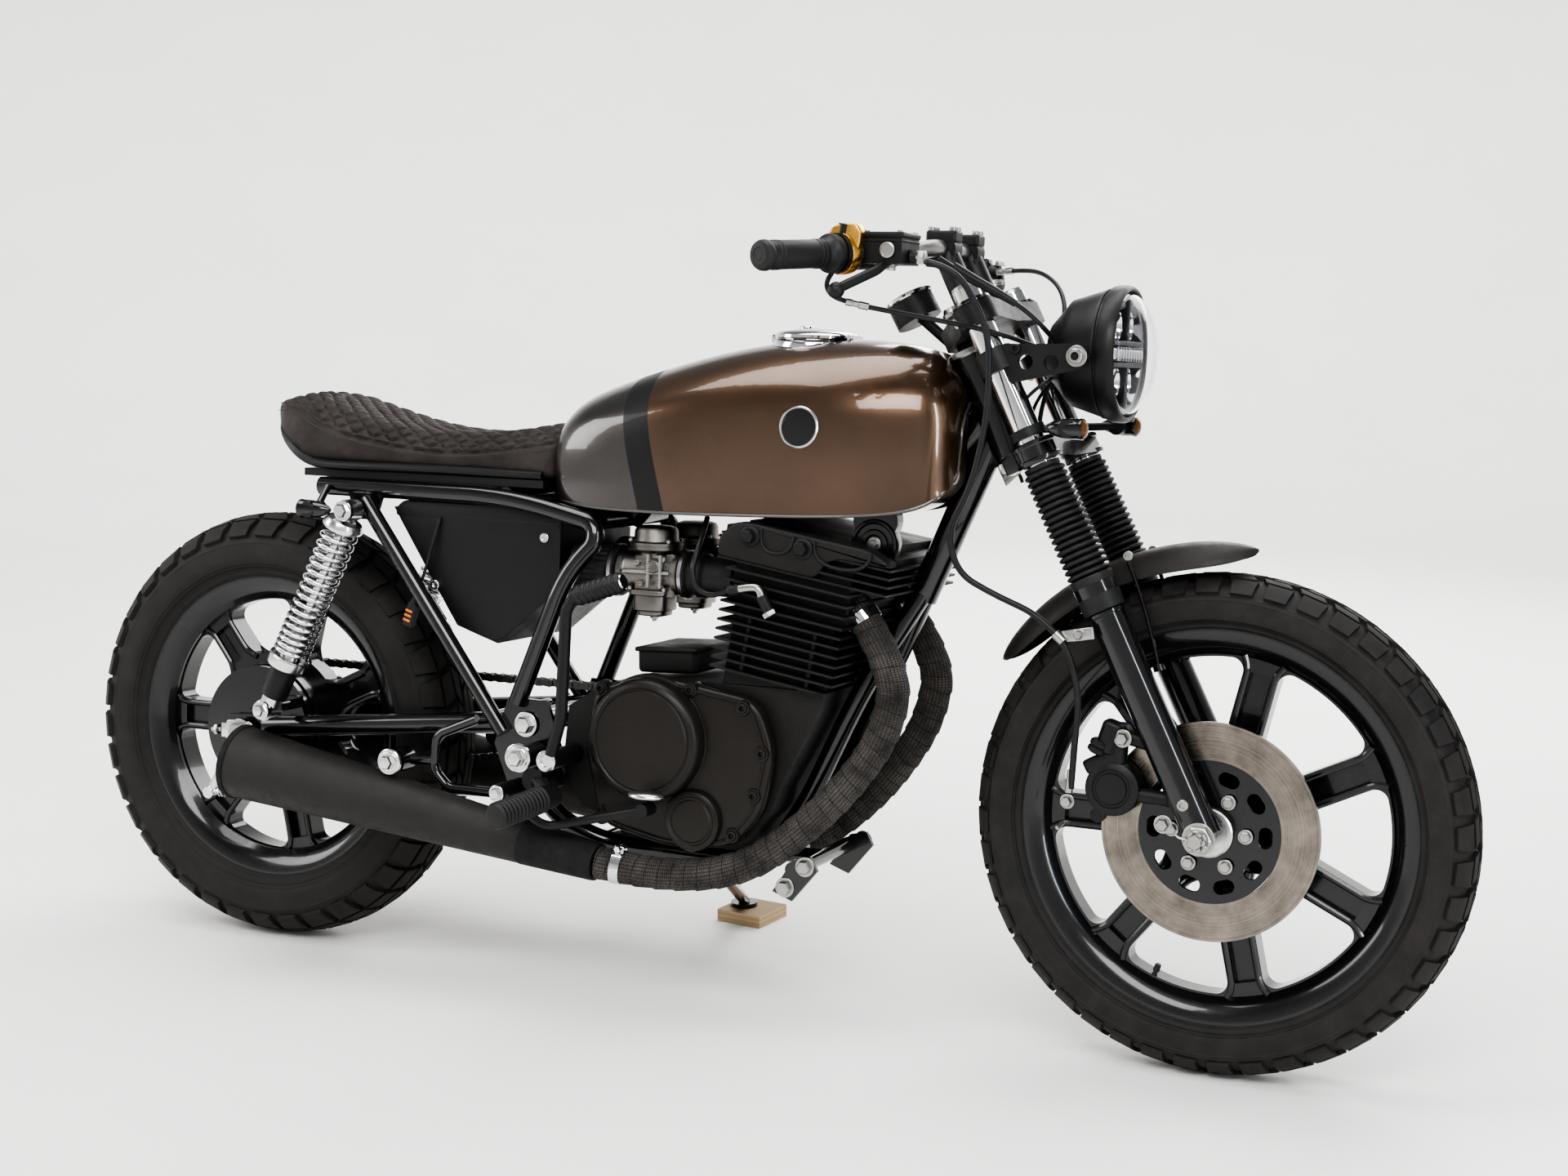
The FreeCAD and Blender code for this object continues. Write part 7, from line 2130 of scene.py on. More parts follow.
@dataclass
class Carburettors:
    """The pair of carburettors with their caps, bowls, screws, rubber boots and filters.

    Attributes:
        ahead: How far ahead their middles are.
        side: Their distance from the machine's middle.
        height: Their middles' height.
        pleats: Folds round each filter.
    """

    ahead: float = 631.0
    side: float = 60.0
    height: float = 574.0
    pleats: int = 28

    def middle(self, y: float) -> np.ndarray:
        """The middle of the carburettor at a distance to the left."""
        return point(self.ahead, y, self.height)

    def body(self, y: float) -> Form:
        """One cast body: throat, waist, domed top with its flange, and the float bowl.

        Args:
            y: The carburettor's distance to the left.

        Returns:
            The casting.
        """
        c = self.middle(y)
        throat = lathe(((25, 0), (30, 0.6), (30, 7), (27, 9), (26, 12), (26, 78), (29, 80), (29, 88),
                        (25, 90)), c - AHEAD * 46, AHEAD, 40)
        waist = rounded_box((46, 48, 52), c, SQUARE, 5)
        dome = lathe(((24, 18), (25, 26), (33, 30), (35, 31), (35, 35.5), (36, 36), (36, 40), (34.4, 41.5),
                      (31, 42), (29.6, 45), (29, 55), (26.5, 59.4), (20, 61.6), (0.3, 62)), c, UP, 44)
        square = np.array(((-26, -27), (26, -27), (26, 27), (-26, 27)), float)
        bowl = [slab(rounded_outline(square * share, reach), low, high, c, AHEAD, ACROSS, edge)
                for share, reach, low, high, edge in (
                    (1.08, 12, -29, -22, 1.5), (0.93, 14, -50, -28, 2), (0.78, 14, -57, -48, 3))]
        arm = rounded_box((14, 12, 58), c + (30, -14 if y < 0 else 14, -2), SQUARE, 2)
        choke = lathe(((9, 0), (9, 9), (7.5, 10.5), (5, 11), (0.3, 11)), c + (12, 23 * np.sign(y), 10),
                      ACROSS * np.sign(y), 20)
        return joined((throat, waist, dome, *bowl, arm, choke))

    def screws(self, y: float) -> Form:
        """Cap, bowl and side screws, the idle screw's spring and the drain plug.

        Args:
            y: The carburettor's distance to the left.

        Returns:
            The small metal parts.
        """
        c = self.middle(y)
        out = ACROSS * np.sign(y)
        top = [socket_bolt(c + (28 * sx, 20 * sy, 41), UP, 3.6, 4) for sx in SIDES for sy in SIDES]
        low = [socket_bolt(c + (25 * sx, 25 * sy, -22), UP, 3.2, 4) for sx in SIDES for sy in SIDES]
        side = [socket_bolt(c + (dx, 0, dz) + out * 24, out, 3.8, 4.5)
                for dx, dz in ((-14, 14), (-8, -14), (18, -12))]
        rail = rod(c + (-34, 0, 2) + out * 29, c + (34, 0, 2) + out * 29, 3, 12)
        stems = [rod(c + (dx, 0, -18) + out * 31, c + (dx, 0, 26) + out * 31, 2.4, 10) for dx in (4, 22)]
        angle = np.linspace(0, 2 * math.pi * 6, 90)
        winding = np.stack((4 * np.cos(angle), 4 * np.sin(angle), angle / angle[-1] * 18), 1)
        coil = tube(c + (4, 0, 0) + out * 31 + winding, 0.8, 6, hint=UP)
        drain = lathe(((6, 0), (6, 5), (3, 6), (3, 9), (0.3, 9)), c + (0, 0, -56), -UP, 6)
        return joined((*top, *low, *side, rail, *stems, coil, drain))

    def build(self) -> None:
        """Make both carburettors."""
        body = Body.CHASSIS
        sides = (-self.side, self.side)
        link = rod(point(self.ahead, -40, self.height + 10), point(self.ahead, 40, self.height + 10), 8)
        bodies = joined((*[self.body(y) for y in sides], link))
        piece("carburettor_bodies", bodies, AGED_ALLOY, body, "carburettors")
        piece("carburettor_screws", joined(self.screws(y) for y in sides), ZINC, body)
        boots, filters, clips = [], [], []
        for y in sides:
            c = self.middle(y)
            boots.append(lathe(((24, 43), (31, 44), (31, 54), (27, 57), (27, 64), (30, 67), (30, 76),
                                (26, 80), (26, 121)), c, AHEAD, 36))
            for radius, start in ((31.2, 46), (34.2, -56)):
                clip = ((0, 0), (1.2, 0.5), (1.2, 5.5), (0, 6))
                clips.append(lathe([(radius + out, start + far) for out, far in clip], c, AHEAD, 36))
            folds = np.arange(2 * self.pleats)
            angle, radius = folds * math.pi / self.pleats, 33 + 1.6 * (folds % 2)
            ring = np.stack((0 * angle, radius * np.cos(angle), radius * np.sin(angle)), 1)
            along = np.array((-116, -114, -60, -58))[:, None, None] * AHEAD
            share = np.array((0.86, 1, 1, 0.9))[:, None, None]
            filters.append(grid(c + along + ring[None] * share, round_v=True, ends=True))
            filters.append(lathe(((30, -59), (34, -58), (34, -48), (30, -47)), c, AHEAD, 36))
        piece("intake_boots", joined(boots), RUBBER, body)
        piece("air_filters", joined(filters), RUBBER, body)
        piece("intake_clips", joined(clips), ZINC, body)


# Steering


def bullet_lamps(spots: Sequence[np.ndarray], way: np.ndarray) -> tuple[Form, Form]:
    """Bullet-shaped indicator shells that taper away from the lens, and their lenses.

    Args:
        spots: The lamps' places.
        way: Where the lenses look.

    Returns:
        The shells and the lenses.
    """
    shell = ((0.3, -31), (2.4, -30.4), (5.4, -27), (8.6, -20), (11.2, -10), (12.4, 0), (12.4, 13), (13, 14),
             (13, 17), (12, 18), (11, 16.6))
    lens = ((11.2, 16), (11, 18.4), (8.4, 21), (4.4, 22.4), (0.3, 22.8))
    shells = joined(lathe(shell, at, way, 36) for at in spots)
    return shells, joined(lathe(lens, at, way, 28) for at in spots)


@dataclass
class ForkTrim:
    """Bellows, cuffs, caps, pinch bolts and the hose's clip on the fork.

    Attributes:
        folds: The bellows' folds.
        low: Where the folds start, up the fork.
        high: Where they end.
        valley: The folds' least radius.
    """

    folds: int = 17
    low: float = 338.0
    high: float = 478.0
    valley: float = 21.2

    @staticmethod
    def leg(side: int) -> np.ndarray:
        """The foot of one leg's line, beside the axle."""
        return along_fork(0, 0, side * FORK_SIDE)

    def bellows(self, side: int) -> Form:
        """One bellows: each fold's radius is the valley's plus its depth times sin(pi t)^0.7.

        Args:
            side: RIGHT or LEFT.

        Returns:
            The rubber.
        """
        t = np.linspace(0, 1, 9)
        fold = np.sin(np.pi * t) ** 0.7
        profile = [(22.6, 292), (25.6, 293), (26.6, 300), (26.6, 330), (27.8, 334), (27.2, 337)]
        pitch = (self.high - self.low) / self.folds
        for k in range(self.folds):
            depth = 6.6 - 1.6 * k / self.folds
            profile += [(self.valley + depth * rise, self.low + pitch * (k + share))
                        for share, rise in zip(t[:-1], fold[:-1])]
        profile += [(self.valley, self.high), (22.6, 479.5), (22.6, 484.5), (18.2, 485)]
        return lathe(profile, self.leg(side), FORK_UP, 40)

    def black(self, side: int) -> list[Form]:
        """The clamps' lips, the slider's shoulder and the lower clamp's pinch boss.

        Args:
            side: RIGHT or LEFT.

        Returns:
            The forms.
        """
        profiles = (
            ((17.7, 486), (28, 486.5), (29, 488.5), (29, 492), (27.4, 493.5)),
            ((27.4, 507), (28.6, 508.5), (28.6, 512), (26, 514), (17.8, 514)),
            ((17.8, 697), (24, 697.5), (25, 700), (24, 703), (17.8, 703.5)),
            ((23, 286), (24.2, 287), (24.2, 291), (23, 292)),
        )
        turn = np.stack((FORK_AHEAD, ACROSS, FORK_UP), axis=1)
        plug = rounded_box((20, 26, 24), along_fork(500, -32, side * FORK_SIDE), turn, 2)
        return [*(lathe(profile, self.leg(side), FORK_UP, 40) for profile in profiles), plug]

    def bright(self, side: int) -> list[Form]:
        """One leg's top cap, its pinch bolts and the bolts of the axle's clamp and the fender.

        Args:
            side: RIGHT or LEFT.

        Returns:
            The forms.
        """
        out = ACROSS * side
        cap = ((15.5, 717), (17, 719), (16.4, 723), (13, 724.5), (12, 724.5), (11.4, 721), (0.3, 721))
        return [
            lathe(cap, self.leg(side), FORK_UP, 36),
            hex_bolt(along_fork(500, -42, side * FORK_SIDE), -FORK_AHEAD, 7, 6, 9),
            hex_bolt(along_fork(684, -20, side * (FORK_SIDE + 8)), -FORK_AHEAD, 7, 6, 9),
            socket_bolt(point(1364, 0, 348) + out * 108, out, 7, 6),
            socket_bolt(point(1269, 0, 635) + out * 55, out, 6, 5),
        ]

    def build(self) -> None:
        """Make the fork's trim."""
        body = Body.STEERING
        bellows = joined(self.bellows(side) for side in SIDES)
        piece("fork_bellows", bellows, RUBBER, body, "fork_gaiters", 50)
        collars = joined(form for side in SIDES for form in self.black(side))
        piece("fork_collars", collars, GLOSS_BLACK, body)
        nut = lathe(((15, 0), (15, 5), (13, 7), (11, 12), (0.3, 13)), along_fork(711, -53.2), FORK_UP, 32)
        head = lathe(((29, 0), (30.5, 2), (30.5, 8), (29, 10)), along_fork(655, -53.2), FORK_UP, 40)
        caps = joined([*self.bright(RIGHT), *self.bright(LEFT), nut, head])
        piece("fork_caps", caps, ZINC, body)
        clip = lathe(((4.3, -7.5), (6.4, -7), (6.4, 7), (4.3, 7.5)), point(1206, -118.4, 537),
                     point(0.755, 0.04, -0.655), 24, hollow=True)
        tongue = rounded_box((40, 2.6, 15), point(1227, -113.4, 541), pitched(-0.2), 1.2)
        bolt = hex_bolt(point(1229, -114.6, 541.5), -ACROSS, 5.5, 4.5, 7)
        piece("hose_clip", joined((clip, tongue, bolt)), ZINC, body)


@dataclass
class Headlight:
    """The lamp's rounded rim, clear lens, reflectors, light bar and bracket bolts.

    Attributes:
        centre: The middle of the shell's mouth.
        optics: The four small lamps' places, to the left and up from the centre.
    """

    centre: np.ndarray = field(default_factory=lambda: point(1241.0, 0.0, 877.5))
    optics: tuple[tuple[float, float], ...] = ((-26, 34), (26, 34), (-26, -34), (26, -34))

    def turned(self, profile: Sequence[tuple[float, float]], sides: int = 72, hollow: bool = False) -> Form:
        """A profile turned about the lamp's axis."""
        return lathe(profile, self.centre, AHEAD, sides, hollow)

    def build(self) -> None:
        """Make the lamp."""
        body = Body.STEERING
        rim = self.turned(((76.4, -9), (76.4, 1), (77.6, 4), (79.6, 5.2), (82, 4), (84, 0.5), (84.4, -5),
                           (84, -13), (82.6, -17), (80, -18.4), (80, -12)), hollow=True)
        seam = self.turned(((78, -25), (80, -24.6), (80, -22), (78, -21.6)), hollow=True)
        piece("lamp_rim", joined((rim, seam)), SATIN_BLACK, body)
        lens = self.turned(((0.3, 34), (14, 33.4), (28, 31.4), (42, 27.8), (54, 22.8), (64, 16.4), (71, 9.6),
                            (75, 3), (75.6, -6), (73.6, -6), (73, 2), (69.4, 8), (62.6, 14.4), (53, 20.4),
                            (41.4, 25.2), (27.6, 28.8), (14, 30.6), (0.3, 31.2)))
        piece("lamp_clear_lens", lens, LENS_GLASS, body, "headlight_lens")
        bowl = self.turned(((0.3, -44), (30, -42), (55, -29), (70, -8), (72, -2), (75.4, -2), (75.4, 0),
                            (70, 1.5), (66, 0), (64, -6), (52, -25), (29, -38), (0.3, -40)))
        ring = ((15, -30), (19, -29), (20, -8), (18.4, -6), (17, -8), (16, -26))
        rings = [lathe(ring, self.centre + (0, y, z), AHEAD, 32, hollow=True) for y, z in self.optics]
        piece("lamp_bowl", bowl, LAMP_MIRROR, body)
        piece("lamp_reflectors", joined(rings), CHROME, body)
        bar = rounded_box((16, 136, 13), self.centre + (-6, 0, 0), SQUARE, 2)
        fins = scattered(rounded_box((18, 1.6, 17), self.centre + (-5, 0, 0), SQUARE, 0.4),
                         [ACROSS * step for step in np.linspace(-54, 54, 10)])
        piece("lamp_light_bar", joined((bar, fins)), POLISHED, body)
        shades = [rounded_box((20, 134, 6), self.centre + (-8, 0, up), SQUARE, 1.5) for up in (-13, 13)]
        shades.append(rounded_box((22, 10, 134), self.centre + (-10, 0, 0), SQUARE, 2))
        piece("lamp_dark_frame", joined(shades), SATIN_BLACK, body)
        cores = [ball(self.centre + (-24, y, z), 9) for y, z in self.optics]
        piece("lamp_cores", joined(cores), LAMP_CORE, body)
        bolts = []
        for side in SIDES:
            out = ACROSS * side
            bolts.append(lathe(((13, 0), (13, 1.4), (12.4, 2)), point(1208, 103.6 * side, 873), out, 32))
            bolts.append(socket_bolt(point(1208, 105.4 * side, 873), out, 9, 7))
        piece("lamp_bolts", joined(bolts), ZINC, body)
        dark = [socket_bolt(point(1132, 103.6 * side, 880), ACROSS * side, 6, 5) for side in SIDES]
        piece("lamp_dark_bolts", joined(dark), SATIN_BLACK, body)
        spots = [along_fork(520) + (58, side * (FORK_SIDE + 29), 14) for side in SIDES]
        shells, lenses = bullet_lamps(spots, AHEAD)
        piece("front_indicator_shells", shells, GLOSS_BLACK, body)
        piece("front_indicator_lenses", lenses, AMBER_GLASS, body)


# Handlebar


@dataclass
class Handlebar:
    """Grips, the throttle's metal guide, clamps, screws, the gauge and the cables.

    Attributes:
        middle: The bar's middle, between the risers.
        riser: The risers' distance from the machine's middle.
        perch: The levers' perches, inwards from the bar's ends.
        runs: The cables' lines: throttle, lamp's switch lead, clutch and the lamp's two wires.
    """

    middle: np.ndarray = field(default_factory=lambda: along_fork(785.5, -18.4))
    riser: float = 42.0
    perch: float = 165.0
    runs: tuple[tuple[tuple[float, float, float], ...], ...] = (
        ((958, -226, 990), (944, -229, 966), (934, -231, 950), (940, -229, 936), (958, -222, 929),
         (987, -205, 922), (1049, -150, 911), (1110, -96, 898), (1150, -52, 880), (1166, -30, 872)),
        ((1046, -150, 985), (1074, -135, 966), (1112, -122, 946), (1146, -112, 926), (1166, -84, 900),
         (1172, -44, 880)),
        ((1006, 188, 983), (1040, 172, 986), (1084, 142, 982), (1120, 112, 958), (1136, 78, 918),
         (1128, 54, 850), (1112, 46, 780), (1122, 44, 716)),
        ((1150, 20, 850), (1128, 34, 836), (1106, 40, 800), (1104, 40, 750), (1118, 38, 712)),
        ((1152, -22, 846), (1130, -38, 828), (1112, -42, 796), (1112, -42, 752), (1126, -40, 716)),
    )

    def bar_line(self, side: int) -> tuple[np.ndarray, np.ndarray]:
        """The bar's end on one side and the direction inwards from it."""
        end = self.middle + (-110, side * 350, -25)
        return end, unit(self.middle + (-14, side * 105, -6) - end)

    def reservoir(self) -> np.ndarray:
        """The middle of the brake fluid's box."""
        end, inward = self.bar_line(RIGHT)
        return end + inward * 160 + (38, 15, 3)

    def turned(self, side: int, profile: Sequence[tuple[float, float]], hollow: bool = False) -> Form:
        """A profile turned about the straight part of the bar, measured from its end."""
        end, inward = self.bar_line(side)
        return lathe(profile, end, inward, 40, hollow)

    def grips(self) -> Form:
        """Both grips: a ringed end cap, a sleeve with moulded rings and a wide flange.

        Returns:
            The rubber of both sides.
        """
        cap = ((0.3, -1.1), (5, -1.1), (5.5, -0.6), (9, -0.6), (9.6, -1.2), (13, -1.2), (16.4, 0.6), (18, 4),
               (18.2, 9), (17.2, 11))
        sleeve = ((16.4, 12), (17, 14), (17, 100), (16.4, 102), (17.6, 105), (20, 110))
        flange = ((23, 112), (23.6, 114), (23.6, 120), (22.4, 122.6), (11.3, 123), (11.3, -0.2), (0.3, -0.2))
        rings = [((17.1, d), (17.6, d + 0.7), (17.6, d + 1.7), (17.1, d + 2.4)) for d in (20, 26, 88, 94)]
        return joined([self.turned(side, (*cap, *sleeve, *flange)) for side in SIDES]
                      + [self.turned(side, ring, True) for side in SIDES for ring in rings])

    def clamps(self) -> list[Form]:
        """Riser caps over the bar, the reservoir's lid and the perches' caps.

        Returns:
            The forms.
        """
        forms = []
        for side in SIDES:
            at = self.middle + (0, side * self.riser, 0)
            forms += [rounded_box((40, 28, 15), at + (0, 0, up), SQUARE, 3) for up in (15, -15)]
            end, inward = self.bar_line(side)
            turn = np.stack((np.cross(inward, UP), inward, UP), 1)
            forms.append(rounded_box((16, 24, 26), end + inward * self.perch + (18, 0, 0), turn, 3))
            forms.append(self.turned(side, ((19.4, 150), (20.6, 151.5), (20.6, 178), (19.4, 179.5))))
        box = self.reservoir()
        forms.append(rounded_box((54, 62, 7), box + (0, 0, 18), SQUARE, 2.4))
        forms.append(rounded_box((52, 60, 3), box + (0, 0, 11), SQUARE, 1))
        forms.append(rod(box + (24, 0, -6), box + (36, 2, -7), 8, 24))
        return forms

    def screws(self) -> list[Form]:
        """Screws on the risers, perches and reservoir, the hose's union and the sight glass's rim.

        Returns:
            The forms.
        """
        forms = []
        for side in SIDES:
            at = self.middle + (0, side * self.riser, 22.4)
            forms += [socket_bolt(at + (dx, dy, 0), UP, 4.6, 5) for dx in (-14, 14) for dy in (-8, 8)]
            end, inward = self.bar_line(side)
            forms += [hex_bolt(end + inward * self.perch + (26, 0, dz), AHEAD, 5.4, 4.5) for dz in (-8, 8)]
            pivot = end + inward * (self.perch - 1) + (42, 0, -5)
            forms += [hex_bolt(pivot + (0, 0, 9), UP, 6, 5, 8), hex_bolt(pivot - (0, 0, 9), -UP, 6, 5, 8)]
        box = self.reservoir()
        forms += [socket_bolt(box + (dx, dy, 21), UP, 3.4, 2.6) for dx in (-21, 21) for dy in (-25, 25)]
        forms.append(lathe(((9, 0), (9.4, 2), (7.6, 2.6), (7.4, 1), (0.3, 1)), box + (8, -30.6, 0),
                           -ACROSS, 32))
        forms.append(lathe(((7, 0), (9, 0.6), (9, 9), (7, 10)), box + (34, 2, -7), AHEAD, 6))
        return forms

    def gauge(self) -> tuple[Form, Form, Form]:
        """The gauge's bezel, its dial with bare ticks and a needle, and its glass.

        Returns:
            The trim, the needle and the glass.
        """
        way = unit(point(-0.5, 0, 0.86))
        foot = point(968, 0, 912)
        first, second = axes_for(way)
        bezel = lathe(((28, 30), (31, 29.5), (32, 31), (32, 34), (30, 35.4), (28, 34.6), (27.4, 32.4)),
                      foot, way, 64, hollow=True)
        face = foot + way * 32.2
        rays = [first * math.sin(a) + second * math.cos(a) for a in np.radians(np.linspace(-130, 130, 14))]
        ticks = [rod(face + ray * 19, face + ray * 24, 0.7, 6) for ray in rays]
        needle = rod(foot + way * 33 - first * 5, foot + way * 33 + first * 17 + second * 5, 0.8, 8)
        glass = lathe(((27.6, 33.4), (27.6, 34.4), (0.3, 34.8)), foot, way, 48)
        return joined((bezel, *ticks)), needle, glass

    def cables(self) -> tuple[Form, Form]:
        """Throttle, clutch and switch cables and the lamp's wires, with their metal ends.

        Returns:
            The cords and their metal ends.
        """
        hint = UP * 0.6 + AHEAD * 0.35 + ACROSS * 0.4
        cords = [tube(flow(run, 7), 3.1 if k < 3 else 2.3, 10, hint=hint) for k, run in enumerate(self.runs)]
        boot = flow(self.runs[1], 7)[2:16]
        cords.append(tube(boot, np.linspace(7, 4.4, len(boot)), 16, hint=UP))
        end = ((3.4, 0), (4.6, 0.6), (4.6, 8), (3.8, 8.6), (3.8, 16), (4.8, 16.6), (4.8, 28), (3.4, 29))
        metal = [lathe(end, point(*spot), point(*way), 14) for spot, way in (
            ((957, -222.6, 929.3), (30, 18, -7)), ((1004, 189, 983), (24, -11, 2)))]
        return joined(cords), joined(metal)

    def build(self) -> None:
        """Make the bar's trim."""
        body = Body.STEERING
        end, inward = self.bar_line(RIGHT)
        piece("rubber_grips", self.grips(), RUBBER, body, "grips")
        piece("bar_clamp_caps", joined(self.clamps()), SATIN_BLACK, body)
        piece("bar_screws", joined(self.screws()), ZINC, body)
        shape = rounded_outline(((-19, 11), (-14, 26), (0, 33), (21, 33), (27, 24), (25, 4), (10, -12)), 8)
        guide = slab(shape, -9, 10, end + inward * 136 + (0, 0, 2), AHEAD, UP, 3)
        ring = self.turned(RIGHT, ((20, 129), (25, 129.6), (25.6, 131), (25.6, 143), (25, 145), (20, 145.5)))
        piece("throttle_guide", joined((guide, ring)), BRASS, body)
        band = self.turned(RIGHT, ((18, 122.8), (21, 123.4), (21, 128), (18, 128.4)))
        piece("throttle_band", band, POLISHED, body)
        trim, needle, glass = self.gauge()
        piece("gauge_trim", trim, CHROME, body)
        piece("gauge_needle", needle, ORANGE, body)
        piece("gauge_glass", glass, SMOKED_GLASS, body)
        cords, metal = self.cables()
        piece("control_cables", cords, HOSE, body)
        piece("cable_adjusters", metal, ZINC, body)


# Tank


@dataclass
class TankTrim:
    """The tank's seam, the bare round badge on each side and the flip cap.

    Attributes:
        stations: Rows of distance ahead, the tank's lower edge and its half breadth.
        nose: The seam's line up the nose on the left side.
        badge: The left badge's middle.
        cap: The middle of the cap's foot.
    """

    stations: tuple[tuple[float, float, float], ...] = (
        (482, 670, 72), (499, 663, 92), (541, 658, 108), (601, 656, 118), (700, 657, 126), (798, 660, 128),
        (880, 663, 127), (951, 668, 119), (999, 675, 104), (1030, 692, 84), (1046, 720, 58),
    )
    nose: tuple[tuple[float, float, float], ...] = (
        (1048, 54, 750), (1048, 49, 780), (1047.4, 34, 806), (1047, 0, 823),
    )
    badge: tuple[float, float, float] = (860, 125.6, 775)
    cap: tuple[float, float, float] = (825, 0, 872.3)

    def seam(self) -> Form:
        """A welded lip along the tank's lower edge on both sides and up round its nose.

        Returns:
            The lip of both sides.
        """
        foot = [(x, half * 0.95, low + 0.6) for x, low, half in self.stations]
        line = flow((*foot, *self.nose), 5)
        return joined(tube(line * (1, side, 1), 2.1, 8, hint=point(0.3, 0.2, 1)) for side in SIDES)

    def build(self) -> None:
        """Make the tank's trim."""
        body = Body.CHASSIS
        piece("tank_seam", self.seam(), SEAM_GREY, body)
        rims, discs = [], []
        for side in SIDES:
            at, way = point(*self.badge) * (1, side, 1), point(-0.004, side, 0.09)
            rims.append(lathe(((26.4, -3), (26.4, 2.6), (25.4, 3.6), (23.8, 3.6), (23.2, 2.4), (23.2, 0)),
                              at, way, 64, hollow=True))
            discs.append(lathe(((23.3, -2), (23.3, 2.2), (14, 2.9), (0.3, 3.1)), at, way, 48))
        piece("badge_rims", joined(rims), POLISHED, body)
        piece("badge_discs", joined(discs), GLOSS_BLACK, body)
        cap = point(*self.cap)
        flange = lathe(((55.6, 0), (55.6, 8), (54, 10.6), (50, 11.4), (47, 10), (46, 6)), cap, UP, 72,
                       hollow=True)
        lid = lathe(((47, 1), (49, 11.6), (52, 12.4), (53.4, 15), (53, 18.6), (49.6, 21.6), (42, 23.6),
                     (30, 25.6), (16, 27.2), (0.3, 27.8)), cap, UP, 72)
        hinge = rounded_box((15, 34, 14), cap + (50, 0, 14), SQUARE, 3)
        pin = rod(cap + (54, -20, 17), cap + (54, 20, 17), 3.4)
        latch = rounded_box((16, 22, 11), cap + (-52, 0, 13), SQUARE, 3)
        key = lathe(((9, 0), (9, 2.6), (7.6, 3.6), (0.3, 3.6)), cap + (-14, 0, 26.4), UP, 28)
        whole = joined((flange, lid, hinge, pin, latch, key))
        piece("flip_cap", whole, CHROME, body, "fuel_cap")


# Front fender and brake


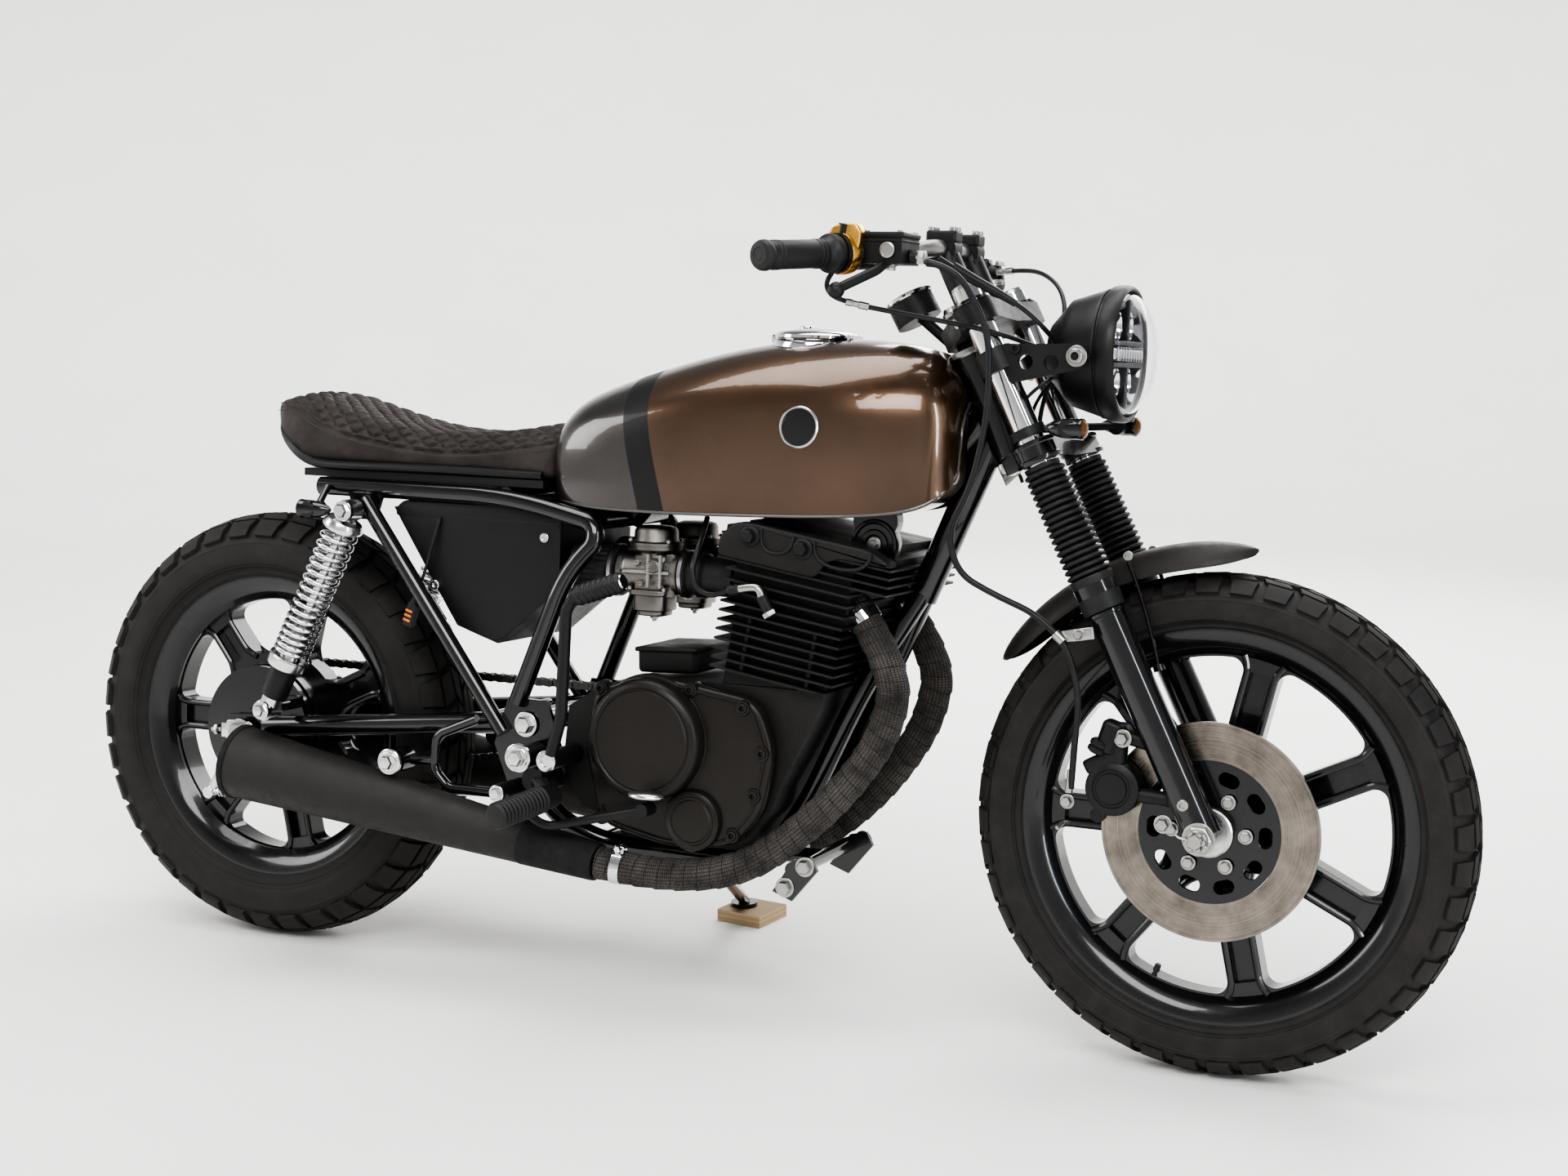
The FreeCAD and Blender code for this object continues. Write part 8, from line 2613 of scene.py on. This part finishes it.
@dataclass
class FrontBrake:
    """The pointed fender, the caliper's castings, the disc's bolts and the axle's castle nut.

    Attributes:
        breadth: The fender's half breadth.
        thick: Its thickness.
        over: The radius of its edge round the axle, before it curves down.
        middle: Where its middle stands, in degrees up from ahead.
        span: How far each tip is from there, in degrees.
        caliper: The caliper's distance from the axle and its angle in degrees.
    """

    breadth: float = 50.0
    thick: float = 2.8
    over: float = 337.5
    middle: float = 116.5
    span: float = 31.5
    caliper: tuple[float, float] = (121.5, 156.0)
    crown_rise, edge_fall = 7, 23

    def fender(self) -> Form:
        """A thin domed shell: its half breadth is breadth (1 - |t|^5)^0.7 from tip to tip.

        Across it, at the share v of the half breadth, it rises by crown_rise (1 - v^2) and falls by
        edge_fall |v|^3, both less where it is narrower.

        Returns:
            The shell.
        """
        t = np.linspace(-1, 1, 61)[:, None]
        v = np.linspace(-1, 1, 21)[None, :]
        angle = np.radians(self.middle + self.span * t)
        half = self.breadth * np.maximum(1 - np.abs(t) ** 5, 0.004) ** 0.7
        share = half / self.breadth
        radius = self.over + self.crown_rise * (1 - v**2) * share - self.edge_fall * np.abs(v) ** 3 * share
        layers = [FRONT_AXLE + np.stack((r * np.cos(angle), half * v + 0 * r, r * np.sin(angle)), 2)
                  for r in (radius + self.thick, radius)]
        return grid(np.concatenate((layers[0], layers[1][:, ::-1]), axis=1), round_v=True, ends=True)

    def castings(self) -> Form:
        """The caliper's ringed cover, its bridge and tower, the slider's boot and the foot's boss.

        Returns:
            The caliper's forms as one.
        """
        radius, degrees = self.caliper
        angle = math.radians(degrees)
        c = FRONT_AXLE + radius * point(math.cos(angle), 0, math.sin(angle)) + (-2, -95, -3)
        cover = lathe(((33.4, -26), (33.8, -4), (32, 0), (27, 2.4), (24, 3), (23, 1.6), (19.6, 1.6),
                       (18.6, 3.4), (0.3, 4)), c, -ACROSS, 64)
        bridge = rounded_box((44, 34, 18), c + (-16, 16, 32), pitched(-0.5), 4)
        tower = rounded_box((26, 26, 40), c + (-6, 8, 62), pitched(0.3), 5)
        boot = lathe(((9, 0), (12, 2), (12, 6), (10, 8), (12, 10), (12, 14), (9, 17)), c + (-22, 2, 42),
                     point(0.4, 0, 1), 24)
        foot = lathe(((8.6, -12), (9, 2), (7.4, 3.4), (0.3, 3.6)), c + (-16, 2, -34), -ACROSS, 24)
        return joined((cover, bridge, tower, boot, foot))

    def bright(self) -> Form:
        """Caliper bolts, the hose's union, the bleed nipple, the castle nut and its split pin.

        Returns:
            The bright parts as one form.
        """
        out = -ACROSS
        forms = [hex_bolt(point(x, -y, z), out, 8, 7, 11) for x, y, z in ((1284, 98, 419), (1340, 106, 322))]
        union = point(1219, -100, 336)
        forms.append(hex_bolt(union, out, 7, 7, 9))
        forms.append(rod(union + (0, 4, 10), union + (2, 4, 38), 5, 12))
        forms.append(rod(point(1212, -92, 308), point(1208, -102, 302), 3, 10))
        nut = FRONT_AXLE + (0, -116.4, 0)
        slots = hex_bolt(nut + (0, 5, 0), out, 17.5, 8, 20)
        collar = lathe(((12.6, 0), (12.6, 6), (11.6, 7), (8, 7)), nut + (0, -2, 0), out, 30)
        teeth = ring_of(rounded_box((4.6, 8, 5.2), nut + (10.4, -12, 0), SQUARE, 0.8), nut, ACROSS, 6)
        stem = lathe(((8.3, 0), (8.3, 14.6), (6, 16.6), (3, 16.6), (2, 15.4), (0.3, 15.4)), nut, out, 24)
        pin = tube(flow([nut + step for step in (
            (-24, -12, 7), (-21, -12, 3), (-12, -12.4, 2), (12, -12.4, -2), (18, -12, -8))], 6), 1.5, 8)
        return joined((*forms, slots, collar, teeth, stem, pin))

    def hub(self) -> tuple[Form, Form]:
        """The disc carrier's bolts and the hub's polished rings on both sides.

        Returns:
            The bolts and the rings.
        """
        seat = FRONT_AXLE + (45, -64.4, 0)
        bolts = ring_of(hex_bolt(seat, -ACROSS, 7, 4.5, 9), FRONT_AXLE, ACROSS, 6)
        ring = ((22, 60), (29, 60.6), (30, 62), (30, 66), (28, 67.6), (22, 68))
        rings = [lathe(ring, FRONT_AXLE, ACROSS * side, 48) for side in SIDES]
        return bolts, joined(rings)

    def build(self) -> None:
        """Make the fender and the brake's trim."""
        piece("pointed_fender", self.fender(), FENDER_COAT, Body.STEERING, "front_fender", 60)
        stay = [rod(along_fork(326, 0, side * 40), along_fork(326, 0, side * 61), 5.6) for side in SIDES]
        stay.append(rod(along_fork(326, 0, -60), along_fork(326, 0, 60), 5))
        hook = ((1269, 57, 628), (1290, 58, 590), (1314, 60, 503))
        hooks = [tube(flow([(x, side * y, z) for x, y, z in hook], 8), 2.6, 8) for side in SIDES]
        guides = [lathe(((4.6, -4), (7, -4), (7, 4), (4.6, 4)), point(1314, side * 60, 503),
                        point(0.4, 0, -1), 20, hollow=True) for side in SIDES]
        piece("fender_stays", joined((*stay, *hooks, *guides)), GLOSS_BLACK, Body.STEERING)
        piece("caliper_castings", self.castings(), SATIN_BLACK, Body.STEERING)
        piece("brake_bright_parts", self.bright(), ZINC, Body.STEERING)
        bolts, rings = self.hub()
        piece("disc_bolts", bolts, ZINC, Body.FRONT_WHEEL)
        piece("hub_rings", rings, HUB_ALLOY, Body.FRONT_WHEEL)


# Drive and rear axle


@dataclass
class Drive:
    """The roller chain, the sprockets' teeth, the brake's arm and rod and the axle's fittings.

    Attributes:
        count: The chain's links.
        rear: The wheel's sprocket's middle.
        front: The drive sprocket's middle.
        big: The pitch radius of the wheel's sprocket.
        small: That of the drive sprocket.
        rod_end: Where the brake's rod ends in front.
    """

    count: int = 92
    rear: tuple[float, float, float] = (0, 72, REAR_AXLE_HEIGHT)
    front: tuple[float, float, float] = (545, 72, 355.1)
    big: float = 82.0
    small: float = 38.0
    rod_end: tuple[float, float, float] = (440, -92, 262)

    def loop(self) -> np.ndarray:
        """The chain's pitch line round both sprockets, evenly spaced: two arcs and their tangents.

        Returns:
            The links' places.
        """
        rear, front = point(*self.rear), point(*self.front)
        gap = front - rear
        heading = math.atan2(gap[2], gap[0])
        spread = math.acos((self.big - self.small) / np.linalg.norm(gap))
        around = np.linspace(heading + spread, heading + 2 * math.pi - spread, 60)
        nose = np.linspace(heading - spread, heading + spread, 40)
        line = np.concatenate([
            centre + size * np.stack((np.cos(a), 0 * a, np.sin(a)), 1)
            for centre, size, a in ((rear, self.big, around), (front, self.small, nose))])
        return even(np.concatenate((line, line[:1])), self.count + 1)[:-1]

    def chain(self) -> Form:
        """Side plates by turns inside and outside, each a waisted figure, with rollers and rivets.

        Returns:
            The whole chain.
        """
        line = self.loop()
        nexts = np.roll(line, -1, axis=0)
        ways = unit(nexts - line)
        pitch = float(np.linalg.norm(nexts - line, axis=1).mean())
        turns = np.stack((ways, np.tile(ACROSS, (self.count, 1)), np.cross(ways, ACROSS)), axis=2)
        half, waist, end = pitch / 2, 4.6, 6.6
        ends = ((1, (-1.1, -0.4, 0.4, 1.1)), (-1, (2.04, 2.74, 3.54, 4.24)))
        outline = [(half * sx + end * math.cos(a), end * math.sin(a)) for sx, angles in ends for a in angles]
        outline = [*outline[:4], (0, waist), *outline[4:], (0, -waist)]
        forms = []
        for step, out in ((0, 4.2), (1, 6.0)):
            plates = [slab(outline, y - 0.8, y + 0.8, ORIGIN, AHEAD, UP) for y in (-out, out)]
            forms.append(repeated(joined(plates), turns[step::2], ((line + nexts) / 2)[step::2]))
        roller = lathe(((4.6, -4), (5.1, -3.4), (5.1, 3.4), (4.6, 4)), ORIGIN, ACROSS, 10)
        rivet = lathe(((2, -7.4), (2.4, -6.8), (2.4, 6.8), (2, 7.4)), ORIGIN, ACROSS, 8)
        forms.append(repeated(joined((roller, rivet)), turns, line))
        return joined(forms)

    def sprocket(self) -> Form:
        """The drive sprocket behind its cover, as a toothed plate.

        Returns:
            The plate.
        """
        teeth = 15
        radius = np.tile((33.0, 37.0, 37.0, 33.0), teeth)
        return slab(circle(4 * teeth) * radius[:, None], -3, 3, point(*self.front), AHEAD, UP)

    def teeth(self) -> Form:
        """Teeth on the wheel's sprocket, between the chain's inner plates.

        Returns:
            The ring of teeth.
        """
        foot = point(*self.rear) + (0, 0, 68.6)
        tooth = slab(((-4.4, 0), (4.4, 0), (1.6, 7.4), (-1.6, 7.4)), -2.6, 2.6, foot, AHEAD, UP)
        return ring_of(tooth, REAR_AXLE, ACROSS, 32)

    def axle(self) -> tuple[Form, Form, Form]:
        """Axle bolts and adjuster screws, their plates, and the brake's arm with its rod and spring.

        Returns:
            The bolts and screws, the plates, and the brake's arm.
        """
        bright, plates = [], []
        for side in SIDES:
            out = ACROSS * side
            nut = REAR_AXLE + out * 109
            bright += [hex_bolt(nut, out, 15, 10, 19),
                       rod(point(-18, side * 92, 308), point(-62, side * 92, 304), 4, 12),
                       hex_bolt(point(-50, side * 92, 305), -AHEAD, 8, 7)]
            plates.append(rounded_box((22, 10, 26), point(-34, side * 92, 306), SQUARE, 3))
            plates.append(side_slab(((-26, 292), (18, 292), (24, 308), (18, 324), (-26, 324)), side,
                                    105.4, 108.6, 1, 8))
        boss, low = point(-14, -96, 306), point(-66, -92, 212)
        line = flow([boss + (4, 0, 8), boss, (boss + low) / 2 + (3, 0, 0), low], 6)
        arm = tube(line, np.linspace(10, 6, len(line)), 14, flat=0.5)
        eyes = [lathe(((11, -7), (12, -6), (12, 6), (11, 7)), boss, ACROSS, 28),
                lathe(((8, -6), (9, -5), (9, 5), (8, 6)), low, ACROSS, 24)]
        brake_rod = rod(low + (8, 0, 2), self.rod_end, 3.4, 12)
        angle = np.linspace(0, 2 * math.pi * 8, 110)
        way = unit(point(*self.rod_end) - low)
        first, second = axes_for(way)
        coil = tube(low + way * (16 + angle / angle[-1] * 40)[:, None] + 6 * (
            np.cos(angle)[:, None] * first + np.sin(angle)[:, None] * second), 1.2, 6, hint=way)
        return joined(bright), joined(plates), joined((arm, *eyes, brake_rod, coil))

    def build(self) -> None:
        """Make the drive's pieces."""
        body = Body.CHASSIS
        chain = joined((self.chain(), self.sprocket()))
        piece("roller_chain", chain, DARK_STEEL, body, "drive_chain")
        piece("sprocket_teeth", self.teeth(), DARK_STEEL, Body.REAR_WHEEL)
        bright, plates, arm = self.axle()
        piece("rear_axle_bolts", bright, ZINC, body)
        piece("chain_adjusters", plates, POLISHED, body)
        piece("rear_brake_arm", arm, POLISHED, body)


# Foot controls, side box and small chassis trim


@dataclass
class ChassisTrim:
    """Peg and kick rubbers, pivot bolts, the side box's lips, muffler collars and the rear lamps.

    Attributes:
        muffler_tail: The right muffler's open end: ahead, to the side and up.
        muffler_neck: Its neck.
        peg_foot: Where the right peg starts.
        peg_tip: Where it ends.
    """

    muffler_tail: tuple[float, float, float] = (31, 150, 275)
    muffler_neck: tuple[float, float, float] = (603, 150, 198)
    peg_foot: tuple[float, float, float] = (550, 178, 286)
    peg_tip: tuple[float, float, float] = (526, 282, 272)

    def rubbers(self) -> Form:
        """Ribbed rubbers on both pegs and the kick lever.

        Returns:
            The three rubbers.
        """
        forms = []
        for side in SIDES:
            low, high = (point(*spot) * (1, side, 1) for spot in (self.peg_foot, self.peg_tip))
            forms.append(self.ribbed(low + (high - low) * 0.2, high, 16.4, 1.7, 13))
        forms.append(self.ribbed(point(588, -192.4, 550.2), point(652, -196, 572), 12.4, 1.6, 8))
        return joined(forms)

    @staticmethod
    def ribbed(start: np.ndarray, end: np.ndarray, radius: float, rib: float, count: int) -> Form:
        """A rubber sleeve with rounded ribs: its radius is the least plus rib |sin(pi n t)|.

        Args:
            start: The middle of one end.
            end: The middle of the other.
            radius: The least radius.
            rib: The ribs' height.
            count: How many ribs there are.

        Returns:
            The sleeve.
        """
        length = float(np.linalg.norm(end - start))
        t = np.linspace(0, 1, count * 6 + 1)
        ridge = radius + rib * np.abs(np.sin(np.pi * count * t))
        tip = ((radius - 1, length + 2), (radius - 6, length + 2.6))
        return lathe([(radius - 3, -1.6), *zip(ridge, t * length), *tip], start, end - start, 28)

    def bright(self) -> Form:
        """Bolts of the pivots, pegs, boxes and hangers, the pedals' pads and the kick shaft's end.

        Returns:
            The bright parts as one form.
        """
        forms = []
        for side in SIDES:
            out = ACROSS * side
            forms.append(hex_bolt(point(474, side * 121.4, 364), out, 12, 9, 17))
            forms.append(lathe(((19, 0), (19, 4), (17, 5), (16, 5)), point(493, side * 170, 328), out, 36))
            forms.append(hex_bolt(point(493, side * 175, 328), out, 11, 8, 15))
            forms.append(hex_bolt(point(471, side * 188.3, 281), out, 8, 6, 11))
            forms.append(lathe(((18, 0), (18, 4), (16.6, 5)), point(284, side * 156, 300), out, 36))
            forms.append(hex_bolt(point(284, side * 160.4, 300), out, 10, 8, 14))
            forms += [socket_bolt(point(x, side * 98.6, z), out, 6.6, 5) for x, z in ((485, 613), (316, 539))]
            pad = ball(ORIGIN, 1.0, 24)
            forms.append(Form(pad.points * (26, 17, 6.4) + (690, side * 186, 301), pad.faces))
        forms.append(lathe(((14, 0), (14, 4), (11, 5), (8, 5), (7.6, 2), (0.3, 2)), point(546, -188.4, 332),
                           -ACROSS, 28))
        forms.append(lathe(((10, 0), (10.6, 2), (9, 3.4), (0.3, 3.6)), point(652.6, -196, 572.3),
                           point(64, -3.6, 22), 24))
        return joined(forms)

    def dark(self) -> Form:
        """The side box's folded lips and the pegs' sleeves.

        Returns:
            The forms of both sides.
        """
        lip = ((250, 641), (262, 652), (497, 652), (509, 636), (509, 630), (250, 630))
        face = ((246, 642), (350, 486), (414, 466), (508, 546), (508, 636))
        forms = []
        for side in SIDES:
            forms.append(side_slab(lip, side, 84, 99.6, 1.6, 8))
            forms.append(side_slab(face, side, 97.4, 99.2, 0.8, 18))
            forms.append(rod(point(493, side * 120, 328), point(493, side * 170, 328), 15, 32))
        return joined(forms)

    def collars(self) -> Form:
        """The mufflers' necks, rolled rear lips and inner pipes: the neck's radius falls with the cone.

        Returns:
            The forms of both mufflers.
        """
        way = unit(point(*self.muffler_neck) - self.muffler_tail)
        cone = [(51 - 26.5 * far / 577 + 0.8, far) for far in (468, 480, 520, 560, 574)]
        forms = []
        for side in SIDES:
            tail = point(*self.muffler_tail) * (1, side, 1)
            forms.append(lathe([(28, 467), *cone, (24.6, 577.6), (22, 577)], tail, way, 48))
            forms.append(lathe(((48, -2), (50.6, -2.6), (52.6, -1), (52.8, 4), (51.6, 7), (48, 6)), tail,
                               way, 72, hollow=True))
            forms.append(lathe(((12, 6), (15, 4), (15, 52), (12, 54)), tail, way, 40, hollow=True))
        return joined(forms)

    def build(self) -> None:
        """Make the chassis trim."""
        body = Body.CHASSIS
        piece("peg_rubbers", self.rubbers(), RUBBER, body)
        piece("chassis_bright_bolts", self.bright(), POLISHED, body)
        piece("chassis_dark_trim", self.dark(), SATIN_BLACK, body)
        piece("muffler_collars", self.collars(), SOOT_BLACK, body)
        shells, lenses = bullet_lamps([point(152, side * 157, 636) for side in SIDES], -AHEAD)
        piece("rear_indicator_shells", shells, GLOSS_BLACK, body)
        piece("rear_indicator_lenses", lenses, AMBER_GLASS, body)
        tilt = pitched(0.3)
        plug = rounded_box((17, 11, 34), point(288, -116, 497), tilt, 2.5)
        ends = (292, -116, 512), (300, -114, 536)
        sleeve = tube(np.linspace(*ends, 6), np.linspace(6, 3.4, 6), 12)
        cord = tube(flow([(298, -114, 532), (306, -112, 556), (312, -106, 590), (322, -101, 630)], 6), 2.3, 8)
        piece("loose_connector", joined((plug, sleeve, cord)), RUBBER, body)
        marks = [rounded_box((11, 1.4, 3.2), point(287.6 - k * 1.9, -121.4, 503 - k * 6.4), tilt, 0.4)
                 for k in range(3)]
        piece("connector_marks", joined(marks), ORANGE, body)


# Studio


@dataclass
class Studio:
    """The floor, the lights and the camera.

    Attributes:
        place: The camera's place, in metres.
        turn: Its turn, in degrees.
        lens: Its focal length on a sensor 36 mm wide.
        flat: How far the floor is flat, in metres from its middle.
        reach: The floor's radius, in metres.
        soft_boxes: Rows of a light's name, place, aim, size, power and colour.
        backdrop: Rows of the turn round the machine, in degrees, and the power of the lights on
            the curved edge.
    """

    place: tuple[float, float, float] = (1.33566, -2.78947, 1.05017)
    turn: tuple[float, float, float] = (80.76, -0.13, 24.19)
    lens: float = 53.44
    flat: float = 4.5
    reach: float = 12.0
    soft_boxes: tuple[tuple, ...] = (
        ("key_soft_box", (1.2, -3.2, 3.4), (0, 0, 0.45), (3.2, 1.6), 135, (1, 1, 1)),
        ("top_soft_box", (-0.2, 0.2, 3.6), (0, 0, 0.4), (4.2, 1.8), 110, (1, 1, 1)),
        ("rear_soft_box", (-3.4, -1.6, 2.0), (0, 0, 0.5), (1.6, 2.2), 60, (1, 1, 1)),
        ("far_soft_box", (0.6, 3.2, 2.4), (0, 0, 0.6), (3.4, 1.6), 80, (1, 1, 1)),
        ("side_strip", (3.1, -1.5, 1.5), (0.4, 0, 0.5), (0.2, 2.4), 34, (0.86, 0.93, 1.0)),
    )
    backdrop: tuple[tuple[float, float], ...] = ((0, 480), (90, 120), (180, 160), (270, 120))

    def floor(self) -> None:
        """A round pale floor that curves up far away: its height is 0.2 (distance - flat)^1.8."""
        far = np.concatenate(((0.01,), np.linspace(0.5, self.reach, 50)))[:, None]
        around = circle(96)
        z = 0.2 * np.clip(far - self.flat, 0, None) ** 1.8 + float(CAD_BOX[0].z) + 0 * around[:, 0]
        points = np.stack((far * around[:, 0], far * around[:, 1], z), axis=2)
        form = grid(points, round_v=True, ends=True)
        form.faces, form.maps = form.faces[:2], []
        form.points = (form.points - FLOOR_ORIGIN) @ LEAN / MM
        made = new_object("floor", form, 180)
        graph = Graph("pale_floor")
        where = graph.place()
        graph.surface(
            Base_Color=graph.blend(graph.noise(where, 2.5, 6.0), (0.78, 0.77, 0.75), (0.84, 0.83, 0.81)),
            Roughness=graph.fit(graph.noise(where, 40.0, 5.0), 0.3, 0.7, 0.62, 0.75),
        )
        made.data.materials.append(graph.material)

    def light(self, name: str, spot: Sequence[float], aim: Sequence[float], size: tuple[float, float],
              power: float, colour: Colour = (1, 1, 1)) -> None:
        """A soft area light at a spot that aims at another.

        Args:
            name: The light's name.
            spot: Its place, in metres.
            aim: What it shines at.
            size: Its two sizes, in metres.
            power: Its power in watts.
            colour: Its colour.
        """
        lamp = bpy.data.lights.new(name, "AREA")
        lamp.shape = "RECTANGLE"
        lamp.size, lamp.size_y = size
        lamp.energy = power
        lamp.color = colour
        made = bpy.data.objects.new(name, lamp)
        made.location = spot
        made.rotation_euler = (Vector(aim) - Vector(spot)).to_track_quat("-Z", "Y").to_euler()
        bpy.context.scene.collection.objects.link(made)

    def lights(self) -> None:
        """The soft boxes round the machine, the lights on the backdrop and the air's own light."""
        for row in self.soft_boxes:
            self.light(*row)
        spot, aim = point(-1.0, 2.6, 5.2), point(-3.2, 9.0, 1.6)
        for number, (degrees, power) in enumerate(self.backdrop):
            turn = about(UP, np.array(math.radians(degrees)))[0]
            self.light(f"backdrop_light_{number}", turn @ spot, turn @ aim, (6.0, 2.0), power)
        world = bpy.data.worlds.new("studio_air")
        world.use_nodes = True
        air = world.node_tree.nodes["Background"]
        air.inputs["Color"].default_value = (0.82, 0.84, 0.87, 1)
        air.inputs["Strength"].default_value = 0.3
        bpy.context.scene.world = world

    def camera(self) -> None:
        """The camera at the photograph's view, and the picture's tones."""
        lens = bpy.data.cameras.new("photo_camera")
        lens.sensor_width, lens.lens = 36.0, self.lens
        lens.clip_start, lens.clip_end = 0.05, 60.0
        camera = bpy.data.objects.new("photo_camera", lens)
        camera.location = self.place
        camera.rotation_euler = tuple(math.radians(value) for value in self.turn)
        scene = bpy.context.scene
        scene.collection.objects.link(camera)
        scene.camera = camera
        scene.view_settings.view_transform = "AgX"
        scene.view_settings.look = "AgX - High Contrast"

    def build(self) -> None:
        """Make the studio."""
        self.floor()
        self.lights()
        self.camera()


def parts() -> tuple:
    """Every sub-assembly that makes finished pieces, in the order in which they are built.

    Returns:
        Objects with a build method.
    """
    return (
        Tyre("front_tread_tyre", "front_tyre", Body.FRONT_WHEEL, FRONT_AXLE, radius=309.5, width=92, crown=62,
             lip=242.5, rim=65, depth=5.0, shoulder_count=44, front=True),
        Tyre("rear_tread_tyre", "rear_tyre", Body.REAR_WHEEL, REAR_AXLE, radius=308, width=118, crown=78,
             lip=217, rim=84, depth=6.5, shoulder_count=38, front=False),
        WheelTrim("front", Body.FRONT_WHEEL, FRONT_AXLE, lip=242.5, rim=65, web=66, valve_angle=250),
        WheelTrim("rear", Body.REAR_WHEEL, REAR_AXLE, lip=217, rim=84, web=106, valve_angle=70),
        Saddle(), CoilSpring(), Headers(), Engine(), Carburettors(), ForkTrim(), Headlight(),
        Handlebar(), TankTrim(), FrontBrake(), Drive(), ChassisTrim(),
    )


def main() -> None:
    """Build the studio, dress the solids and make every piece in order."""
    logging.basicConfig(level=logging.INFO, format="%(message)s")
    Studio().build()
    dress_solids()
    for part in parts():
        part.build()


if __name__ == "__main__":
    main()
